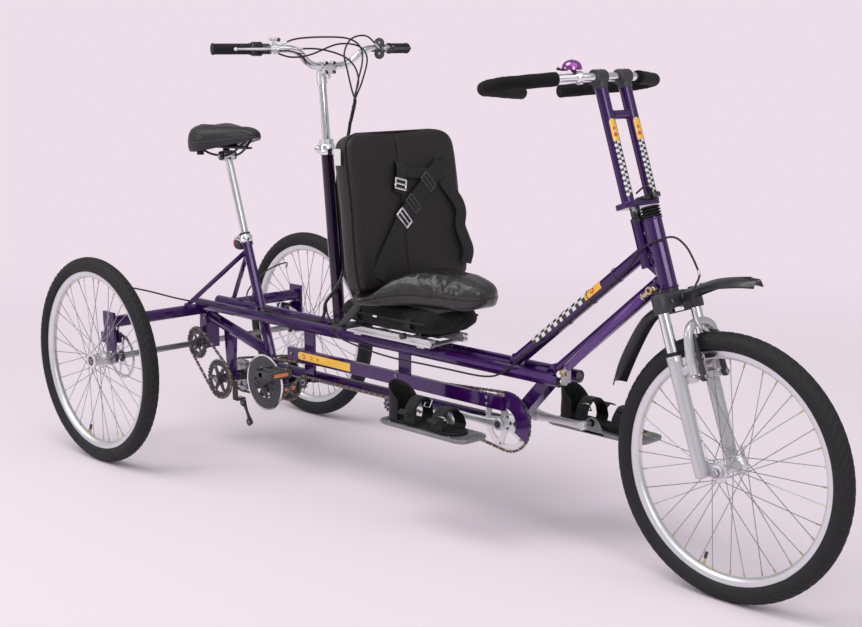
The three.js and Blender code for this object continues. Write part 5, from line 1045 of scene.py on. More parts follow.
@dataclass
class Wheel:
    """A tyre with a blocked tread, a hollow-looking rim, crossed spokes and a hub.

    Attributes:
        name: Which wheel it is.
        body: Body that turns with it.
        centre: Middle of the hub.
        hub_half: Half width of the hub.
        hub_radius: Radius of the hub's shell.
        flange_radius: Radius of the hub's flanges.
        outer: Radius over the tyre.
        tyre_half: Radius of the tyre's section.
        rim_outer: Radius of the rim's edge.
        rim_inner: Radius of the rim's inside.
        rim_half: Half width of the rim.
        spokes: Number of spokes.
        spoke_radius: Radius of a spoke.
        tread_steps: Steps round the tyre.
        tread_blocks: Blocks round the tyre.
        tread_depth: Depth of a groove.
        tread_shoulder: Tilt at which the tread ends, in degrees.
        groove_tilts: Tilts between which a groove runs all round.
        block_gap_share: Share of a block's pitch that is groove.
        spoke_lean: How far a spoke's foot lies from its tip, in degrees round the hub.
        valve_angle: Where the valve is, in degrees.
    """

    name: str
    body: str
    centre: Point
    hub_half: float
    hub_radius: float
    flange_radius: float
    outer: float = 0.330
    tyre_half: float = 0.025
    rim_outer: float = 0.2848
    rim_inner: float = 0.2646
    rim_half: float = 0.0131
    spokes: int = 36
    spoke_radius: float = 0.0011
    tread_steps: int = 480
    tread_blocks: int = 80
    tread_depth: float = 0.0016
    tread_shoulder: float = 66
    groove_tilts: tuple[tuple[float, float], ...] = ((14, 20), (40, 45))
    block_gap_share: float = 0.34
    spoke_lean: float = 58
    valve_angle: float = -104

    def tread_drop(self, step: int, tilt: float) -> float:
        """Returns how deep the tread is cut at a place.

        Args:
            step: Step round the tyre.
            tilt: Angle round the tyre's section, in degrees from the crown.

        Returns:
            Depth of the groove there.
        """
        spread = abs(tilt)
        if spread > self.tread_shoulder:
            return 0.0
        if any(low < spread < high for low, high in self.groove_tilts):
            return self.tread_depth
        row = 0.0 if spread < 17 else 0.5
        way = (step * self.tread_blocks / self.tread_steps + spread / 46 + row) % 1
        return self.tread_depth if way < self.block_gap_share else 0.0

    def tyre(self) -> None:
        """Builds the tyre with its grooves."""
        centre = Vector(self.centre)
        section = self.outer - self.tyre_half
        tilts = [-140 + 5 * i for i in range(57)]
        rings = []
        for step in range(self.tread_steps):
            angle = FULL_TURN * step / self.tread_steps
            ray = ray_at(angle)
            ring = []
            for tilt in tilts:
                reach = self.tyre_half - self.tread_drop(step, tilt)
                lip = 0.0005 if abs(tilt) in (95, 125) else 0.0
                bend = math.radians(tilt)
                ring.append(centre + ray * (section + (reach + lip) * math.cos(bend))
                            + Y_AXIS * ((reach + lip) * math.sin(bend)))
            rings.append(ring)
        mould = Mould(f"{self.name}_tyre_tread", TYRE_RUBBER)
        mould.loft(rings, looped=True)
        mould.build(self.body, "tyre", [f"{self.name}_tyre"], sharp=30)

    def rim(self, mould: Mould) -> None:
        """Adds the rim with its brake track.

        Args:
            mould: Piece that it is added to.
        """
        half, low = self.rim_half, self.rim_inner
        mould.use(ALLOY).turn([
            (self.rim_outer, -half), (self.rim_outer - 0.003, -half * 0.9),
            (self.rim_outer - 0.003, half * 0.9),
            (self.rim_outer, half), (self.rim_outer - 0.0125, half * 0.98),
            (self.rim_outer - 0.0135, half * 0.93),
            (low + 0.0035, half * 0.72), (low + 0.0008, half * 0.4), (low, 0), (low + 0.0008, -half * 0.4),
            (low + 0.0035, -half * 0.72), (self.rim_outer - 0.0135, -half * 0.93),
            (self.rim_outer - 0.0125, -half * 0.98),
        ], self.centre, Y_AXIS, 180)

    def lace(self, mould: Mould) -> None:
        """Adds the spokes, crossed between the two flanges, with their nipples.

        Args:
            mould: Piece that it is added to.
        """
        centre = Vector(self.centre)
        flange_y = self.hub_half - 0.002
        for i in range(self.spokes):
            side = 1 if i % 2 else -1
            pull = 1 if i % 4 < 2 else -1
            angle = FULL_TURN * (i + 0.25) / self.spokes
            foot_angle = angle + pull * math.radians(self.spoke_lean)
            ray = ray_at(angle)
            foot_ray = ray_at(foot_angle)
            foot = (centre + foot_ray * (self.flange_radius - 0.004)
                    + Y_AXIS * side * (flange_y + 0.0012 * pull))
            tip = centre + ray * (self.rim_inner + 0.003) + Y_AXIS * side * 0.003
            mould.use(STEEL).tube([foot, foot.lerp(tip, 0.5), tip], self.spoke_radius, 8)
            mould.use(BRASS).tube([tip, tip.lerp(foot, 0.055)], 0.0021, 8)

    def hub(self, mould: Mould) -> None:
        """Adds the hub shell, its flanges, end caps and seals.

        Args:
            mould: Piece that it is added to.
        """
        half, body, flange = self.hub_half, self.hub_radius, self.flange_radius
        mould.use(ALLOY).turn([
            (body * 0.55, -half), (flange * 0.7, -half), (flange, -half + 0.0008), (flange, -half + 0.0034),
            (flange * 0.72, -half + 0.005), (body, -half + 0.011), (body * 0.92, 0), (body, half - 0.011),
            (flange * 0.72, half - 0.005), (flange, half - 0.0034), (flange, half - 0.0008),
            (flange * 0.7, half),
            (body * 0.55, half),
        ], self.centre, Y_AXIS, 48)
        for side in (-1, 1):
            seal = Vector(self.centre) + Y_AXIS * side * half
            mould.use(DARK_STEEL).turn([
                (body * 0.5, 0.0), (body * 0.86, 0.0), (body * 0.86, 0.0006), (body * 0.5, 0.0006),
            ], seal, Y_AXIS * side, 32)

    def valve(self, mould: Mould) -> None:
        """Adds the valve with its cap.

        Args:
            mould: Piece that it is added to.
        """
        ray = ray_at(math.radians(self.valve_angle))
        foot = Vector(self.centre) + ray * (self.rim_inner + 0.002)
        mould.use(BRASS).rod(foot, foot - ray * 0.022, 0.0032, 16)
        mould.use(BLACK_PLASTIC).rod(foot - ray * 0.02, foot - ray * 0.036, 0.0044, 16)

    def build(self) -> None:
        """Builds the tyre and the laced wheel."""
        self.tyre()
        mould = Mould(f"{self.name}_wheel_laced", ALLOY)
        self.rim(mould)
        self.lace(mould)
        self.hub(mould)
        self.valve(mould)
        mould.build(self.body, "alloy", [f"{self.name}_wheel"])


# Chains and chainwheels

CHAIN_PITCH = 0.0127


def pitch_radius(teeth: int) -> float:
    """Returns the radius on which a chain lies round a wheel."""
    return teeth * CHAIN_PITCH / FULL_TURN


@dataclass(frozen=True)
class Loop:
    """A chainwheel as a chain sees it.

    Attributes:
        x: Forward place of its axle.
        z: Height of its axle.
        teeth: Number of teeth.
        turn: 1 inside the chain's loop, -1 outside it.
    """

    x: float
    z: float
    teeth: int
    turn: int = 1

    @property
    def radius(self) -> float:
        """Radius on which the chain lies."""
        return pitch_radius(self.teeth)


def chain_path(loops: Sequence[Loop]) -> list[Vector]:
    """Returns the closed centre line of a chain round its wheels, seen from the side.

    Args:
        loops: The wheels in the order that the chain meets them.

    Returns:
        Points along the closed line.
    """
    runs = []
    for i, wheel in enumerate(loops):
        after = loops[(i + 1) % len(loops)]
        reach = math.hypot(after.x - wheel.x, after.z - wheel.z)
        lean = math.asin((wheel.turn * wheel.radius - after.turn * after.radius) / reach)
        runs.append(math.atan2(after.z - wheel.z, after.x - wheel.x) + lean)
    path = []
    for i, wheel in enumerate(loops):
        into = runs[i - 1]
        sweep = runs[i] - into
        while sweep * wheel.turn < 0:
            sweep += wheel.turn * FULL_TURN
        steps = max(2, math.ceil(abs(sweep) / math.radians(4)))
        for k in range(steps + 1):
            heading = into + sweep * k / steps
            reach = wheel.turn * wheel.radius
            path.append(Vector((wheel.x + reach * math.sin(heading), wheel.z - reach * math.cos(heading))))
    return path


def spaced(path: Sequence[Vector], count: int) -> list[Vector]:
    """Returns points at an even distance along a closed line.

    Args:
        path: The closed line.
        count: Number of points.

    Returns:
        The points.
    """
    closed = [*path, path[0]]
    lengths = [0.0]
    for start, end in zip(closed, closed[1:]):
        lengths.append(lengths[-1] + (end - start).length)
    points, segment = [], 0
    for i in range(count):
        target = lengths[-1] * i / count
        while lengths[segment + 1] < target:
            segment += 1
        span = lengths[segment + 1] - lengths[segment]
        share = (target - lengths[segment]) / span if span else 0.0
        points.append(closed[segment].lerp(closed[segment + 1], share))
    return points


@dataclass
class Chain:
    """A roller chain made of its links.

    Attributes:
        node: The solid that it stands for.
        plane: Side place of its middle.
        loops: The wheels that it runs round.
        plate_height: Height of a side plate.
        plate_thickness: Thickness of a side plate.
        inner_half: How far an inner plate lies from the middle.
        outer_half: How far an outer plate lies from the middle.
    """

    node: str
    plane: float
    loops: Sequence[Loop]
    plate_height: float = 0.0082
    plate_thickness: float = 0.001
    inner_half: float = 0.0019
    outer_half: float = 0.0029

    def link(self, mould: Mould, start: Vector, end: Vector, half: float) -> None:
        """Adds the two side plates of one link, waisted in the middle.

        Args:
            mould: Piece that it is added to.
            start: One pin, seen from the side.
            end: The next pin.
            half: How far each plate lies from the chain's middle.
        """
        run = end - start
        reach, rise = run.length / 2, self.plate_height / 2
        outline = []
        for sign in (1, -1):
            for turn in (-70, -35, 0, 35, 70):
                bend = math.radians(turn)
                outline.append((sign * (reach + rise * math.cos(bend)), sign * rise * math.sin(bend)))
            outline.append((0.0, sign * rise * 0.66))
        middle = (start + end) / 2
        for side in (-1, 1):
            origin = (middle.x, self.plane + side * half, middle.y)
            mould.plate(outline, origin, (run.x, 0, run.y), (-run.y, 0, run.x), self.plate_thickness, 0.0002)

    def build(self) -> None:
        """Builds every link and roller."""
        path = chain_path(self.loops)
        length = sum((b - a).length for a, b in zip(path, [*path[1:], path[0]]))
        count = 2 * round(length / CHAIN_PITCH / 2)
        pins = spaced(path, count)
        mould = Mould(f"{self.node}_links", CHAIN)
        for i, start in enumerate(pins):
            end = pins[(i + 1) % count]
            self.link(mould.use(CHAIN if i % 2 else STEEL), start, end, self.outer_half if i % 2
                      else self.inner_half)
            low, high = (start.x, self.plane - 0.0036, start.y), (start.x, self.plane + 0.0036, start.y)
            mould.use(DARK_STEEL).tube([low, high], 0.0018, 8)
            inner = self.inner_half - 0.0004
            mould.tube([(start.x, self.plane - inner, start.y), (start.x, self.plane + inner, start.y)],
                       0.0038, 12)
        mould.build("frame", "chain", [self.node])


def toothed_ring(mould: Mould, centre: Point, teeth: int, inner: float, half: float = 0.0011) -> None:
    """Adds a flat ring with chain teeth on its outside.

    Args:
        mould: The mould that takes it.
        centre: Middle of the ring.
        teeth: Number of teeth.
        inner: Radius of its hole.
        half: Half of its thickness.
    """
    pitch = pitch_radius(teeth)
    heights = ((0.0, 0.0026, 0.35), (0.22, 0.0016, 0.7), (0.36, -0.0026, 1.0), (0.5, -0.0042, 1.0),
               (0.64, -0.0026, 1.0), (0.78, 0.0016, 0.7))
    rings = []
    for tooth in range(teeth):
        for share, rise, thick in heights:
            angle = FULL_TURN * (tooth + share) / teeth
            ray = ray_at(angle)
            outer = Vector(centre) + ray * (pitch + rise)
            shoulder = Vector(centre) + ray * (pitch - 0.0062)
            hole = Vector(centre) + ray * inner
            rings.append([
                outer - Y_AXIS * half * thick, outer + Y_AXIS * half * thick, shoulder + Y_AXIS * half,
                hole + Y_AXIS * half, hole - Y_AXIS * half, shoulder - Y_AXIS * half,
            ])
    mould.loft(rings, looped=True)


def spider(mould: Mould, centre: Point, arms: int, inner: float, outer: float, width: float, half: float,
           start: float = 0.0) -> None:
    """Adds flat arms from a hub to a ring, each with a bolt.

    Args:
        mould: The mould that takes them.
        centre: Middle of the hub.
        arms: Number of arms.
        inner: Where an arm starts.
        outer: Where it ends.
        width: Its width at the hub.
        half: Half of its thickness.
        start: Angle of the first arm.
    """
    for arm in range(arms):
        angle = start + FULL_TURN * arm / arms
        ray = ray_at(angle)
        lift = Vector((-ray.z, 0, ray.x))
        outline = [
            (inner, -width * 0.62), (outer * 0.6, -width * 0.4), (outer, -width * 0.34),
            (outer + width * 0.3, 0),
            (outer, width * 0.34), (outer * 0.6, width * 0.4), (inner, width * 0.62),
        ]
        mould.plate(outline, centre, ray, lift, 2 * half, 0.0008)


# Cranks, pedals and running gear

REAR_CRANK = (-0.686, 0.254)
FRONT_CRANK = (0.368, 0.322)
JACK_AXLE = (-0.930, 0.225)
REAR_AXLE = (-1.050, 0.330)
IDLERS = ((-0.49997, 0.28479), (-0.10503, 0.28479))
CRANK_LENGTH = 0.165
TIMING_PLANE, DRIVE_PLANE, FINAL_PLANE = -0.042, 0.042, -0.050
TIMING_TEETH, DRIVE_TEETH, CASSETTE_TEETH, JACK_TEETH, AXLE_TEETH, IDLER_TEETH = 40, 36, 28, 32, 26, 10


def in_side_plane(centre: tuple[float, float], y: float, reach: float = 0.0, angle: float = 0.0) -> Vector:
    """Returns a point at a side place, reached from a centre at an angle in degrees."""
    turn = math.radians(angle)
    return Vector((centre[0] + reach * math.cos(turn), y, centre[1] + reach * math.sin(turn)))


@dataclass
class Crankset:
    """Spindle, two arms and the chainwheels bolted to the near one.

    Attributes:
        node: The solid that it stands for.
        body: Body that it turns with.
        centre: Forward place and height of its axle.
        angle: Direction of the near arm, in degrees.
        arm_finish: Finish of the arms.
        ring_finish: Finish of the timing chainwheel.
        pin: Length of the pin past the arm.
        slot: The record's material slot.
        captain: Whether it is the rear rider's, with guard and second ring.
        length: Length of an arm, axle to axle.
        inner: How far an arm's inside is from the middle.
        thickness: Thickness of an arm.
        width: Width of an arm.
    """

    node: str
    body: str
    slot: str
    centre: tuple[float, float]
    angle: float
    arm_finish: Finish
    ring_finish: Finish
    pin: float
    captain: bool
    length: float = CRANK_LENGTH
    inner: float = 0.067
    thickness: float = 0.014
    width: float = 0.026

    def arm(self, mould: Mould, side: int, angle: float) -> None:
        """Adds one forged arm with its eyes and bolts.

        Args:
            mould: Piece that it is added to.
            side: -1 for the right, 1 for the left.
            angle: Direction of the arm, in degrees.
        """
        way = ray_at(math.radians(angle))
        lift = Vector((-way.z, 0, way.x))
        sections = ((0.0, 0.6, 0.9), (0.014, 0.56, 1.0), (0.04, 0.44, 0.86), (0.11, 0.36, 0.78),
                    (0.148, 0.4, 0.82), (0.165, 0.44, 0.9))
        rings = []
        for reach, wide, thick in sections:
            middle = in_side_plane(self.centre, side * (self.inner + self.thickness / 2)) + way * reach
            deep = Y_AXIS * self.thickness * thick / 2
            rings.append(squared_ring(middle, lift * self.width * wide, deep, 0.55, 20))
        mould.use(self.arm_finish).loft(rings)
        for reach, radius in ((0.0, 0.0165), (self.length, 0.0125)):
            eye = in_side_plane(self.centre, side * self.inner) + way * reach
            mould.rod(eye, eye + Y_AXIS * side * self.thickness, radius, 32, 0.001)
        cap = in_side_plane(self.centre, side * (self.inner + self.thickness))
        mould.use(DARK_STEEL).bolt(cap, Y_AXIS * side, 0.0095, 0.003)
        tip = in_side_plane(self.centre, side * (self.inner + self.thickness / 2)) + way * self.length
        mould.use(STEEL).rod(tip, tip + Y_AXIS * side * (self.thickness / 2 + max(self.pin, 0.0012)),
                             0.0062, 20)

    def build(self) -> None:
        """Builds the crankset."""
        mould = Mould(f"{self.node}_arms", self.arm_finish)
        reach = self.inner + 0.002
        mould.use(STEEL).rod(in_side_plane(self.centre, -reach), in_side_plane(self.centre, reach), 0.009, 28)
        for side in (-1, 1):
            cup = in_side_plane(self.centre, side * 0.0334)
            mould.use(DARK_STEEL).rod(cup, cup - Y_AXIS * side * 0.01, 0.0122, 28)
        self.arm(mould, -1, self.angle)
        self.arm(mould, 1, self.angle + 180)
        ring_centre = in_side_plane(self.centre, TIMING_PLANE)
        mould.use(self.ring_finish)
        toothed_ring(mould, ring_centre, TIMING_TEETH, 0.062)
        spider(mould, ring_centre - Y_AXIS * 0.003, 5, 0.008, 0.066, 0.024, 0.0022, math.radians(self.angle))
        boss = ring_centre - Y_AXIS * 0.003
        mould.rod(boss + Y_AXIS * 0.003, boss - Y_AXIS * 0.022, 0.0155, 32, 0.001)
        for i in range(5):
            bolt = in_side_plane(self.centre, TIMING_PLANE - 0.0048, 0.066, self.angle + 72 * i)
            mould.use(STEEL).bolt(bolt, -Y_AXIS, 0.0042, 0.0018)
        if self.captain:
            self.guard(mould)
            drive = in_side_plane(self.centre, DRIVE_PLANE)
            mould.use(DARK_STEEL)
            toothed_ring(mould, drive, DRIVE_TEETH, 0.05)
            spider(mould, drive, 5, 0.008, 0.052, 0.024, 0.0014)
            mould.rod(drive - Y_AXIS * 0.006, drive + Y_AXIS * 0.024, 0.0155, 32, 0.001)
        mould.build(self.body, self.slot, [self.node])

    def guard(self, mould: Mould) -> None:
        """Adds the round guard outside the timing chainwheel, black with a bright rim.

        Args:
            mould: Piece that it is added to.
        """
        guard = in_side_plane(self.centre, TIMING_PLANE - 0.0073)
        mould.use(BLACK_PLASTIC).turn([
            (0.052, -0.0012), (0.086, -0.0012), (0.086, 0.0012), (0.07, 0.0016), (0.066, 0.0022),
            (0.052, 0.0012),
        ], guard, -Y_AXIS, 96)
        mould.use(CHROME).turn(mirrored([(0.0858, -0.0016), (0.0915, -0.0014), (0.092, 0.0)]), guard,
                               -Y_AXIS, 96)
        for i in range(5):
            way = in_side_plane(self.centre, 0, 1.0, self.angle + 36 + 72 * i) - in_side_plane(self.centre, 0)
            outline = mirrored([(0.012, -0.009), (0.056, -0.006)])
            mould.use(BLACK_PLASTIC).plate(outline, guard, way, Vector((-way.z, 0, way.x)), 0.0026, 0.0005)


@dataclass
class Pedal:
    """A resin platform pedal with an open cage and amber reflectors.

    Attributes:
        side: -1 for the right, 1 for the left.
        angle: Direction of its crank, in degrees.
        body: Body that it moves with.
        node: The solid that it stands for.
        start: How far its inside is from the middle.
        width: Its width.
        length: Its length.
        thickness: Its thickness.
    """

    side: int
    angle: float
    body: str
    node: str
    start: float = 0.0933
    width: float = 0.088
    length: float = 0.096
    thickness: float = 0.024

    def build(self) -> None:
        """Builds the pedal on its axle."""
        centre = in_side_plane(REAR_CRANK, 0, CRANK_LENGTH, self.angle)
        mould = Mould(f"{self.node}_cage", BLACK_PLASTIC)
        near, far = self.side * self.start, self.side * (self.start + self.width)
        middle = (near + far) / 2
        mould.use(STEEL).rod(centre + Y_AXIS * self.side * 0.0813, centre + Y_AXIS * far * 0.94, 0.0048, 20)
        mould.use(BLACK_PLASTIC).rod(centre + Y_AXIS * near, centre + Y_AXIS * far, 0.0095, 28, 0.0015)
        for end in (near + self.side * 0.005, middle, far - self.side * 0.005):
            mould.block(centre + Y_AXIS * end, (self.length - 0.006, 0.01, self.thickness * 0.8), edge=0.002)
        for way in (-1, 1):
            edge = centre + X_AXIS * way * (self.length / 2 - 0.005)
            mould.block(edge + Y_AXIS * middle, (0.01, self.width, self.thickness), edge=0.002)
            for tooth in range(9):
                spot = edge + Y_AXIS * (near + self.side * (0.008 + 0.009 * tooth))
                mould.block(spot, (0.0098, 0.003, self.thickness + 0.0014), edge=0.0006)
            glass = edge + X_AXIS * way * 0.0042 + Y_AXIS * middle
            mould.use(AMBER_REFLECTOR).block(glass, (0.003, 0.056, 0.012), edge=0.001)
            mould.use(BLACK_PLASTIC)
            mould.block(centre + X_AXIS * way * 0.02 + Y_AXIS * middle,
                        (0.006, self.width - 0.01, self.thickness * 0.7), edge=0.0015)
        mould.build(self.body, "black_plastic", [self.node])


@dataclass
class RunningGear:
    """Jackshaft, cassette, idler wheels, half shafts with their rotors, and the changer.

    Attributes:
        rotor_y: How far a brake rotor is from the middle.
        rotor_radius: Radius of a rotor.
        shaft_end: How far a half shaft reaches.
    """

    rotor_y: float = 0.3473
    rotor_radius: float = 0.075
    shaft_end: float = 0.457

    def jackshaft(self) -> None:
        """Builds the jackshaft with its black chainwheel, its boss and its bolts."""
        mould = Mould("jackshaft_wheel", DARK_STEEL)
        mould.rod(in_side_plane(JACK_AXLE, -0.064), in_side_plane(JACK_AXLE, 0.074), 0.0078, 24)
        plane = in_side_plane(JACK_AXLE, FINAL_PLANE)
        mould.use(BLACK_PAINT)
        toothed_ring(mould, plane, JACK_TEETH, 0.044)
        spider(mould, plane, 6, 0.008, 0.046, 0.02, 0.0014)
        mould.rod(plane - Y_AXIS * 0.007, plane + Y_AXIS * 0.0275, 0.015, 32, 0.001)
        mould.use(STEEL).bolt(in_side_plane(JACK_AXLE, -0.064), -Y_AXIS, 0.011, 0.005)
        for i in range(6):
            mould.bolt(in_side_plane(JACK_AXLE, FINAL_PLANE - 0.0016, 0.046, 60 * i), -Y_AXIS, 0.0036, 0.0016)
        mould.build("jackshaft_set", "black_paint", ["jackshaft"])

    def cassette(self) -> None:
        """Builds the stepped chainwheels of the cassette."""
        mould = Mould("cassette_cogs", ALLOY)
        for i in range(4):
            cog = in_side_plane(JACK_AXLE, DRIVE_PLANE + 0.008 * i)
            teeth = CASSETTE_TEETH - 2 * i
            mould.use(ALLOY if i else STEEL)
            toothed_ring(mould, cog, teeth, pitch_radius(teeth) - 0.016, 0.0009)
            spider(mould, cog, 6, 0.012, pitch_radius(teeth) - 0.014, 0.014, 0.0009, 0.2 * i)
        low, high = in_side_plane(JACK_AXLE, 0.0224), in_side_plane(JACK_AXLE, 0.0698)
        mould.use(DARK_STEEL).turn([
            (0.0088, 0.0), (0.0155, 0.0), (0.017, 0.002), (0.017, 0.0455), (0.0155, 0.0473), (0.0088, 0.0473),
        ], low, high - low, 40)
        mould.build("cassette_set", "alloy", ["cassette"])

    def idlers(self) -> None:
        """Builds the two idler wheels that carry the chain's upper run."""
        for node, place in (("idler_rear", IDLERS[0]), ("idler_front", IDLERS[1])):
            mould = Mould(f"{node}_wheel", BLACK_PLASTIC)
            centre = in_side_plane(place, TIMING_PLANE)
            toothed_ring(mould, centre, IDLER_TEETH, 0.0098, 0.0011)
            mould.use(STEEL).turn(mirrored([(0.006, -0.0035), (0.0095, -0.0035), (0.0105, -0.002)]), centre,
                                  Y_AXIS, 32)
            mould.build(f"{node}_set", "steel", [node])

    def half_shafts(self) -> None:
        """Builds the two half shafts with their brake rotors, whose drilled holes are dark discs of painted
        shade.
        """
        for node, body, side in (("drive_axle", "right_wheel_set", -1), ("free_axle", "left_wheel_set", 1)):
            mould = Mould(f"{node}_shaft", STEEL)
            mould.rod(in_side_plane(REAR_AXLE, side * 0.014), in_side_plane(REAR_AXLE, side * self.shaft_end),
                      0.01, 32, 0.001)
            rotor = in_side_plane(REAR_AXLE, side * self.rotor_y)
            self.rotor(mould, rotor)
            nut = in_side_plane(REAR_AXLE, side * (self.shaft_end - 0.001))
            mould.use(DARK_STEEL).rod(nut - Y_AXIS * side * 0.006, nut, 0.0125, 6, 0.001)
            mould.use(ALLOY).turn([(0.0102, 0), (0.019, 0), (0.019, 0.004), (0.014, 0.006), (0.0102, 0.006)],
                                  in_side_plane(REAR_AXLE, side * 0.4385), Y_AXIS * side, 40)
            if side < 0:
                plane = in_side_plane(REAR_AXLE, FINAL_PLANE)
                mould.use(DARK_STEEL)
                toothed_ring(mould, plane, AXLE_TEETH, 0.03)
                spider(mould, plane, 6, 0.01, 0.032, 0.016, 0.0012)
                mould.rod(plane - Y_AXIS * 0.004, plane + Y_AXIS * 0.003, 0.02, 32, 0.001)
            mould.build(body, "steel", [node])

    def rotor(self, mould: Mould, centre: Vector) -> None:
        """Adds a wavy rotor on six arms, with dark discs through it as painted shade for drilled holes.

        Args:
            mould: Piece that it is added to.
            centre: Middle of the rotor.
        """
        rings = []
        for step in range(192):
            angle = FULL_TURN * step / 192
            ray = ray_at(angle)
            outer = self.rotor_radius + 0.0012 * math.cos(12 * angle) - 0.0012
            inner = 0.0625 + 0.0012 * math.cos(12 * angle)
            rings.append([centre + ray * reach + Y_AXIS * lift for reach, lift in (
                (outer, -0.001), (outer, 0.001), (inner, 0.001), (inner, -0.001))])
        mould.use(ALLOY).loft(rings, looped=True)
        spider(mould, centre, 6, 0.01, 0.0635, 0.013, 0.0011, 0.26)
        mould.use(DARK_STEEL).rod(centre - Y_AXIS * 0.0016, centre + Y_AXIS * 0.0016, 0.02, 40, 0.0005)
        # Dark discs through the rotor: painted shade standing in for drilled holes.
        for i in range(24):
            spot = in_side_plane(REAR_AXLE, centre.y, 0.0685, 15 * i)
            mould.rod(spot - Y_AXIS * 0.00105, spot + Y_AXIS * 0.00105, 0.0022, 10, 0.0001)
        for i in range(6):
            mould.use(STEEL).bolt(in_side_plane(REAR_AXLE, centre.y + math.copysign(0.0014, centre.y), 0.0155,
                                                60 * i),
                                  Y_AXIS * math.copysign(1, centre.y), 0.0028, 0.0014)

    def build(self) -> None:
        """Builds the running gear and the chains."""
        self.jackshaft()
        self.cassette()
        self.idlers()
        self.half_shafts()
        Chain("timing_chain", TIMING_PLANE, [
            Loop(*FRONT_CRANK, TIMING_TEETH), Loop(*REAR_CRANK, TIMING_TEETH),
            Loop(*IDLERS[0], IDLER_TEETH, -1), Loop(*IDLERS[1], IDLER_TEETH, -1),
        ]).build()
        Chain("drive_chain", DRIVE_PLANE, [Loop(*REAR_CRANK, DRIVE_TEETH),
                                           Loop(*JACK_AXLE, CASSETTE_TEETH)]).build()
        Chain("final_chain", FINAL_PLANE, [Loop(*JACK_AXLE, JACK_TEETH),
                                           Loop(*REAR_AXLE, AXLE_TEETH)]).build()


# Front rider's seat


def spread(rings: Sequence[Sequence[Vector]], steps: int) -> list[list[Vector]]:
    """Runs smooth curves through matching points of the rings, and returns the finer rings."""
    lines = [smooth_line([ring[i] for ring in rings], steps) for i in range(len(rings[0]))]
    return [list(points) for points in zip(*lines)]


def ribbon(mould: Mould, path: Sequence[Point], facings: Sequence[Point], width: float,
           thickness: float = 0.0022) -> float:
    """Adds a strap of webbing along a path.

    Args:
        mould: The mould that it goes into.
        path: Points along its middle.
        facings: The way its face looks at each point.
        width: Width of the webbing.
        thickness: Thickness of the webbing.

    Returns:
        Length of the strap.
    """
    line = [Vector(p) for p in path]
    rings = []
    for i, centre in enumerate(line):
        along = run_at(line, i)
        across = unit(Vector(facings[i]).cross(along))
        lift = unit(along.cross(across))
        rings.append([centre + across * x * width + lift * z * thickness for x,
                      z in mirrored([(-0.5, -0.25), (-0.48, -0.5), (-0.2, -0.42), (0.2, -0.42), (0.48, -0.5),
                                     (0.5, -0.25)])])
    mould.loft(rings)
    return sum((b - a).length for a, b in zip(line, line[1:]))


CLOTH_FRAMES = 20
CLOTH_MASS = 0.25
CLOTH_STRETCH = 12
CLOTH_BENDING = 0.8
CLOTH_SHRINK = -0.02


def puffed(piece: bpy.types.Object, body_colour: Finish, cell: float, pressure: float, cap: float,
           pinned: float) -> None:
    """Blows a closed skin up a little as sewn cloth, so that it swells and creases.

    Args:
        piece: The closed skin, which is changed in place.
        body_colour: Finish of the piece.
        cell: Cell size of the even mesh that the cloth is worked out on.
        pressure: Air pressure inside.
        cap: Furthest that any point may move.
        pinned: Share of the height, from the foot, that is held in place.
    """
    scene = bpy.context.scene
    mesh = piece.data
    copy = bpy.data.objects.new(f"{piece.name}_cloth", mesh.copy())
    scene.collection.objects.link(copy)
    bpy.context.view_layer.objects.active = copy
    remesh = copy.modifiers.new("even", "REMESH")
    remesh.mode, remesh.voxel_size = "VOXEL", cell
    bpy.ops.object.modifier_apply(modifier=remesh.name)
    rest = [v.co.copy() for v in copy.data.vertices]
    low = min(p.z for p in rest)
    height = max(p.z for p in rest) - low
    held = copy.vertex_groups.new(name="held")
    held.add([i for i, p in enumerate(rest) if p.z < low + height * pinned], 1.0, "REPLACE")
    cloth = copy.modifiers.new("cloth", "CLOTH")
    cloth.settings.quality = 5
    cloth.settings.mass = CLOTH_MASS
    cloth.settings.tension_stiffness = cloth.settings.compression_stiffness = CLOTH_STRETCH
    cloth.settings.bending_stiffness = CLOTH_BENDING
    cloth.settings.use_pressure = True
    cloth.settings.uniform_pressure_force = pressure
    cloth.settings.effector_weights.gravity = 0
    cloth.settings.vertex_group_mass = "held"
    cloth.settings.shrink_min = CLOTH_SHRINK
    cloth.collision_settings.use_collision = False
    cloth.point_cache.frame_start, cloth.point_cache.frame_end = 1, CLOTH_FRAMES
    scene.frame_start, scene.frame_end = 1, CLOTH_FRAMES
    for frame_number in range(1, CLOTH_FRAMES + 1):
        scene.frame_set(frame_number)
    seen = copy.evaluated_get(bpy.context.evaluated_depsgraph_get()).to_mesh()
    moved = [v.co.copy() for v in seen.vertices]
    for vertex, start, end in zip(copy.data.vertices, rest, moved):
        shift = end - start
        if not shift.length < 1:
            shift = Vector()
        if shift.length > cap:
            shift.length = cap
        vertex.co = start + shift
    copy.modifiers.clear()
    scene.frame_set(1)
    result = copy.data
    result.materials.clear()
    result.materials.append(body_colour.material())
    result.polygons.foreach_set("use_smooth", [True] * len(result.polygons))
    piece.data = result
    bpy.data.objects.remove(copy)
    piece.modifiers.clear()
    soft = piece.modifiers.new("rounds", "SUBSURF")
    soft.levels = soft.render_levels = 1


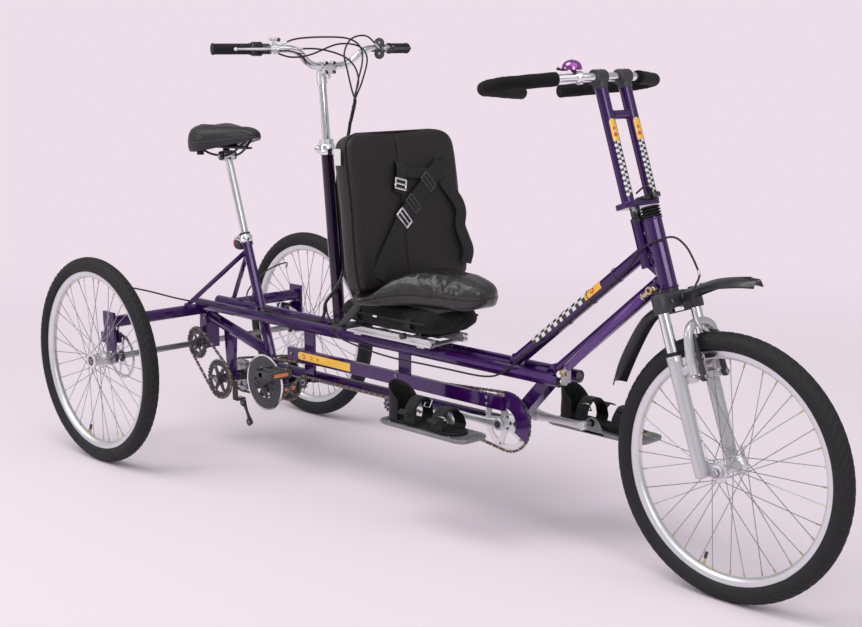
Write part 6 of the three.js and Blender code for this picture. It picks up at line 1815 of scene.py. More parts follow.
@dataclass
class Seat:
    """Cushion, backrest with its belts, and the bag below.

    Attributes:
        cushion_ends: Rear and front of the cushion.
        cushion_low: Height of its underside.
        cushion_size: Half width and thickness.
        back_foot: Foot of the backrest.
        back_head: Head of the backrest.
        back_size: Half width and thickness of the backrest.
        bag_ends: Rear and front of the bag.
        bag_heights: Underside and top of the bag.
        bag_half: Half width of the bag.
    """

    cushion_ends: tuple[float, float] = (-0.106, 0.262)
    cushion_low: float = 0.600
    cushion_size: tuple[float, float] = (0.208, 0.092)
    back_foot: Point = (-0.080, 0, 0.640)
    back_head: Point = (-0.146, 0, 1.074)
    back_size: tuple[float, float] = (0.216, 0.066)
    bag_ends: tuple[float, float] = (-0.262, 0.142)
    bag_heights: tuple[float, float] = (0.521, 0.586)
    bag_half: float = 0.112

    def cushion(self) -> None:
        """Builds the padded cushion, wide behind and narrow in front, with a sewn edge."""
        sections = (
            (0, 0.7, 0.06, 0.3), (0.033, 0.94, 0.0, 0.4), (0.125, 1, 0, 0.44), (0.19, 0.9, 0, 0.58),
            (0.27, 0.72, 0, 0.86),
            (0.4, 0.5, 0, 1), (0.587, 0.385, 0, 1), (0.777, 0.325, 0.02, 0.98), (0.9, 0.28, 0.08, 0.9),
            (0.967, 0.2, 0.18, 0.78),
            (1, 0.08, 0.34, 0.62),
        )
        half_section = (
            (0, 0.985), (0.28, 1.0), (0.56, 0.97), (0.8, 0.88), (0.94, 0.72), (1, 0.5), (0.985, 0.4),
            (0.99, 0.32),
            (0.93, 0.12), (0.8, 0),
        )
        rings = []
        for along, wide, low, high in sections:
            x = self.cushion_ends[0] + (self.cushion_ends[1] - self.cushion_ends[0]) * along
            half, foot = self.cushion_size[0] * wide, self.cushion_low + self.cushion_size[1] * low
            tall = self.cushion_size[1] * (high - low)
            right = [Vector((x, -half * a, foot + tall * b)) for a, b in half_section]
            left = [Vector((x, half * a, foot + tall * b)) for a, b in reversed(half_section[1:])]
            rings.append([*right, Vector((x, 0, foot)), *left])
        rings = spread(rings, 3)
        mould = Mould("seat_cushion_skin", SEAT_VINYL).loft(rings)
        skin = mould.build("seat", "vinyl", ["seat_cushion"], sharp=180, rounds=1)
        puffed(skin, SEAT_VINYL, 0.0055, 3.0, 0.006, 0.3)
        edge = Mould("seat_cushion_piping", BACK_VINYL)
        side = [ring[6] for ring in rings]
        other = [ring[-6] for ring in rings]
        edge.tube([*side, *reversed(other)], 0.0024, 10, looped=True)
        edge.build("seat", "vinyl")

    def on_back(self, up: float, across: float, deep: float) -> Vector:
        """Returns a place on the backrest: height share, place across and place ahead of its middle.

        Args:
            up: Share of the height.
            across: Place across, in metres.
            deep: Place ahead of its middle.

        Returns:
            The place.
        """
        foot, head = Vector(self.back_foot), Vector(self.back_head)
        rise = unit(head - foot)
        return foot + (head - foot) * up + Y_AXIS * across + Y_AXIS.cross(rise) * deep

    def face(self, across: float) -> float:
        """Returns how far ahead of the middle the padded face lies at a place across.

        Args:
            across: Place across, in metres.

        Returns:
            Distance from the middle to the face.
        """
        share = abs(across) / self.back_size[0]
        table = ((0, 0.4), (0.02, 0.47), (0.3, 0.5), (0.62, 0.58), (0.84, 0.78), (0.95, 0.84), (1, 0.62))
        for (low, start), (high, end) in zip(table, table[1:]):
            if share <= high:
                return self.back_size[1] * (start + (end - start) * (share - low) / (high - low))
        return self.back_size[1] * 0.3

    def back(self) -> None:
        """Builds the backrest with its middle seam and sewn edge."""
        sections = (
            (0, 0.86, 0.62), (0.02, 0.95, 0.88), (0.08, 1, 1), (0.3, 1, 1), (0.5, 0.98, 1.04),
            (0.72, 0.98, 1.04),
            (0.88, 0.97, 1), (0.95, 0.915, 0.93), (0.985, 0.8, 0.78), (1, 0.66, 0.5),
        )
        half_section = (
            (0, 0.385), (0.014, 0.41), (0.03, 0.46), (0.3, 0.5), (0.62, 0.58), (0.84, 0.78), (0.95, 0.84),
            (1, 0.62),
            (0.99, 0.1), (0.94, -0.28), (0.86, -0.5),
        )
        rings = []
        for up, wide, thick in sections:
            ring = []
            for side in (1, -1):
                half = [self.on_back(up, side * self.back_size[0] * wide * a,
                                     self.back_size[1] * b * (thick if b > 0 else 1))
                        for a, b in half_section]
                ring.append(half)
            rings.append([*ring[0], self.on_back(up, 0, -self.back_size[1] / 2), *reversed(ring[1][1:])])
        rings = spread(rings, 3)
        skin = Mould("backrest_skin", BACK_VINYL).loft(rings).build("seat", "vinyl", ["backrest"], sharp=180,
                                                                    rounds=1)
        edge = Mould("backrest_piping", BACK_VINYL)
        around = [ring[7] for ring in rings]
        other = [ring[-7] for ring in rings]
        edge.tube([*around, *reversed(other)], 0.0026, 10, looped=True)
        seam = [self.on_back(0.03 + 0.9 * i / 40, 0, self.back_size[1] * 0.405) for i in range(41)]
        edge.tube(seam, 0.0014, 8)
        edge.build("seat", "vinyl")
        tag = Mould("backrest_tag", WHITE_DECAL)
        edge_place = self.on_back(0.86, -self.back_size[0] * 0.985, 0.018)
        tag.block(edge_place + Vector((0.001, -0.0045, 0)), (0.026, 0.0012, 0.046), edge=0.0004)
        tag.build("seat", "cloth")

    def strap(self, name: str, places: Sequence[tuple[float, float, float]], width: float) -> None:
        """Builds one belt that follows the padded face.

        Args:
            name: Name of the belt.
            places: Height share, place across and lift off the face of points along it.
            width: Width of the webbing.
        """
        path = smooth_line([self.on_back(up, across, self.face(across) + lift) for up, across,
                            lift in places], 7)
        facing = Y_AXIS.cross(unit(Vector(self.back_head) - Vector(self.back_foot)))
        mould = Mould(name, WEBBING)
        length = ribbon(mould, path, [facing] * len(path), width)
        belt = mould.build("seat", "cloth", sharp=60)

    def slide(self, mould: Mould, up: float, across: float, turn: float, width: float,
              finish: Finish) -> None:
        """Adds a belt slide: a frame with a bar across its middle.

        Args:
            mould: Piece that it is added to.
            up: Share of the backrest's height.
            across: Place across the backrest.
            turn: How far the belt leans, in radians.
            width: Width of the belt.
            finish: Finish of the slide.
        """
        centre = self.on_back(up, across, self.face(across) + 0.0125)
        rise = unit(Vector(self.back_head) - Vector(self.back_foot))
        way = Matrix.Rotation(turn, 3, Y_AXIS.cross(rise)) @ rise
        side = way.cross(Y_AXIS.cross(rise))
        basis = Matrix((side, way, side.cross(way))).transposed()
        mould.use(finish)
        for reach in (-0.014, 0, 0.014):
            mould.block(centre + way * reach, (width + 0.01, 0.005, 0.004), basis, 0.0011)
        for end in (-1, 1):
            mould.block(centre + side * end * (width / 2 + 0.004), (0.005, 0.033, 0.004), basis, 0.0011)

    def belts(self) -> None:
        """Builds the shoulder and chest belts, their slides and bright buckles."""
        self.strap("belt_lower", [
            (0.07, -0.135, 0.004), (0.16, -0.112, 0.006), (0.3, -0.062, 0.008), (0.44, -0.012, 0.011),
            (0.56, 0.044, 0.012), (0.66, 0.094, 0.012), (0.735, 0.13, 0.01), (0.77, 0.148, 0.006),
        ], 0.046)
        self.strap("belt_upper", [
            (0.8, 0.0, 0.006), (0.765, -0.004, 0.009), (0.72, -0.008, 0.012), (0.66, -0.014, 0.012),
            (0.6, -0.022, 0.008),
        ], 0.034)
        self.strap("belt_chest", [
            (0.735, 0.004, 0.008), (0.722, 0.04, 0.010), (0.712, 0.08, 0.010), (0.72, 0.12, 0.008),
            (0.765, 0.152, 0.007),
            (0.79, 0.165, 0.006),
        ], 0.03)
        self.strap("belt_side", [
            (0.66, 0.15, 0.006), (0.575, 0.171, 0.008), (0.5, 0.188, 0.012), (0.43, 0.196, 0.01),
            (0.345, 0.190, 0.008),
            (0.25, 0.198, 0.012), (0.17, 0.205, 0.014), (0.09, 0.196, 0.008),
        ], 0.042)
        mould = Mould("belt_buckles", BLACK_PLASTIC)
        lean = math.radians(-52)
        self.slide(mould, 0.655, 0.092, lean, 0.044, BLACK_PLASTIC)
        self.slide(mould, 0.52, 0.027, lean, 0.044, BLACK_PLASTIC)
        self.slide(mould, 0.435, -0.013, lean, 0.044, CHROME)
        self.slide(mould, 0.655, -0.014, math.radians(-14), 0.032, CHROME)
        mould.build("seat", "chrome")

    def bag(self) -> None:
        """Builds the soft bag under the seat with its zip and folds."""
        middle = sum(self.bag_heights) / 2
        tall = (self.bag_heights[1] - self.bag_heights[0]) / 2
        rings = []
        for along, wide, high in (
            (0, 0.7, 0.5), (0.05, 0.9, 0.82), (0.14, 0.985, 0.96), (0.34, 0.97, 0.99), (0.6, 0.985, 1),
            (0.84, 0.97, 0.95),
            (0.95, 0.86, 0.8), (1, 0.6, 0.5),
        ):
            x = self.bag_ends[0] + (self.bag_ends[1] - self.bag_ends[0]) * along
            ring = []
            for step in range(28):
                angle = FULL_TURN * step / 28
                c, s = math.cos(angle), math.sin(angle)
                ring.append(Vector((
                    x, self.bag_half * wide * math.copysign(abs(c) ** 0.6, c),
                    middle + tall * high * math.copysign(abs(s) ** 0.72, s),
                )))
            rings.append(ring)
        skin = Mould("seat_bag_skin", BAG_CLOTH).loft(spread(rings, 4)).build("seat", "cloth", ["seat_bag"],
                                                                              sharp=180, rounds=1)
        puffed(skin, BAG_CLOTH, 0.006, 4.0, 0.009, 0.12)
        trim = Mould("seat_bag_trim", WEBBING)
        for side in (-1, 1):
            line = [(x / 1000, side * (self.bag_half + 0.001) * w, middle + 0.008) for x, w in (
                (-225, 0.9), (-180, 0.985), (-80, 1.0), (0, 1.0), (80, 0.99), (112, 0.93))]
            trim.tube(smooth_line(line, 5), 0.0032, 8)
        for x in (-0.17, 0.05):
            strap = [
                Vector((x, (self.bag_half + 0.003) * math.cos(a), middle + (tall + 0.0005) * math.sin(a)))
                for a in (math.radians(-80 + 340 * i / 30) for i in range(31))
            ]
            facings = [Vector((0, p.y, p.z - middle)) for p in strap]
            ribbon(trim, strap, facings, 0.022, 0.0018)
        trim.use(CHROME).block((-0.08, -self.bag_half - 0.0052, middle + 0.008), (0.016, 0.003, 0.007),
                               edge=0.001)
        trim.build("seat", "cloth")

    def rails(self) -> None:
        """Builds the grooved slide rails, with thin dark squares on their ends as painted shade for hollow
        bores, and the lock between them.
        """
        mould = Mould("slide_rail_bars", ALLOY)
        for side in (-1, 1):
            y = side * 0.066
            outline = [
                (-0.011, -0.011), (0.011, -0.011), (0.011, -0.004), (0.006, -0.004), (0.006, 0.004),
                (0.011, 0.004),
                (0.011, 0.011), (0.0045, 0.011), (0.0045, 0.0065), (-0.0045, 0.0065), (-0.0045, 0.011),
                (-0.011, 0.011),
                (-0.011, 0.004), (-0.006, 0.004), (-0.006, -0.004), (-0.011, -0.004),
            ]
            rings = [[Vector((x, y + a, 0.5 + b)) for a, b in outline] for x in (-0.25, 0.104)]
            mould.use(ALLOY).loft(rings)
            # Thin dark squares on both ends: painted shade standing in for the rails' open bores.
            mould.use(DARK_STEEL)
            for x in (-0.2502, 0.1042):
                mould.block((x, y, 0.4975), (0.0008, 0.0075, 0.0075), edge=0.0002)
            mould.use(ALLOY)
            for i in range(14):
                mould.block((-0.215 + 0.0215 * i, y, 0.5113), (0.004, 0.0205, 0.0014), edge=0.0004)
        for x in (-0.205, 0.062):
            mould.use(ALLOY).block((x, 0, 0.486), (0.030, 0.152, 0.0056), edge=0.0012)
            for side in (-1, 1):
                mould.use(STEEL).bolt((x, side * 0.052, 0.4884), Z_AXIS, 0.0045, 0.003)
        mould.build("frame", "alloy", ["slide_rails"], sharp=30)

    def build(self) -> None:
        """Builds the seat."""
        self.cushion()
        self.back()
        self.belts()
        self.bag()
        self.rails()
        hardware = Mould("seat_hardware", STEEL)
        for side in (-1, 1):
            for x in (-0.218, 0.053):
                hardware.bolt((x, side * 0.066, 0.5182), Z_AXIS, 0.0055, 0.0035)
            hardware.use(BLACK_PLASTIC).rod((0.012, side * 0.084, 0.5135), (0.012, side * 0.102, 0.5135),
                                            0.009, 20, 0.0015)
            hardware.use(STEEL)
        hardware.build("seat", "steel")


# Fork, front brakes and mudguard

HEAD_FOOT = Vector((0.858, 0, 0.741))
HEAD_LEAN = math.radians(18.7)
HEAD_TURN = Matrix.Rotation(-HEAD_LEAN, 3, "Y")


def head(x: float, y: float, z: float) -> Vector:
    """Returns a place in metres from millimetres ahead of, beside and up along the steering axis."""
    return HEAD_FOOT + HEAD_TURN @ Vector((x, y, z)) / MM_PER_METRE


def head_way(x: float, y: float, z: float) -> Vector:
    """Returns a direction given in the steering axis's frame."""
    return unit(HEAD_TURN @ Vector((x, y, z)))


@dataclass
class Fork:
    """Suspension fork, its boot, brakes and mudguard; sizes in millimetres along the steering axis.

    Attributes:
        leg: Place of a leg ahead of the axis and beside it.
        axle: Place of the wheel's axle ahead and up.
        crown: Foot and top of the crown.
        lowers: Top and foot of the lowers.
        post: Place of a brake arm's post.
    """

    leg: tuple[float, float] = (16, 65)
    axle: tuple[float, float] = (50.1, -450.9)
    crown: tuple[float, float] = (-57, -7)
    lowers: tuple[float, float] = (-160, -457)
    post: tuple[float, float] = (43, -224)

    def uppers(self) -> None:
        """Builds the blocky crown, the bright stanchions, the steering arm and its ball."""
        x, spread_y = self.leg
        low, high = self.crown
        mould = Mould("fork_crown_cast", BLACK_PAINT)
        for side in (-1, 1):
            eye = [(0, low), (20.2, low), (21.5, low + 2.5), (21.5, high - 9), (19, high - 4),
                   (13, high - 1.5), (0, high - 1.5)]
            profile = metres((r, z - low) for r, z in eye)
            mould.use(BLACK_PAINT).turn(profile, head(x, side * spread_y, low), head_way(0, 0, 1), 40)
            mould.use(CHROME).rod(head(x, side * spread_y, low - 190), head(x, side * spread_y, low + 3),
                                  0.014, 40)
            mould.use(DARK_STEEL).bolt(head(x, side * spread_y, high - 1.5), head_way(0, 0, 1),
                                       0.0085, 0.0035)
            mould.use(STEEL).bolt(head(x + 20.5, side * (spread_y - 17), -32), head_way(1, 0, 0),
                                  0.0042, 0.003)
        rings = []
        for y in (-60, -48, -36, -20, -10, 10, 20, 36, 48, 60):
            near = 1 - abs(y) / 60
            half_deep, top, foot = 17 + 3.5 * near, high - 6 + 5.5 * min(near * 1.6, 1), low + 3 + 8 * near
            centre = head(x * (1 - 0.35 * near), y, (top + foot) / 2)
            deep, tall = head_way(1, 0, 0) * half_deep / MM_PER_METRE, head_way(0, 0, 1) * (top - foot) / 2000
            rings.append(squared_ring(centre, deep, tall, 0.5, 24))
        mould.use(BLACK_PAINT).loft(rings)
        mould.turn([(0.0, -0.02), (0.0215, -0.02), (0.0225, -0.008), (0.0225, -0.0003), (0.0, -0.0003)],
                   head(0, 0, 0), head_way(0, 0, 1), 48)
        mould.use(STEEL).rod(head(0, 0, -20), head(0, 0, 178), 0.0154, 32)
        arm_end = head(-11, -48.5, 5)
        mould.use(BLACK_PAINT).tube(smooth_line([head(5.5, -46, -24), head(-1, -48.5, -12), arm_end], 6),
                                    0.0052, 16)
        mould.use(BRASS).rod(head(-11, -42, 5), head(-11, -52.6, 5), 0.008, 24, 0.002)
        mould.use(STEEL).rod(head(-11, -38.5, 5), head(-11, -42, 5), 0.0062, 6, 0.0008)
        ribs = [(0.012, 0.0003)]
        for i in range(4):
            base = 0.0006 + i * 0.0072
            ribs += [(0.0195, base), (0.0242, base + 0.0022), (0.0245, base + 0.0036), (0.0242, base + 0.005),
                     (0.0195, base + 0.0068)]
        ribs += [(0.0155, 0.0297), (0.012, 0.0297)]
        mould.use(GRIP_RUBBER).turn(ribs, head(0, 0, 177), head_way(0, 0, 1), 56)
        mould.build("fork", "black_paint", ["fork_crown"])

    def legs(self) -> None:
        """Builds the silver lowers with the bowed arch, the axle ends and the quick lever."""
        x, spread_y = self.leg
        high, low = self.lowers
        mould = Mould("fork_lowers_cast", FORK_SILVER)
        for side in (-1, 1):
            profile = [
                (0.0146, 0.0), (0.0168, 0.0), (0.0185, -0.004), (0.0187, -0.016), (0.0176, -0.026),
                (0.0172, -0.12), (0.0166, -0.25),
                (0.0172, -0.275), (0.0165, -0.292), (0.012, -0.297), (0.0, -0.297), (0.0, -0.29),
                (0.0146, -0.28),
            ]
            mould.use(FORK_SILVER).turn(profile, head(x, side * spread_y, high), head_way(0, 0, 1), 44)
            mould.use(GRIP_RUBBER).turn([
                (0.0143, -0.001), (0.0172, -0.001), (0.0178, 0.003), (0.0165, 0.0065), (0.0143, 0.0085),
            ], head(x, side * spread_y, high), head_way(0, 0, 1), 40)
            mould.use(DARK_STEEL).bolt(head(x, side * spread_y, low), head_way(0, 0, -1), 0.006, 0.0012)
            tab = [(-8, -14), (8, -15), (14, -6), (14.5, 6), (8, 14), (-10, 20), (-28, 34), (-40, 40),
                   (-40, -4), (-24, -6)]
            mould.use(FORK_SILVER).plate(
                metres(tab), head(self.axle[0], side * 50.8, self.axle[1]), head_way(1, 0, 0),
                head_way(0, 0, 1), 0.0088, 0.0014,
            )
            lug = [(-16, -8), (24, -9), (30, 0), (28, 9), (-16, 9)]
            mould.plate(metres(lug), head(x + 13, side * 50, -224), head_way(1, 0, 0),
                        head_way(0, 0, 1), 0.021, 0.003)
            mould.use(STEEL).rod(head(x + 28, side * self.post[0], self.post[1]),
                                 head(x + 67, side * self.post[0], self.post[1]), 0.005, 20)
        line = [(-51, -214), (-52, -180), (-52, -144), (-47, -114), (-30, -98), (0, -92.5), (30, -98),
                (47, -114), (52, -144), (52, -180), (51, -214)]
        centres = smooth_line([head(x + 47 - 9 * min(1, max(0, (-z - 110) / 70)), y, z) for y, z in line], 5)
        rings = []
        for i, centre in enumerate(centres):
            along = run_at(centres, i)
            across = head_way(1, 0, 0)
            out = unit(along.cross(across))
            share = abs(i / (len(centres) - 1) - 0.5) * 2
            wide, thick = 0.0104 + 0.0018 * share ** 2, 0.0132 - 0.0036 * (1 - share)
            rings.append(squared_ring(centre, across * wide, out * thick, 0.7, 20))
        mould.use(FORK_SILVER).loft(rings)
        for side in (-1, 1):
            foot = [head(x, side * 62, -196), head(x + 14, side * 57, -202), head(x + 38, side * 51.5, -192)]
            mould.tube(smooth_line(foot, 6), [0.0145 - 0.0003 * i for i in range(13)], 20)
        ax, az = self.axle
        mould.use(STEEL).rod(head(ax, -63, az), head(ax, 63, az), 0.0044, 20)
        for side in (-1, 1):
            mould.use(STEEL).rod(head(ax, side * 55.4, az), head(ax, side * 63.5, az), 0.0105, 6 if side < 0
                                 else 28, 0.001)
        mould.use(ALLOY).rod(head(ax, 60, az), head(ax, 68, az), 0.008, 24, 0.0015)
        mould.plate([(-0.005, 0), (0.005, 0), (0.0048, 0.03), (0.003, 0.044), (-0.003, 0.044),
                     (-0.0048, 0.03)],
                    head(ax, 66.5, az), head_way(1, 0, 0), head_way(0, 0, 1), 0.0045, 0.0012)
        mould.build("fork_slider", "alloy", ["fork_lowers"])

    def brake_arm(self, side: int) -> None:
        """Builds one rim brake arm with its pad, spring and cable end.

        Args:
            side: -1 for the right, 1 for the left.
        """
        name = SIDES[side]
        mould = Mould(f"brake_arm_{name}_cast", BLACK_PAINT)
        y, z = self.post
        front = 72.5
        sections = [(0, 8.6, 5.0), (12, 8.2, 5), (30, 7.2, 4.6), (56, 6.4, 4.2), (84, 5.6, 3.8),
                    (100, 5.2, 3.4), (104, 4.4, 2.6)]
        rings = []
        for reach, wide, thick in sections:
            across, deep = head_way(0, side, 0) * wide / MM_PER_METRE, head_way(1, 0,
                                                                                0) * thick / MM_PER_METRE
            rings.append(squared_ring(head(front, side * y, z + reach), across, deep, 0.6, 18))
        mould.loft(rings)
        profile = mirrored([(0.0058, -0.005), (0.0098, -0.005), (0.0105, -0.004)])
        mould.turn(profile, head(front, side * y, z), head_way(1, 0, 0), 32)
        mould.use(STEEL).bolt(head(front + 5.4, side * y, z), head_way(1, 0, 0), 0.0072, 0.0032)
        pad_z = self.axle[1] + math.sqrt(274.5 ** 2 - (front - self.axle[0]) ** 2)
        pad = [head(front + dx, side * 20.2, pad_z + 1.4 * (1 - (dx / 26) ** 2) - 1.2)
               for dx in (-26, -14, 0, 14, 26)]
        mould.use(GRIP_RUBBER)
        rings = []
        for i, centre in enumerate(smooth_line(pad, 4)):
            ease = 0.72 if i in (0, 16) else 1.0
            rings.append([centre + head_way(0, side, 0) * a * ease + head_way(0, 0, 1) * b * ease
                          for a, b in (
                (-0.0052, -0.0048), (-0.0052, 0.0048), (-0.002, 0.0055), (0.004, 0.0052), (0.005, 0.003),
                (0.005, -0.003),
                (0.004, -0.0052), (-0.002, -0.0055))])
        mould.loft(rings)
        stud = head(front, side * 24, pad_z)
        mould.use(ALLOY).rod(stud, head(front, side * 40, pad_z), 0.0042, 16)
        mould.use(STEEL).rod(head(front, side * 30, pad_z), head(front, side * 34.5, pad_z), 0.0082,
                             24, 0.001)
        mould.rod(head(front + 4.6, side * y, z + 98), head(front + 8.6, side * y, z + 98), 0.0048, 6, 0.0006)
        spring = [head(front - 3, side * (y + 9), z + t) for t in (2, 24, 48, 70)]
        mould.tube(smooth_line(spring, 4), 0.001, 8)
        mould.build(f"rim_brake_{name}", "black_paint", [f"brake_arm_{name}"])

    def brake_cable(self) -> None:
        """Builds the cable's last stretch beside the mudguard and the bent guide that leads it to the arm."""
        top, guide = head(101.6, -6, 13.1), head(84, -36, -62)
        run = [top, head(104, -20, 2), head(100, -40, -18), head(91, -42, -42), guide]
        mould = Mould("brake_cable_end", CABLE_SLEEVE)
        mould.tube(smooth_line(run, 7), CABLE_RADIUS, 16)
        bend = [guide, head(81, -33, -84), head(79.5, -24, -104), head(80.5, -10, -118), head(81.5, 4, -122),
                head(81.5, 15, -122.5)]
        mould.use(CHROME).tube(smooth_line(bend, 7), [0.0033] * 22 + [0.0026] * 14, 18)
        mould.use(ALLOY).rod(guide - head_way(0, 0.1, -1) * 0.004, guide + head_way(0, 0.1, -1) * 0.006,
                             0.0042, 20)
        mould.use(STEEL).rod(head(81.5, 15, -122.5), head(81.5, 26, -122.5), 0.0009, 8)
        mould.use(GRIP_RUBBER).tube([head(81.5, y, -122.5) for y in (6, 9, 13, 17, 21)],
                                    [0.0034, 0.0052, 0.0046, 0.005, 0.0032], 20)
        mould.build("fork_slider", "rubber")

    def mudguard(self) -> None:
        """Builds the two moulded blades with rolled edges, a middle rib and their bridge."""
        blades = (
            ("front", ((41, -22, 0.5), (64, -16, 0.8), (138, -10, 1.0), (212, -20, 1.0), (254, -32, 0.6))),
            ("rear", ((-9, -48, 0.6), (-38, -38, 0.9), (-84, -50, 1.0), (-124, -78, 1.0), (-186, -138, 1.0),
                      (-230, -192, 0.8))),
        )
        mould = Mould("mudguard_blades", GUARD_PLASTIC)
        arc = [-1 + i / 8 for i in range(17)]
        for which, table in blades:
            points = smooth_line([Vector((px, pz, wide)) for px, pz, wide in table], 7)
            rings = []
            for i, point in enumerate(points):
                run = (points[min(i + 1, len(points) - 1)] - points[max(i - 1, 0)]).xy.normalized()
                up = Vector((run.y, -run.x)) if run.x < 0 else Vector((-run.y, run.x))
                end_share = i / (len(points) - 1)
                top, foot = [], []
                for share in arc:
                    rib = 2.0 * max(0.0, 1 - abs(share) * 5) * min(1, 5 * (1 - end_share))
                    roll = 1.2 * max(0.0, (abs(share) - 0.86) / 0.14)
                    rim = (19 if which == "front" else 15) * share ** 2
                    y = share * point.z * 33
                    for row, lift in ((top, 2.6 + rib + roll), (foot, rib * 0.8)):
                        shift = up * (lift - rim)
                        row.append(head(point.x + shift.x, y, point.y + shift.y))
                rings.append([*top, *reversed(foot)])
            mould.use(GUARD_PLASTIC).loft(rings)
            if which == "front":
                mould.use(DARK_DECAL).plate(mirrored([(-0.009, -0.006), (0.009, -0.004)]),
                                            head(229, 0, -19.6), head_way(1, 0, -0.2), head_way(0, 1, 0),
                                            0.0008, 0.0002)
        mould.use(GUARD_PLASTIC).plate(
            mirrored([(-0.026, -0.014), (0.0345, -0.014)]), head(10, 0, -59.2),
            head_way(1, 0, 0),
            head_way(0, 1, 0), 0.003, 0.0008)
        mould.block(head(41.5, 0, -39), (0.0065, 0.028, 0.042), HEAD_TURN, 0.0015)
        mould.block(head(-9.5, 0, -53.5), (0.006, 0.028, 0.013), HEAD_TURN, 0.0015)
        for px, pz in ((72, -11.5), (96, -8.2)):
            mould.use(STEEL).bolt(head(px, 0, pz), head_way(0, 0, 1), 0.0048, 0.003)
        mould.build("fork", "black_plastic", ["mudguard"])

    def steering_rod(self) -> None:
        """Builds the slim steering rod with its ball joints."""
        low, high = Vector((0.570, -0.062, 0.491)), head(-11, -62, 5)
        run = unit(high - low)
        # The rod gets the lightened violet: painted light on the frame's paint.
        mould = Mould("steering_rod_tube", LIT_VIOLET)
        path = [low + run * 0.03, low + run * 0.034, high - run * 0.034, high - run * 0.03]
        mould.tube(path, [0.0085, 0.011, 0.011, 0.0085], 36)
        for end, way in ((low, 1), (high, -1)):
            mould.use(BRASS).rod(end + run * way * 0.008, end + run * way * 0.034, 0.0058, 20, 0.0008)
            mould.use(STEEL).rod(end + run * way * 0.024, end + run * way * 0.03, 0.0088, 6, 0.0008)
            mould.use(BRASS).turn(mirrored([(0.0056, -0.0052), (0.0092, -0.0052), (0.0102, -0.003)]), end,
                                  Y_AXIS, 36)
        mould.build("steer_link", "frame_paint", ["steering_rod"])
        rod_mould = Mould("push_rod_knuckle", STEEL)
        rod_mould.rod(low + Y_AXIS * 0.022, low - Y_AXIS * 0.0062, 0.0049, 20)
        rod_mould.use(CHROME).bolt(low - Y_AXIS * 0.0062, -Y_AXIS, 0.0072, 0.0035)
        rod_mould.build("push_rod", "steel")

    def build(self) -> None:
        """Builds the fork and what it carries."""
        self.uppers()
        self.legs()
        self.brake_arm(-1)
        self.brake_arm(1)
        self.brake_cable()
        self.mudguard()
        self.steering_rod()


# Handlebars, their controls and cables

COLUMN_FOOT = Vector((-0.370, 0, 0.484))
COLUMN_TOP = Vector((-0.420, 0, 1.010))


def on_column(height: float) -> Vector:
    """Returns the point of the captain's column at a height in metres."""
    return COLUMN_FOOT.lerp(COLUMN_TOP, (height - COLUMN_FOOT.z) / (COLUMN_TOP.z - COLUMN_FOOT.z))


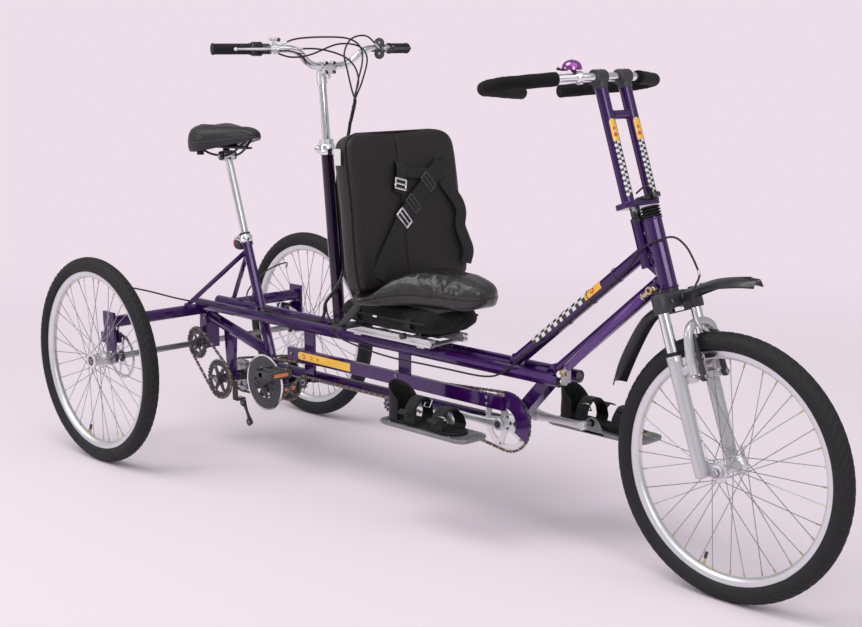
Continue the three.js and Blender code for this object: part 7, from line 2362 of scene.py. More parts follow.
@dataclass
class CaptainBar:
    """The rear rider's bar on its post, with grips, shifters, brake levers and cable loops.

    Attributes:
        grip_start: Place of the high bend, where the straight end starts.
        grip_end: Place of the bar's end.
        clamp: Place of the clamp on the bar.
    """

    grip_start: Point = (-0.392, 0.132, 1.309)
    grip_end: Point = (-0.471, 0.375, 1.309)
    clamp: Point = (-0.416, 0.0, 1.254)

    def along(self, side: int, share: float) -> Vector:
        """Returns a point on one straight end of the bar."""
        start, end = (Vector((p[0], side * p[1], p[2])) for p in (self.grip_start, self.grip_end))
        return start.lerp(end, share)

    def bar(self) -> None:
        """Builds the bent bar, the post, the stem and its clamp."""
        mould = Mould("captain_bar_tube", CHROME)
        corners = [self.along(-1, 1), self.along(-1, 0), Vector((-0.410, -0.070, 1.258)),
                   Vector((-0.410, 0.070, 1.258)), self.along(1, 0), self.along(1, 1)]
        mould.tube(rounded_line(corners, 0.034, 8), 0.0111, 32)
        mould.tube([(-0.410, y, 1.258) for y in (-0.034, -0.026, 0.026, 0.034)],
                   [0.0111, 0.0127, 0.0127, 0.0111], 32)
        top, foot = on_column(1.242), on_column(0.85)
        mould.rod(foot, top, 0.0124, 40)
        neck = [on_column(1.205), on_column(1.236), top.lerp(Vector(self.clamp), 0.55), Vector(self.clamp)]
        mould.use(ALLOY).tube(smooth_line(neck, 6), [0.0155 - 0.00012 * i for i in range(19)], 32)
        mould.use(STEEL).bolt(on_column(1.246), (COLUMN_TOP - COLUMN_FOOT), 0.0085, 0.005)
        centre = Vector(self.clamp)
        mould.use(ALLOY).turn(mirrored([(0.0113, -0.024), (0.0172, -0.024), (0.019, -0.022), (0.019, -0.003),
                                        (0.0178, -0.002)]), centre, Y_AXIS, 56)
        for y in (-0.015, 0.015):
            for rise in (-1, 1):
                spot = centre + Vector((0.0165, y, rise * 0.0135))
                mould.use(ALLOY).rod(spot - X_AXIS * 0.014, spot, 0.0058, 20)
                mould.use(DARK_STEEL).bolt(spot, X_AXIS, 0.0043, 0.0035)
        mould.use(ALLOY).rod(centre - Z_AXIS * 0.016 - X_AXIS * 0.004,
                             centre - Z_AXIS * 0.03 + X_AXIS * 0.012, 0.0062, 20)
        mould.build("captain_bar_set", "chrome", ["captain_bar"])

    def grip(self, side: int) -> None:
        """Builds one ribbed grip with its flanges.

        Args:
            side: -1 for the right, 1 for the left.
        """
        name = SIDES[side]
        inner, end = self.along(side, 1 - 0.112 / 0.2555), self.along(side, 1)
        axis = unit(end - inner)
        profile = [(0.0115, 0.0), (0.0165, 0.0), (0.0168, 0.0025), (0.0152, 0.004)]
        for i in range(17):
            base = 0.006 + i * 0.0058
            profile += [(0.0146, base), (0.0157, base + 0.0012), (0.0157, base + 0.0034),
                        (0.0146, base + 0.0046)]
        profile += [(0.0152, 0.1065), (0.0166, 0.1075), (0.0168, 0.111), (0.0158, 0.1128), (0.0, 0.1134),
                    (0.0, 0.1122), (0.0115, 0.1122)]
        mould = Mould(f"captain_grip_{name}_rubber", GRIP_RUBBER)
        mould.turn(profile, inner, axis, 44)
        mould.build("captain_bar_set", "rubber", [f"captain_grip_{name}"])

    def controls(self, side: int) -> None:
        """Builds the shifter, the lever's bracket and the small clamps on one end.

        Args:
            side: -1 for the right, 1 for the left.
        """
        name = SIDES[side]
        axis = unit(self.along(side, 1) - self.along(side, 0))
        mould = Mould(f"captain_controls_{name}", BLACK_PLASTIC)
        start = self.along(side, 0.335)
        mould.use(BLACK_PAINT).turn([
            (0.0113, 0), (0.0142, 0), (0.0152, 0.002), (0.0152, 0.017), (0.0142, 0.019), (0.0113, 0.019),
        ], start, axis, 36)
        pivot = self.along(side, 0.44) + Vector((0.042, 0, 0))
        arm = [self.along(side, 0.39) + X_AXIS * 0.012,
               self.along(side, 0.41) + X_AXIS * 0.026 - Z_AXIS * 0.0035,
               pivot - Z_AXIS * 0.0095]
        mould.tube(smooth_line(arm, 5), [0.0085 - 0.00025 * i for i in range(11)], 20)
        mould.use(STEEL).bolt(pivot + Z_AXIS * 0.005, Z_AXIS, 0.0052, 0.0028)
        mould.use(DARK_STEEL).rod(pivot - Z_AXIS * 0.0135, pivot - Z_AXIS * 0.005, 0.0062, 24)
        barrel = self.along(side, 0.385) + X_AXIS * 0.028
        mould.use(ALLOY).rod(barrel, barrel - axis * 0.024 + X_AXIS * 0.004, 0.0046, 20)
        mould.rod(barrel - axis * 0.008, barrel - axis * 0.013, 0.0062, 10)
        if side < 0:
            body = [(0.0113, 0), (0.0188, 0.0), (0.0206, 0.003), (0.0206, 0.008)]
            for i in range(6):
                base = 0.009 + i * 0.0033
                body += [(0.0192, base), (0.0202, base + 0.0008), (0.0202, base + 0.0022),
                         (0.0192, base + 0.003)]
            body += [(0.0196, 0.0296), (0.0176, 0.032), (0.0113, 0.032)]
            mould.use(DARK_STEEL).turn(body, self.along(side, 0.425), axis, 44)
            spot = self.along(side, 0.28) + Z_AXIS * 0.004
            mould.use(ALLOY).turn(mirrored([(0.0113, -0.006), (0.0145, -0.006), (0.0152, 0)]),
                                  self.along(side, 0.26), axis, 32)
            mould.rod(spot + Z_AXIS * 0.008, spot + Z_AXIS * 0.03, 0.0042, 20)
            mould.rod(spot + Z_AXIS * 0.024 - axis * 0.01, spot + Z_AXIS * 0.024 + axis * 0.012, 0.0052, 20)
            mould.use(BLACK_PLASTIC).ball(spot + Z_AXIS * 0.022 - axis * 0.015, (0.006, 0.006, 0.006))
        else:
            middle = self.along(side, 0.27)
            for lift in (-1, 1):
                disc = middle + Z_AXIS * lift * 0.0165 + X_AXIS * 0.012
                mould.use(BLACK_PLASTIC).turn([
                    (0.0, -0.0075), (0.0125, -0.0075), (0.0152, -0.005), (0.0155, 0.0035), (0.0135, 0.0072),
                    (0.005, 0.008), (0.0, 0.008),
                ], disc, unit(Vector((0.75, -0.65, 0.1))), 40)
                mould.use(STEEL).bolt(disc + unit(Vector((0.75, -0.65, 0.1))) * 0.0078,
                                      Vector((0.75, -0.65, 0.1)), 0.004, 0.002)
            mould.use(ALLOY).turn(mirrored([(0.0113, -0.008), (0.0148, -0.008), (0.0156, 0)]),
                                  self.along(side, 0.31), axis, 32)
            mould.rod(self.along(side, 0.31), self.along(side, 0.31) + Vector((0.006, 0, 0.024)), 0.0042, 16)
        mould.build("captain_bar_set", "alloy")

    def lever(self, side: int) -> None:
        """Builds one curved brake lever with its ball end.

        Args:
            side: -1 for the right, 1 for the left.
        """
        name = SIDES[side]
        pivot = self.along(side, 0.44) + Vector((0.042, 0, 0))
        run = unit(self.along(side, 1) - self.along(side, 0))
        ahead = unit(Vector((-run.y, run.x, 0)))
        if ahead.x < 0:
            ahead = -ahead
        mould = Mould(f"brake_lever_{name}_blade", ALLOY if side < 0 else BLACK_PAINT)
        rings = []
        table = [(-0.004, 0, 6.2, 4.2), (0.006, 0.0008, 6.4, 4.2), (0.02, 0.002, 5.6, 3.8),
                 (0.042, 0.0012, 5.0, 3.5), (0.066, -0.0012, 5.2, 3.4), (0.086, -0.001, 5.6, 3.2),
                 (0.1, 0.0022, 4.6, 3.0)]
        for reach, bow, wide, thick in table:
            centre = pivot + run * reach + ahead * bow
            rings.append(squared_ring(centre, ahead * wide / MM_PER_METRE, Z_AXIS * thick / MM_PER_METRE,
                                      0.8, 20))
        mould.loft(rings)
        mould.ball(pivot + run * 0.1 + ahead * 0.0022, (0.0062, 0.0062, 0.005))
        mould.build(f"lever_{name}", "black_plastic", [f"brake_lever_{name}"])

    def cables(self) -> None:
        """Builds the four cable loops and the sleeve that they gather in."""
        loops = (
            ((-406.3, -176, 1323.2), (-392, -130, 1338), (-386, -30, 1343), (-384, 60, 1338),
             (-372, 96, 1312), (-352, 84, 1270),
             (-326, 44, 1216), (-302, 12, 1176)),
            ((-405.6, -214, 1303), (-388, -160, 1286), (-372, -100, 1292), (-378, 10, 1322), (-380, 96, 1316),
             (-366, 116, 1280),
             (-336, 70, 1216), (-304, 18, 1174)),
            ((-384, -150, 1309), (-366, -70, 1308), (-366, 20, 1288), (-366, 66, 1256), (-338, 56, 1214),
             (-304, 10, 1172)),
            ((-394.5, 190, 1311), (-384, 130, 1346), (-372, 60, 1338), (-350, 12, 1296), (-330, 8, 1240),
             (-306, 4, 1184)),
        )
        mould = Mould("captain_cables", CABLE_SLEEVE)
        for number, loop in enumerate(loops):
            path = smooth_line([Vector(p) / MM_PER_METRE
                                for p in (*loop, (-292 + number, (number - 1.5) * 2, 1160))], 9)
            mould.use(CABLE_SLEEVE).tube(path, CABLE_RADIUS, 16)
            mould.use(ALLOY).rod(path[0], path[3], 0.0035, 16)
        head_end, foot_end = Vector((-0.290, 0, 1.158)), Vector((-0.316, 0.004, 1.096))
        mould.use(CABLE_SLEEVE).tube([head_end.lerp(foot_end, s) for s in (0, 0.03, 0.97, 1)],
                                     [0.0042, 0.0053, 0.0053, 0.0042], 24)
        tie = head_end.lerp(foot_end, 0.3)
        mould.use(BLACK_PLASTIC).turn(mirrored([(0.005, -0.0016), (0.0062, -0.0016)]), tie,
                                      foot_end - head_end, 24)
        mould.block(tie + Vector((0.006, -0.002, 0)), (0.006, 0.0045, 0.0042))
        mould.build("captain_bar_set", "rubber", ["bar_cables"])

    def build(self) -> None:
        """Builds the bar and all that it carries."""
        self.bar()
        for side in (-1, 1):
            self.grip(side)
            self.controls(side)
            self.lever(side)
        self.cables()


@dataclass
class FrontBar:
    """The front rider's twin-tube mast and its padded loop bar.

    Attributes:
        spread: How far each mast tube is from the middle, in millimetres.
        tube_x: Where the tubes stand ahead of the steering axis.
        bar_z: Height of the bar along the axis.
    """

    spread: float = 47
    tube_x: float = -24
    bar_z: float = 540

    def mast(self) -> None:
        """Builds the quill, the plate, the tubes, the cross tube, the clamps and the printed bands."""
        mould = Mould("bar_mast_tubes", VIOLET)
        mould.use(STEEL).rod(head(-46, 0, 106), head(-46, 0, 178), 0.0124, 32)
        mould.use(BLACK_PAINT).turn([
            (0.0125, 0.0), (0.0165, 0.0), (0.0172, 0.0015), (0.0172, 0.009), (0.0155, 0.0112),
            (0.0125, 0.0112),
        ], head(-46, 0, 176.6), head_way(0, 0, 1), 40)
        mould.use(DARK_STEEL).rod(head(-46, 0, 186), head(-46, 0, 214), 0.0128, 32)
        outline = mirrored([(-0.016, -0.052), (-0.006, -0.063), (0.026, -0.063), (0.038, -0.053)])
        mould.use(VIOLET).plate(outline, head(-46, 0, 219), head_way(1, 0, 0), head_way(0, 1, 0),
                                0.014, 0.0022)
        for side in (-1, 1):
            y = side * self.spread
            low, high = head(self.tube_x, y, 224), head(self.tube_x, y, self.bar_z - 12)
            mould.use(VIOLET).rod(low, high, 0.016, 44)
            mould.weld(low, high, 0.016, 0, 0.0026)
            edge = head(self.tube_x, y, 376)
            facing = head_way(0.93, -0.36, 0)
            checked(mould, head(self.tube_x, y, 240), edge, 0.016, facing, 0.52, 20)
            mould.use(YELLOW_DECAL)
            wrapped(mould, edge, head(self.tube_x, y, 432), 0.016, facing, 0.56, (False, True))
            for z, size in ((392, 0.3), (408, 0.22)):
                mould.use(DOT_RED)
                wrapped(mould, head(self.tube_x, y, z - size * 16), head(self.tube_x, y, z + size * 16),
                        0.0164, facing, size, (True, True))
            collar = [(0.0112, -0.021), (0.017, -0.021), (0.019, -0.0185), (0.019, -0.002), (0.0183, -0.0012)]
            mould.use(BLACK_PAINT).turn(mirrored(collar), head(self.tube_x, y, self.bar_z), Y_AXIS, 52)
            mould.turn([(0.0162, 0), (0.0182, 0.002), (0.0182, 0.022), (0.0162, 0.026), (0.0, 0.026),
                        (0.0, 0.0)],
                       head(self.tube_x, y, self.bar_z - 30), head_way(0, 0, 1), 40)
            for back in (-1, 1):
                spot = head(self.tube_x + back * 14, y - 10, self.bar_z + 8)
                mould.use(BLACK_PAINT).rod(spot - head_way(0, 0, 1) * 0.012, spot + head_way(0, 0, 1) * 0.005,
                                           0.0055, 18)
                mould.use(STEEL).bolt(spot + head_way(0, 0, 1) * 0.005, head_way(0, 0, 1), 0.0043, 0.003)
        mould.use(VIOLET).rod(head(self.tube_x, -self.spread, 444), head(self.tube_x, self.spread, 444),
                              0.0112, 32)
        for side in (-1, 1):
            mould.weld(head(self.tube_x, side * self.spread, 444), head(self.tube_x, 0, 444), 0.0112,
                       0.016, 0.0024)
        mould.use(DARK_STEEL).block(head(-6, 34, 233), (0.03, 0.026, 0.014), HEAD_TURN, 0.003)
        mould.use(BLACK_PAINT).block(head(-20, 6, 230), (0.034, 0.03, 0.01), HEAD_TURN, 0.003)
        mould.use(STEEL).bolt(head(-46, 0, 226), head_way(0, 0, 1), 0.009, 0.005)
        mould.use(CHROME).rod(head(-40, -14, 205), head(-40, -14, 214), 0.0052, 6)
        loop = [head(-6, 30, 238), head(2, 14, 252), head(4, -10, 254), head(-4, -34, 242)]
        mould.use(CABLE_SLEEVE).tube(smooth_line(loop, 7), CABLE_RADIUS, 14)
        mould.build("front_bar_set", "frame_paint", ["bar_mast"])

    def loop_side(self, side: int) -> list[Vector]:
        """Returns the corners of one half of the loop bar.

        Args:
            side: -1 for the right, 1 for the left.

        Returns:
            The corners, from the clamp to the end.
        """
        centre = head(self.tube_x, 0, self.bar_z)
        table = ((0, 79, 0), (32, 136, 2), (92, 303, 14), (150, 303, 26), (227, 78, 42))
        return [centre + Vector((-back, side * y, -drop)) / MM_PER_METRE for back, y, drop in table]

    def loop_bar(self) -> None:
        """Builds the bright bar and the foam sleeves."""
        mould = Mould("loop_bar_tube", CHROME)
        halves = [rounded_line(self.loop_side(side), 0.024, 8) for side in (-1, 1)]
        mould.tube([*reversed(halves[0]), *halves[1]], 0.011, 32)
        mould.build("front_bar_set", "black_paint", ["front_bar"])
        for side, name in SIDES.items():
            _, shoulder, outer, tip, end = self.loop_side(side)
            begin = shoulder.lerp(outer, 0.12)
            path = rounded_line([begin, outer, tip, end + unit(end - tip) * 0.006], 0.03, 12)
            tube = Mould(f"foam_{name}_sleeve", FOAM)
            dense = [path[0]]
            for point in path[1:]:
                pieces = max(1, int((point - dense[-1]).length / 0.018))
                start = dense[-1]
                dense += [start.lerp(point, (i + 1) / pieces) for i in range(pieces)]
            radii = [0.0172 + 0.0004 * math.sin(i * 1.9) + 0.0003 * math.sin(i * 0.7)
                     for i in range(len(dense))]
            radii[0], radii[-1] = 0.0155, 0.0148
            dense.insert(1, dense[0].lerp(dense[1], 0.12))
            radii.insert(1, 0.0172)
            dense.insert(-1, dense[-1].lerp(dense[-2], 0.15))
            radii.insert(-1, 0.017)
            tube.tube(dense, radii, 36)
            tube.build("front_bar_set", "rubber", [f"foam_{name}"])

    def bell(self) -> None:
        """Builds the bell, its striker and its clamp."""
        edge, shoulder = self.loop_side(-1)[:2]
        spot, run = edge.lerp(shoulder, 0.42), unit(shoulder - edge)
        mould = Mould("bell_dome", BELL_PURPLE)
        base = spot + Vector((-0.024, 0, 0.011 + 0.008))
        mould.turn([
            (0.0, 0.0028), (0.0225, 0.0024), (0.0245, 0.0), (0.0252, 0.0006), (0.0248, 0.006),
            (0.0225, 0.013), (0.018, 0.0186), (0.011, 0.0225),
            (0.004, 0.0238), (0.0, 0.024),
        ], base, Z_AXIS, 56)
        mould.use(CHROME).bolt(base + Z_AXIS * 0.0238, Z_AXIS, 0.0034, 0.0016)
        mould.use(CHROME).turn(mirrored([(0.0112, -0.007), (0.0152, -0.007), (0.016, -0.005)]), spot, run, 40)
        mould.use(BLACK_PLASTIC).rod(spot + Vector((-0.010, 0, 0.010)), base + Z_AXIS * 0.002, 0.0052, 24)
        lever = [base + Vector((-0.004, -0.012, 0.0)), base + Vector((-0.01, -0.026, 0.0)),
                 base + Vector((-0.014, -0.038, 0.003))]
        mould.use(DARK_STEEL).tube(smooth_line(lever, 5), [0.0026] * 8 + [0.0036] * 3, 16)
        mould.build("front_bar_set", "chrome", ["bell"])

    def build(self) -> None:
        """Builds the mast, the bar and the bell."""
        self.mast()
        self.loop_bar()
        self.bell()


# Frame details, saddle, foot supports and changer


def spot(x: float, y: float, z: float) -> Vector:
    """Returns a point given in millimetres."""
    return Vector((x, y, z)) / MM_PER_METRE


@dataclass
class FrameDetails:
    """Welds, collars, bolts, prints, calipers and cables that the frame carries."""

    def tubes(self) -> None:
        """Builds the welds on the main tubes, the dark end discs, the head tube's rings, bolts and printed
        bands.
        """
        mould = Mould("frame_joints", VIOLET)
        joints = (
            (spot(354, 0, 478), spot(786, 0, 826), 18.5, 14), (spot(504, 0, 475), spot(846, 0, 766), 19, 12),
            (head(0, 0, 88), spot(354, 0, 478), 18.5, 23), (head(0, 0, 26), spot(504, 0, 475), 19, 23),
            (spot(-686, 0, 465), spot(-835, 0, 700), 16, 6),
            (spot(-1050, -100, 454), spot(-840, 0, 690), 8, 14),
            (spot(-1050, 100, 454), spot(-840, 0, 690), 8, 14),
            (spot(-1050, 0, 420), spot(-714.8, 0, 340), 19, 22),
            (spot(-372, 0, 484), spot(-420, 0, 1010), 19, 3),
        )
        for start, end, radius, other in joints:
            mould.weld(start, end, radius / MM_PER_METRE, other / MM_PER_METRE, 0.0026)
        for y in (-40, 40):
            for x, way in ((-1048, -1), (550, 1)):
                mould.use(DARK_STEEL).rod(spot(x - way * 1.5, y, 465), spot(x + way * 1.2, y, 465),
                                          0.0158, 32)
        for z in (0, 172):
            mould.use(VIOLET).turn([(0.0222, 0), (0.0245, 0.001), (0.0248, 0.003), (0.0245, 0.0052),
                                    (0.0222, 0.006)],
                                   head(0, 0, z), head_way(0, 0, 1), 56)
        for x, z in ((-30, 146), (-14, 150), (-34, 118), (-30, 74), (-16, 46), (-36, 96)):
            mould.use(STEEL).bolt(head(x, -4.2, z), -Y_AXIS, 0.0036, 0.0028)
        facing = Vector((0.25, -0.75, 0.62))
        low, high = spot(354, 0, 478), spot(786, 0, 826)
        checked(mould, low.lerp(high, 0.19), low.lerp(high, 0.595), 0.0185, facing, 0.62, 17)
        mould.use(YELLOW_DECAL)
        wrapped(mould, low.lerp(high, 0.595), low.lerp(high, 0.71), 0.0185, facing, 0.62)
        ring = low.lerp(high, 0.652)
        for finish, size, lift in ((DOT_RED, 0.4, 0.0004), (YELLOW_DECAL, 0.2, 0.0007)):
            reach = unit(high - low) * size * 0.0185
            mould.use(finish)
            wrapped(mould, ring - reach, ring + reach, 0.0185 + lift, facing, size, (True, True))
        mould.build("frame", "frame_paint")

    def beam_prints(self) -> None:
        """Builds the rounded yellow print with its three dots and the bolts of the side beam."""
        mould = Mould("side_beam_prints", YELLOW_DECAL)
        pill = [(-0.252, 0.387), (-0.252, 0.3625), (-0.485, 0.3625)]
        pill += [(-0.485 - 0.01225 * math.sin(math.pi * i / 12),
                  0.37475 - 0.01225 * math.cos(math.pi * i / 12)) for i in range(1, 12)]
        pill.append((-0.485, 0.387))
        mould.plate(pill, (0, -0.0631, 0), X_AXIS, Z_AXIS, 0.0012, 0.0003)
        for x, radius in ((-0.468, 0.0078), (-0.432, 0.006), (-0.402, 0.0038)):
            ring = [
                (x + radius * math.cos(FULL_TURN * i / 24), 0.3748 + radius * math.sin(FULL_TURN * i / 24))
                for i in range(24)
            ]
            mould.use(DOT_RED).plate(ring, (0, -0.0636, 0), X_AXIS, Z_AXIS, 0.0012, 0.0002)
            core = [(a + (x - a) * 0.45, b + (0.3748 - b) * 0.45) for a, b in ring]
            mould.use(YELLOW_DECAL if radius > 0.005
                      else DOT_RED).plate(core, (0, -0.064, 0), X_AXIS, Z_AXIS, 0.0012, 0.0002)
        for x, z in ((-0.53, 0.375), (-0.05, 0.384), (-0.05, 0.366), (0.31, 0.384), (0.31, 0.366)):
            mould.use(STEEL).bolt((x, -0.0632, z), -Y_AXIS, 0.0046, 0.0034)
        mould.build("frame")

    def collars(self) -> None:
        """Builds the seat collar with its quick lever and reflector, and the column's collar."""
        mould = Mould("quick_collars", CHROME)
        seat_way = unit(spot(-835, 0, 700) - spot(-686, 0, 254))
        column_way = unit(COLUMN_TOP - COLUMN_FOOT)
        for centre, way, radius, height in ((spot(-835, 0, 699), seat_way, 0.0205, 0.022),
                                            (Vector(COLUMN_TOP), column_way, 0.0225, 0.03)):
            inner = radius - 0.0035
            mould.use(CHROME).turn([
                (inner, -height / 2), (radius, -height / 2), (radius + 0.0015, -height / 2 + 0.002),
                (radius + 0.0015, height / 2 - 0.002),
                (radius, height / 2), (inner, height / 2),
            ], centre, way, 52)
            lug = centre - X_AXIS * (radius + 0.008)
            mould.block(lug, (0.018, 0.022, height * 0.8), None, 0.002)
            pin = lug - X_AXIS * 0.002
            mould.use(STEEL).rod(pin - Y_AXIS * 0.02, pin + Y_AXIS * 0.019, 0.003, 20)
            mould.use(CHROME).rod(pin - Y_AXIS * 0.018, pin - Y_AXIS * 0.011, 0.0072, 28)
            mould.rod(pin + Y_AXIS * 0.011, pin + Y_AXIS * 0.018, 0.0066, 10)
            handle = [pin - Y_AXIS * 0.018, pin + Vector((0.012, -0.023, 0.001)),
                      pin + Vector((0.034, -0.024, -0.002)), pin + Vector((0.05, -0.022, -0.004))]
            mould.tube(smooth_line(handle, 6), [0.0045] * 6 + [0.0038] * 7 + [0.0046] * 6, 20)
        mould.use(BLACK_PLASTIC).turn([(0.0135, 0), (0.0175, 0), (0.0178, 0.005), (0.0142, 0.0065)],
                                      spot(-840, 0, 713), seat_way, 40)
        shell = spot(-860, -4, 684)
        mould.use(BLACK_PLASTIC).turn([(0.0, -0.016), (0.015, -0.016), (0.0215, -0.008), (0.0222, 0.003),
                                       (0.0, 0.003)], shell, -X_AXIS, 44)
        mould.use(RED_REFLECTOR).turn([(0.0, 0.0032), (0.0218, 0.0032), (0.022, 0.0085), (0.0195, 0.0115),
                                       (0.0, 0.0135)], shell, -X_AXIS, 44)
        mould.build("frame")

    def axle_ends(self) -> None:
        """Builds the bolts of the end plates, the bearing caps and both calipers."""
        mould = Mould("axle_fittings", DARK_STEEL)
        for side in (-1, 1):
            face = side * 387.3
            mould.use(STEEL).turn([(0.0095, 0), (0.0225, 0), (0.024, 0.002), (0.024, 0.0075),
                                   (0.0215, 0.0095), (0.0095, 0.0095)],
                                  spot(-1050, side * 384, 330), Y_AXIS * side, 52)
            for turn in range(4):
                angle = FULL_TURN * (turn + 0.5) / 4
                mould.use(DARK_STEEL).bolt(
                    spot(-1050 + 18 * math.cos(angle), side * 393, 330 + 18 * math.sin(angle)),
                    Y_AXIS * side, 0.0032, 0.002)
            for x, z in ((-1050, 462), (-1050, 426)):
                mould.use(STEEL).bolt(spot(x, face, z), Y_AXIS * side, 0.0058, 0.004)
            body = spot(-1090, side * 355.3, 391)
            mould.use(BLACK_PAINT).block(body + Vector((-0.002, side * 0.0095, 0)), (0.05, 0.011, 0.036),
                                         None, 0.004)
            mould.block(body + Vector((-0.002, -side * 0.0095, 0)), (0.05, 0.011, 0.036), None, 0.004)
            mould.block(body + Vector((-0.022, 0, 0.012)), (0.012, 0.022, 0.016), None, 0.003)
            mould.use(ALLOY).turn([(0.0, 0), (0.0105, 0), (0.0115, 0.0015), (0.0105, 0.0035), (0.0, 0.0042)],
                                  body + Vector((-0.002, -side * 0.0148, 0)), -Y_AXIS * side, 36)
            arm = [body + Vector((-0.002, -side * 0.018, 0)), body + Vector((0.004, -side * 0.0195, 0.018)),
                   body + Vector((0.012, -side * 0.019, 0.038))]
            mould.use(ALLOY).tube(smooth_line(arm, 5), [0.0052] * 5 + [0.0042] * 6, 16)
            mould.use(STEEL).bolt(body + Vector((0.012, -side * 0.0225, 0.038)), -Y_AXIS * side,
                                  0.0042, 0.002)
            bridge = [body + Vector((0.0, side * 0.0145, 0.01)), body + Vector((0.012, side * 0.021, 0.022)),
                      spot(-1064, side * 378, 424)]
            mould.use(ALLOY).tube(smooth_line(bridge, 5), 0.0055, 16)
        for turn in range(4):
            mould.use(STEEL).bolt(spot(-1050 + (10 if turn % 2 else -10), -26.4, 330 + (turn // 2) * 84),
                                  -Y_AXIS, 0.0045, 0.003)
        mould.build("frame")

    def cables(self) -> None:
        """Builds the frame's cables along their guides, with ferrules and ties."""
        loom = ((-317, 3.5, 1095), (-331, 7, 1056), (-362, 12, 1004), (-387, 16, 950), (-393, 16.5, 900),
                (-383.5, 16.5, 800), (-374, 16.5, 700), (-362, 5, 640), (-354, -34, 592), (-352, -70, 560),
                (-356, -74, 524), (-372, -76, 504), (-420, -74, 498), (-470, -72, 496))
        tails = (
            ((-470, -72, 496), (-560, -76, 492), (-680, -92, 492), (-800, -140, 500), (-900, -220, 520),
             (-960, -300, 548),
             (-1010, -352, 560), (-1072, -352, 540)),
            ((-470, -72, 496), (-580, -66, 494), (-720, -52, 500), (-850, 10, 512), (-920, 110, 548),
             (-980, 220, 566),
             (-1030, 320, 566), (-1072, 352, 540)),
            ((-352, -70, 560), (-342, -72, 526), (-322, -70, 496), (-296, -68, 462), (-150, -66, 440),
             (-20, -70, 436),
             (40, -70, 438), (160, -65, 438), (300, -61, 440), (372, -61.6, 465), (436, -42, 524),
             (493, -15.6, 571),
             (569, -15.2, 632), (689, -15.2, 729), (752, -20, 786), (790, -26, 832), (836, -27, 858),
             (884, -26, 872),
             (916, -20, 854), (936, -12, 820), (950, -6, 786)),
        )
        mould = Mould("frame_cable_runs", CABLE_SLEEVE)
        path = smooth_line([spot(*p) for p in loom], 8)
        mould.tube(path, 0.005, 20)
        for place in (34, 46, 56):
            mould.use(BLACK_PLASTIC).turn(mirrored([(0.0046, -0.0018), (0.0059, -0.0014)]),
                                          path[place], path[place + 1] - path[place], 24)
        for line in tails:
            path = smooth_line([spot(*p) for p in line], 7)
            mould.use(CABLE_SLEEVE).tube(path, CABLE_RADIUS, 14)
            mould.use(ALLOY).rod(path[-1] - unit(path[-1] - path[-3]) * 0.012, path[-1], 0.0036, 16)
        for share in (0.2, 0.5, 0.8):
            place = spot(484, 0, 583).lerp(spot(752, 0, 800), share)
            mould.use(BLACK_PLASTIC).turn(mirrored([(0.0188, -0.0016), (0.0202, -0.0012)]), place,
                                          spot(752, 0, 800) - spot(484, 0, 583), 40)
            mould.block(place + Vector((0.006, -0.0165, -0.0105)), (0.006, 0.005, 0.005), None, 0.001)
        mould.build("frame", "rubber", ["frame_cables"])

    def build(self) -> None:
        """Builds all the details."""
        self.tubes()
        self.beam_prints()
        self.collars()
        self.axle_ends()
        self.cables()


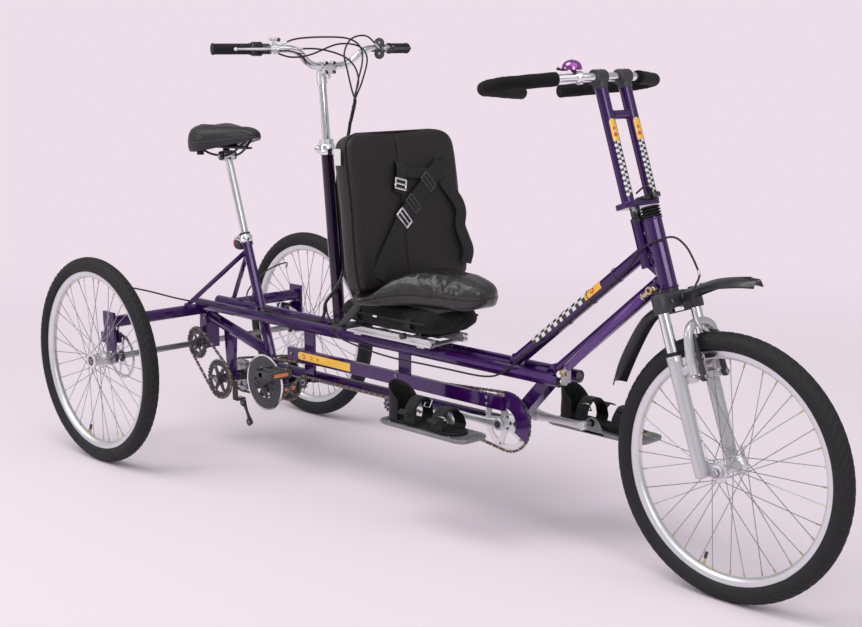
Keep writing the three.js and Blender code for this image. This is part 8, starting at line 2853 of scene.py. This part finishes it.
@dataclass
class Saddle:
    """The wide padded saddle on its pillar, with rails, clamp and springs.

    Attributes:
        base: Place that its sizes count from.
    """

    base: float = 988

    def top(self) -> None:
        """Builds the padded top with its seam line and under-shell."""
        mould = Mould("saddle_top", SADDLE_SKIN)
        table = (
            (-1034, 34, 14, 52), (-1030, 66, 0, 64), (-1018, 88, -8, 71), (-994, 99, -10, 75),
            (-962, 99, -8, 75), (-930, 88, -2, 72), (-898, 66, 6, 70),
            (-866, 47, 14, 70), (-832, 35, 22, 71), (-800, 28, 28, 69), (-778, 24, 33, 64),
            (-766, 17, 38, 56), (-763, 6, 43, 50),
        )
        rows = smooth_line([Vector((x, half, 0)) for x, half, _, _ in table], 5)
        heights = smooth_line([Vector((x, low, high)) for x, _, low, high in table], 5)
        rings = []
        for row, height in zip(rows, heights):
            half, low, high = row.y, self.base + height.y, self.base + height.z
            ring = []
            for share, up in ((0, 0.93), (0.16, 1.0), (0.42, 1.02), (0.66, 0.97), (0.84, 0.86), (0.95, 0.68),
                              (1.0, 0.42), (0.992, 0.36),
                              (1.0, 0.3), (0.985, 0.12), (0.94, 0.0), (0.9, 0.03), (0.6, 0.1), (0.3, 0.12)):
                ring.append(spot(row.x, half * share, low + (high - low) * up))
            left = [Vector((p.x, -p.y, p.z)) for p in reversed(ring[1:])]
            rings.append([*ring, spot(row.x, 0, low + (high - low) * 0.12), *left])
        mould.loft(rings)
        edge = [spot(r.x, r.y * 0.985, self.base + h.y + (h.z - h.y) * 0.36) for r, h in zip(rows, heights)]
        mould.use(BLACK_PLASTIC)
        for side in (1, -1):
            mould.tube([Vector((p.x, side * p.y, p.z)) for p in edge], 0.0014, 10)
        for side in (1, -1):
            seam = [spot(r.x, side * r.y * 0.46, self.base + h.y + (h.z - h.y) * 1.015) for r,
                    h in zip(rows[3:-3], heights[3:-3])]
            mould.use(SADDLE_SKIN).tube(seam, 0.0011, 8)
        mould.use(BLACK_PLASTIC).plate(mirrored([(-0.085, -0.058), (0.03, -0.03), (0.12, -0.012)]),
                                       spot(-925, 0, self.base + 6), X_AXIS, Y_AXIS, 0.006, 0.002)
        for side in (-1, 1):
            mould.use(DARK_STEEL).turn([(0.011 + 0.0012 * (i % 2), -0.012 + i * 0.003) for i in range(9)]
                                       + [(0.0, 0.012), (0.0, -0.012)],
                                       spot(-1000, side * 52, self.base - 10), Z_AXIS, 28)
        mould.build("saddle_set", "vinyl", ["saddle"])

    def pillar(self) -> None:
        """Builds the bright pillar, the saddle clamp and the rails."""
        way = unit(spot(-835, 0, 700) - spot(-686, 0, 254))
        top = spot(-835, 0, 700) + way * ((965 - 700) / 1000 / way.z)
        mould = Mould("saddle_pillar_tube", CHROME)
        foot = spot(-835, 0, 700) - way * 0.11
        mould.rod(foot, top, 0.0134, 44)
        for i in range(5):
            mark = spot(-835, 0, 700) + way * (0.04 + 0.012 * i)
            mould.use(DARK_STEEL).block(mark - Y_AXIS * 0.01285, (0.0012, 0.0012, 0.005), None, 0.0002)
        mould.use(ALLOY).turn(mirrored([(0.0, -0.022), (0.0145, -0.022), (0.016, -0.019)]), top, Y_AXIS, 44)
        mould.use(STEEL).rod(top - Y_AXIS * 0.03, top + Y_AXIS * 0.03, 0.0042, 20)
        for side in (-1, 1):
            mould.use(DARK_STEEL).turn([(0.0042, 0), (0.0135, 0), (0.015, 0.002), (0.015, 0.006),
                                        (0.0125, 0.0078), (0.0042, 0.0078)],
                                       top + Y_AXIS * side * 0.0215, Y_AXIS * side, 40)
            mould.use(STEEL).rod(top + Y_AXIS * side * 0.029, top + Y_AXIS * side * 0.034, 0.0072, 6)
            rail = [spot(-1002, side * 44, 984), spot(-975, side * 33, 971), spot(-945, side * 24, 966),
                    spot(-905, side * 23, 966),
                    spot(-862, side * 18, 982), spot(-806, side * 9, 1020)]
            mould.use(DARK_STEEL).tube(smooth_line(rail, 7), 0.0036, 18)
        mould.build("saddle_set", "chrome", ["saddle_pillar"])

    def build(self) -> None:
        """Builds the saddle and its pillar."""
        self.top()
        self.pillar()


@dataclass
class FootSupport:
    """One foot plate with the open shoe that holds a foot on it.

    Attributes:
        side: -1 for the right, 1 for the left.
        pin: Place of its pin, ahead and up, in millimetres.
        middle: How far its middle is from the frame's.
        base: Height of the shoe's foot below the pin.
    """

    side: int
    pin: tuple[float, float]
    middle: float = 171
    base: float = -19.4

    @property
    def name(self) -> str:
        """Returns which side it is on."""
        return SIDES[self.side]

    def at(self, x: float, y: float, z: float) -> Vector:
        """Returns a point from a place ahead of the pin, out from the shoe's middle, and above its foot."""
        return spot(self.pin[0] + x, self.side * (self.middle + y), self.pin[1] + self.base + z)

    def plate(self) -> None:
        """Builds the grey plate with its ribs, its bolts, its cheek and the pin's cap."""
        mould = Mould(f"foot_plate_{self.name}_pressed", PLATE_GREY)
        corner = mirrored([(-168, -32), (-160, -46), (-141, -53), (141, -53), (160, -46), (168, -32)])
        outline = metres((x, self.side * (y + 165 - self.middle)) for x, y in corner)
        mould.plate(outline, self.at(0, 0, -6.8), X_AXIS, Y_AXIS, 0.0112, 0.0028)
        for x in (-148, 142, 154):
            mould.tube([self.at(x, -40, -0.9), self.at(x, 28, -0.9)], 0.0022, 12)
        for x, y in ((-120, -48), (-60, -48), (40, -48), (110, -48), (-120, 40), (110, 40)):
            mould.use(STEEL).bolt(self.at(x, y, -1.2), Z_AXIS, 0.0042, 0.0022)
        cheek = [(-0.048, -0.032), (0.048, -0.032), (0.02, 0.006), (0.0125, 0.0125), (0, 0.0158),
                 (-0.0125, 0.0125), (-0.02, 0.006)]
        mould.use(PLATE_GREY).plate(cheek, (self.pin[0] / 1000, self.side * 0.115, self.pin[1] / 1000),
                                    X_AXIS, Z_AXIS, 0.006, 0.0015)
        mould.use(STEEL).bolt(spot(self.pin[0], self.side * 118.2, self.pin[1]), Y_AXIS * self.side,
                              0.0088, 0.005)
        mould.turn(mirrored([(0.0064, -0.003), (0.0105, -0.003), (0.0112, 0)]),
                   spot(self.pin[0], self.side * 115, self.pin[1]), Y_AXIS, 36)
        mould.build(f"foot_{self.name}", "grey_plate", [f"foot_plate_{self.name}"])

    def strap(self, mould: Mould, x: float, skew: float, lean: float, height: float, width: float,
              tail: float) -> None:
        """Adds one wide strap over the foot, with its overlap and loose end.

        Args:
            mould: The shoe.
            x: Where its inner foot stands.
            skew: How much further ahead its outer foot stands.
            lean: How far its crown leans outward.
            height: Height of the crown.
            width: Width of the strap.
            tail: Length of the loose end.
        """
        points = [self.at(x, -37, 5), self.at(x + skew * 0.1, -40, height * 0.42),
                  self.at(x + skew * 0.3, -25 + lean, height * 0.86),
                  self.at(x + skew * 0.5, lean, height),
                  self.at(x + skew * 0.75, 26 + lean * 0.7, height * 0.82),
                  self.at(x + skew * 0.9, 39, height * 0.4), self.at(x + skew, 36, 5)]
        path = smooth_line(points, 7)
        for line, extra, lift in ((path, 0.0, 0.0), (path[14:34], 1.0, 0.0034)):
            rings = []
            for i, point in enumerate(line):
                along = run_at(line, i)
                across = unit(X_AXIS - along * along.x)
                out = unit(along.cross(across)) * self.side
                if out.dot(point - self.at(x, 0, 20)) < 0:
                    out = -out
                half = width / 2000 - extra * 0.003
                ripple = 0.0011 * math.sin(i * 0.9 + x)
                rings.append([
                    point + across * a * half + out * (b * 0.0016 + lift + ripple * (1 - abs(a) * 0.4))
                    for a, b in (
                        (-1, 0), (-0.94, 1), (-0.4, 1), (0, 1), (0.4, 1), (0.94, 1), (1, 0), (0.94, -1),
                        (0.4, -1), (0, -1), (-0.4, -1), (-0.94, -1))
                ])
            mould.use(WEBBING if extra else GRIP_RUBBER).loft(rings)
        end = path[34]
        loose = smooth_line([end, end + spot(2, self.side * (8 + tail * 0.25), tail * 0.25),
                             end + spot(6, self.side * (14 + tail * 0.45), tail * 0.1)], 6)
        rings = []
        for i, point in enumerate(loose):
            half = width / 2600
            rings.append([point + X_AXIS * a * half + Z_AXIS * (b * 0.0014 + 0.005) for a, b in (
                (-1, 0), (-0.9, 1), (0, 1), (0.9, 1), (1, 0), (0.9, -1), (0, -1), (-0.9, -1))])
        mould.use(WEBBING).loft(rings)

    def shoe(self) -> None:
        """Builds the moulded sole, the tall heel cup, the straps and the buckle."""
        mould = Mould(f"foot_cradle_{self.name}_shoe", GRIP_RUBBER)
        half = [(-146, 12), (-142, 24), (-130, 34), (-112, 38), (-80, 37), (-40, 32), (0, 32), (40, 37),
                (78, 40), (104, 36), (120, 24), (127, 10)]
        outline = metres([*half, *((x, -y) for x, y in reversed(half))])
        mould.plate(outline, self.at(0, 0, 3.4), X_AXIS, Y_AXIS * self.side, 0.0068, 0.002)
        inner = [(a * 0.93 - 0.0005, b * 0.86) for a, b in outline]
        mould.use(FOAM).plate(inner, self.at(0, 0, 7.2), X_AXIS, Y_AXIS * self.side, 0.0026, 0.001)
        rings = []
        for step in range(33):
            turn = math.radians(-112 + 7 * step)
            share = math.cos(turn)
            tall = 40 + 64 * max(0.0, 0.5 + 0.5 * math.cos(turn * 1.1)) ** 0.7
            ring = []
            for radius, level in ((39.5, 4), (39.8, 0.3 * tall), (38.2, 0.62 * tall), (39.6, 0.94 * tall),
                                  (38.6, tall), (35.6, tall), (34.2, 0.94 * tall),
                                  (33.6, 0.62 * tall), (34.6, 0.3 * tall), (34.4, 4)):
                ring.append(self.at(-108 - radius * share, radius * math.sin(turn), level))
            rings.append(ring)
        mould.use(GRIP_RUBBER).loft(rings)
        rim = [ring[4] for ring in rings]
        mould.tube(rim, 0.0024, 12)
        pad = []
        for step in range(25):
            turn = math.radians(-72 + 6 * step)
            tall = 80 + 14 * math.cos(turn)
            ring = [self.at(-108 - radius * math.cos(turn), radius * math.sin(turn), level)
                    for radius, level in ((34, 16), (31.5, 24), (30.6, 50), (31.2, tall - 8), (34, tall))]
            pad.append([*ring, self.at(-108 - 35 * math.cos(turn), 35 * math.sin(turn), 50)])
        mould.use(FOAM).loft(pad)
        self.strap(mould, -52, 10, -3, 70, 42, 46)
        self.strap(mould, 74, -12, 4, 62, 44, 30)
        for x, y, z, turn in ((-40, -30, 52, 0.5), (84, 33, 40, -0.7)):
            centre = self.at(x, y, z)
            basis = Matrix.Rotation(self.side * turn, 3, "X")
            for across in (-0.011, 0.011):
                mould.use(STEEL).block(centre + basis @ Vector((across, 0, 0)), (0.0035, 0.0042, 0.025),
                                       basis, 0.001)
            for rise in (-0.011, 0.0, 0.011):
                mould.block(centre + basis @ Vector((0, 0, rise)), (0.025, 0.0042, 0.0034), basis, 0.001)
        for x in (-92, -30, 46, 92):
            for y in (-30, 30):
                mould.use(DARK_STEEL).bolt(self.at(x, y * 0.8, 8.2), Z_AXIS, 0.0042, 0.0018)
        mould.build(f"foot_{self.name}", "rubber", [f"foot_cradle_{self.name}"])

    def build(self) -> None:
        """Builds the plate and the shoe."""
        self.plate()
        self.shoe()


@dataclass
class Changer:
    """The gear changer that hangs under the jackshaft, with its two toothed pulleys."""

    def build(self) -> None:
        """Builds the hanger, the link, the cage, the pulleys and the cable's barrel."""
        x = JACK_AXLE[0] * 1000
        top, low = (x, 128), (x + 34, 66)
        mould = Mould("changer_cage", BLACK_PAINT)
        outline = [(-12, 146), (12, 146), (13, 160), (11, 196), (8, 207), (-8, 207), (-11, 196), (-13, 160)]
        mould.plate(metres(outline), spot(x, 12, 0), X_AXIS, Z_AXIS, 0.0058, 0.0014)
        link = [(x - 12, 10), (x + 12, 10), (x + 10, 30), (x + 9, 49), (x - 9, 49), (x - 11, 30)]
        mould.plate(metres(link), spot(0, 0, 142.8), X_AXIS, Y_AXIS, 0.006, 0.0014)
        for a in (-7, 7):
            for y in (18, 42):
                mould.use(STEEL).bolt(spot(x + a, y, 139.9), -Z_AXIS, 0.0036, 0.0018)
        mould.use(ALLOY).block(spot(x, 30, 148.6), (0.012, 0.022, 0.005), None, 0.0015)
        for (px, pz), teeth in ((top, 11), (low, 11)):
            mould.use(BLACK_PAINT).turn([(0.0, 0.0006), (0.0092, 0.0006), (0.0112, 0.003), (0.0112, 0.0055),
                                         (0.0, 0.0062)], spot(px, 44, pz), Y_AXIS, 36)
            ring = []
            for i in range(teeth * 4):
                angle = FULL_TURN * i / (teeth * 4)
                radius = (0.0137, 0.0137, 0.0112, 0.0112)[i % 4]
                ring.append((radius * math.cos(angle), radius * math.sin(angle)))
            mould.use(BLACK_PLASTIC).plate(ring, spot(px, 41, pz), X_AXIS, Z_AXIS, 0.0042, 0.0007)
            mould.use(STEEL).bolt(spot(px, 49.6, pz), Y_AXIS, 0.0045, 0.0016)
            mould.rod(spot(px, 38.2, pz), spot(px, 49.4, pz), 0.0034, 20)
        run = Vector((low[0] - top[0], low[1] - top[1])).normalized()
        side = Vector((-run.y, run.x))
        spine = [(0, 10), (8, 9), (30, 5.5), (52, 6.5), (66, 9.5), (73, 8.5), (77, 3)]
        one = [(top[0] + run.x * a + side.x * b, top[1] + run.y * a + side.y * b) for a, b in spine]
        two = [(top[0] + run.x * a - side.x * b, top[1] + run.y * a - side.y * b) for a, b in reversed(spine)]
        cap = [(top[0] - run.x * 8 - side.x * 6, top[1] - run.y * 8 - side.y * 6),
               (top[0] - run.x * 8 + side.x * 6, top[1] - run.y * 8 + side.y * 6)]
        mould.use(BLACK_PAINT).plate(metres((*one, *two, *cap)), spot(0, 47, 0), X_AXIS, Z_AXIS,
                                     0.0046, 0.0012)
        mould.use(ALLOY).rod(spot(x - 12, 30, 146), spot(x - 26, 30, 152), 0.0038, 18)
        mould.build("frame", "black_paint", ["changer"])


# Studio


@dataclass
class Studio:
    """Pale floor, pale surroundings, soft lamps and the camera.

    Attributes:
        place: Where the camera stands.
        yaw: Heading of the view in degrees.
        pitch: Tilt of the view in degrees, below zero for down.
        lens: Focal length in millimetres.
        sensor: Width of the sensor in millimetres.
        floor_size: Side of the floor.
        floor_colour: Colour of the floor.
        fade: Distances between which the floor fades into the backdrop.
        sky_colour: Colour of the backdrop.
        world_light: Strength of the light from all round.
        target: What the lamps look at.
        suns: Name, direction, width in degrees and strength of each wide light.
        lamps: Name, place and side of each soft lamp.
        lamp_power: Power of each lamp in watts.
    """

    place: Point = (2.948, -2.835, 1.331)
    yaw: float = 45.836
    pitch: float = -10.614
    lens: float = 60.7
    sensor: float = 36.0
    floor_size: float = 60.0
    floor_colour: Colour = (0.86, 0.765, 0.825)
    fade: tuple[float, float] = (1.9, 5.2)
    sky_colour: Colour = (0.85, 0.735, 0.82)
    world_light: float = 0.42
    target: Point = (0, 0, 0.6)
    suns: tuple[tuple[str, Point, float, float], ...] = (
        ("sun_key", (-0.35, -0.55, 1.0), 45, 1.05), ("sun_fill", (0.9, -0.25, 1.1), 70, 0.65),
    )
    lamps: tuple[tuple[str, Point, float], ...] = (
        ("lamp_over", (-0.4, -1.2, 3.4), 1.5), ("lamp_front", (3.4, -1.6, 2.2), 1.2),
        ("lamp_side", (-2.2, -3.2, 1.9), 1.3),
    )
    lamp_power: float = 16

    def camera(self) -> None:
        """Sets the camera at the photographed angle."""
        data = bpy.data.cameras.new("camera")
        data.lens, data.sensor_width = self.lens, self.sensor
        data.clip_end = 200.0
        camera = bpy.data.objects.new("camera", data)
        camera.location = self.place
        camera.rotation_euler = (math.radians(90 + self.pitch), 0, math.radians(self.yaw))
        bpy.context.scene.collection.objects.link(camera)
        bpy.context.scene.camera = camera

    def floor(self) -> None:
        """Lays the floor that the object stands on."""
        mesh = bpy.data.meshes.new("studio_floor")
        half = self.floor_size / 2
        mesh.from_pydata([(-half, -half, 0), (half, -half, 0), (half, half, 0), (-half, half, 0)], [],
                         [(0, 1, 2, 3)])
        floor = bpy.data.objects.new("studio_floor", mesh)
        bpy.context.scene.collection.objects.link(floor)
        material = bpy.data.materials.new("studio_floor")
        material.use_nodes = True
        tree = Tree(material.node_tree)
        material.node_tree.nodes.clear()
        shader = tree.add("BsdfPrincipled", {
            "Base Color": (*self.floor_colour, 1), "Roughness": 0.7, "Specular IOR Level": 0.1,
        })
        far = tree.add("Emission", {"Color": (*self.sky_colour, 1), "Strength": 1.0})
        place = tree.add("NewGeometry")
        away = tree.add("VectorMath", {0: place.outputs["Position"]}, operation="LENGTH")
        fade = tree.add("MapRange", {
            "Value": away.outputs["Value"], "From Min": self.fade[0], "From Max": self.fade[1],
        }, interpolation_type="SMOOTHSTEP")
        paths = tree.add("LightPath")
        plain = tree.maths("MAXIMUM", paths.outputs["Is Camera Ray"], paths.outputs["Is Glossy Ray"])
        share = tree.maths("MULTIPLY", fade.outputs["Result"], plain)
        mixed = tree.add("MixShader", {0: share, 1: shader.outputs[0], 2: far.outputs[0]})
        tree.join(mixed.outputs[0], tree.add("OutputMaterial").inputs["Surface"])
        mesh.materials.append(material)
        floor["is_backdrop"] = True

    def surroundings(self) -> None:
        """Lights the scene from all round, and shows a plain pale backdrop."""
        world = bpy.data.worlds.new("studio")
        world.use_nodes = True
        bpy.context.scene.world = world
        tree = Tree(world.node_tree)
        world.node_tree.nodes.clear()
        seen = tree.add("Background", {"Color": (*self.sky_colour, 1), "Strength": 1.0})
        light = tree.add("Background", {"Color": (0.97, 0.95, 1.0, 1), "Strength": self.world_light})
        paths = tree.add("LightPath")
        plain = tree.maths("MAXIMUM", paths.outputs["Is Camera Ray"], paths.outputs["Is Transmission Ray"])
        mixed = tree.add("MixShader", {0: plain, 1: light.outputs[0], 2: seen.outputs[0]})
        output = tree.add("OutputWorld")
        tree.join(mixed.outputs[0], output.inputs["Surface"])

    def lamp(self, name: str, place: Point, target: Point, size: float, power: float) -> None:
        """Hangs a soft square lamp.

        Args:
            name: Name of the lamp.
            place: Where it hangs.
            target: What it looks at.
            size: Side of its face.
            power: Power in watts.
        """
        data = bpy.data.lights.new(name, "AREA")
        data.shape, data.size, data.energy = "SQUARE", size, power
        lamp = bpy.data.objects.new(name, data)
        lamp.location = place
        lamp.rotation_euler = (Vector(target) - Vector(place)).to_track_quat("-Z", "Y").to_euler()
        bpy.context.scene.collection.objects.link(lamp)

    def sun(self, name: str, place: Point, spread_angle: float, strength: float) -> None:
        """Lights the whole scene evenly from one side.

        Args:
            name: Name of the light.
            place: Direction that the light comes from.
            spread_angle: Width of the light in degrees; wide means soft shadows.
            strength: Strength of the light.
        """
        data = bpy.data.lights.new(name, "SUN")
        data.angle, data.energy = math.radians(spread_angle), strength
        light = bpy.data.objects.new(name, data)
        light.rotation_euler = Vector(place).to_track_quat("Z", "Y").to_euler()
        bpy.context.scene.collection.objects.link(light)

    def build(self) -> None:
        """Sets the camera, floor, surroundings and lamps."""
        self.camera()
        self.floor()
        self.surroundings()
        for name, place, spread_angle, strength in self.suns:
            self.sun(name, place, spread_angle, strength)
        for name, place, size in self.lamps:
            self.lamp(name, place, self.target, size, self.lamp_power)
        bpy.context.scene.view_settings.view_transform = "Standard"


PARTS: list = [
    Wheel("front", "front_wheel_set", (1.050, 0, 0.330), 0.046, 0.013, 0.025),
    Wheel("right", "right_wheel_set", (-1.050, -0.438, 0.330), 0.024, 0.017, 0.027),
    Wheel("left", "left_wheel_set", (-1.050, 0.438, 0.330), 0.024, 0.017, 0.027),
    Crankset("captain_crankset", "captain_cranks", "black_paint", REAR_CRANK, 25, BLACK_PAINT, DARK_STEEL,
             0.0, True),
    Crankset("front_crankset", "front_cranks", "alloy", FRONT_CRANK, 180, ALLOY, ALLOY, 0.043, False),
    Pedal(-1, 25, "pedal_right", "captain_pedal_right"),
    Pedal(1, 205, "pedal_left", "captain_pedal_left"),
    RunningGear(),
    Seat(),
    Fork(),
    CaptainBar(),
    FrontBar(),
    FrameDetails(),
    Saddle(),
    FootSupport(-1, (203, 322)),
    FootSupport(1, (533, 322)),
    Changer(),
]


def main() -> None:
    """Builds the studio, dresses the solids and builds each sub-assembly."""
    logging.basicConfig(level=logging.INFO, format="%(message)s")
    make_effects()
    Studio().build()
    for finish, names in NODE_FINISHES.items():
        for name in names:
            dress(name, finish)
    for part in PARTS:
        part.build()
    for low, high in (CAD_BOX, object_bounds()):
        LOG.info("box from %s to %s", tuple(low), tuple(high))


if __name__ == "__main__":
    main()
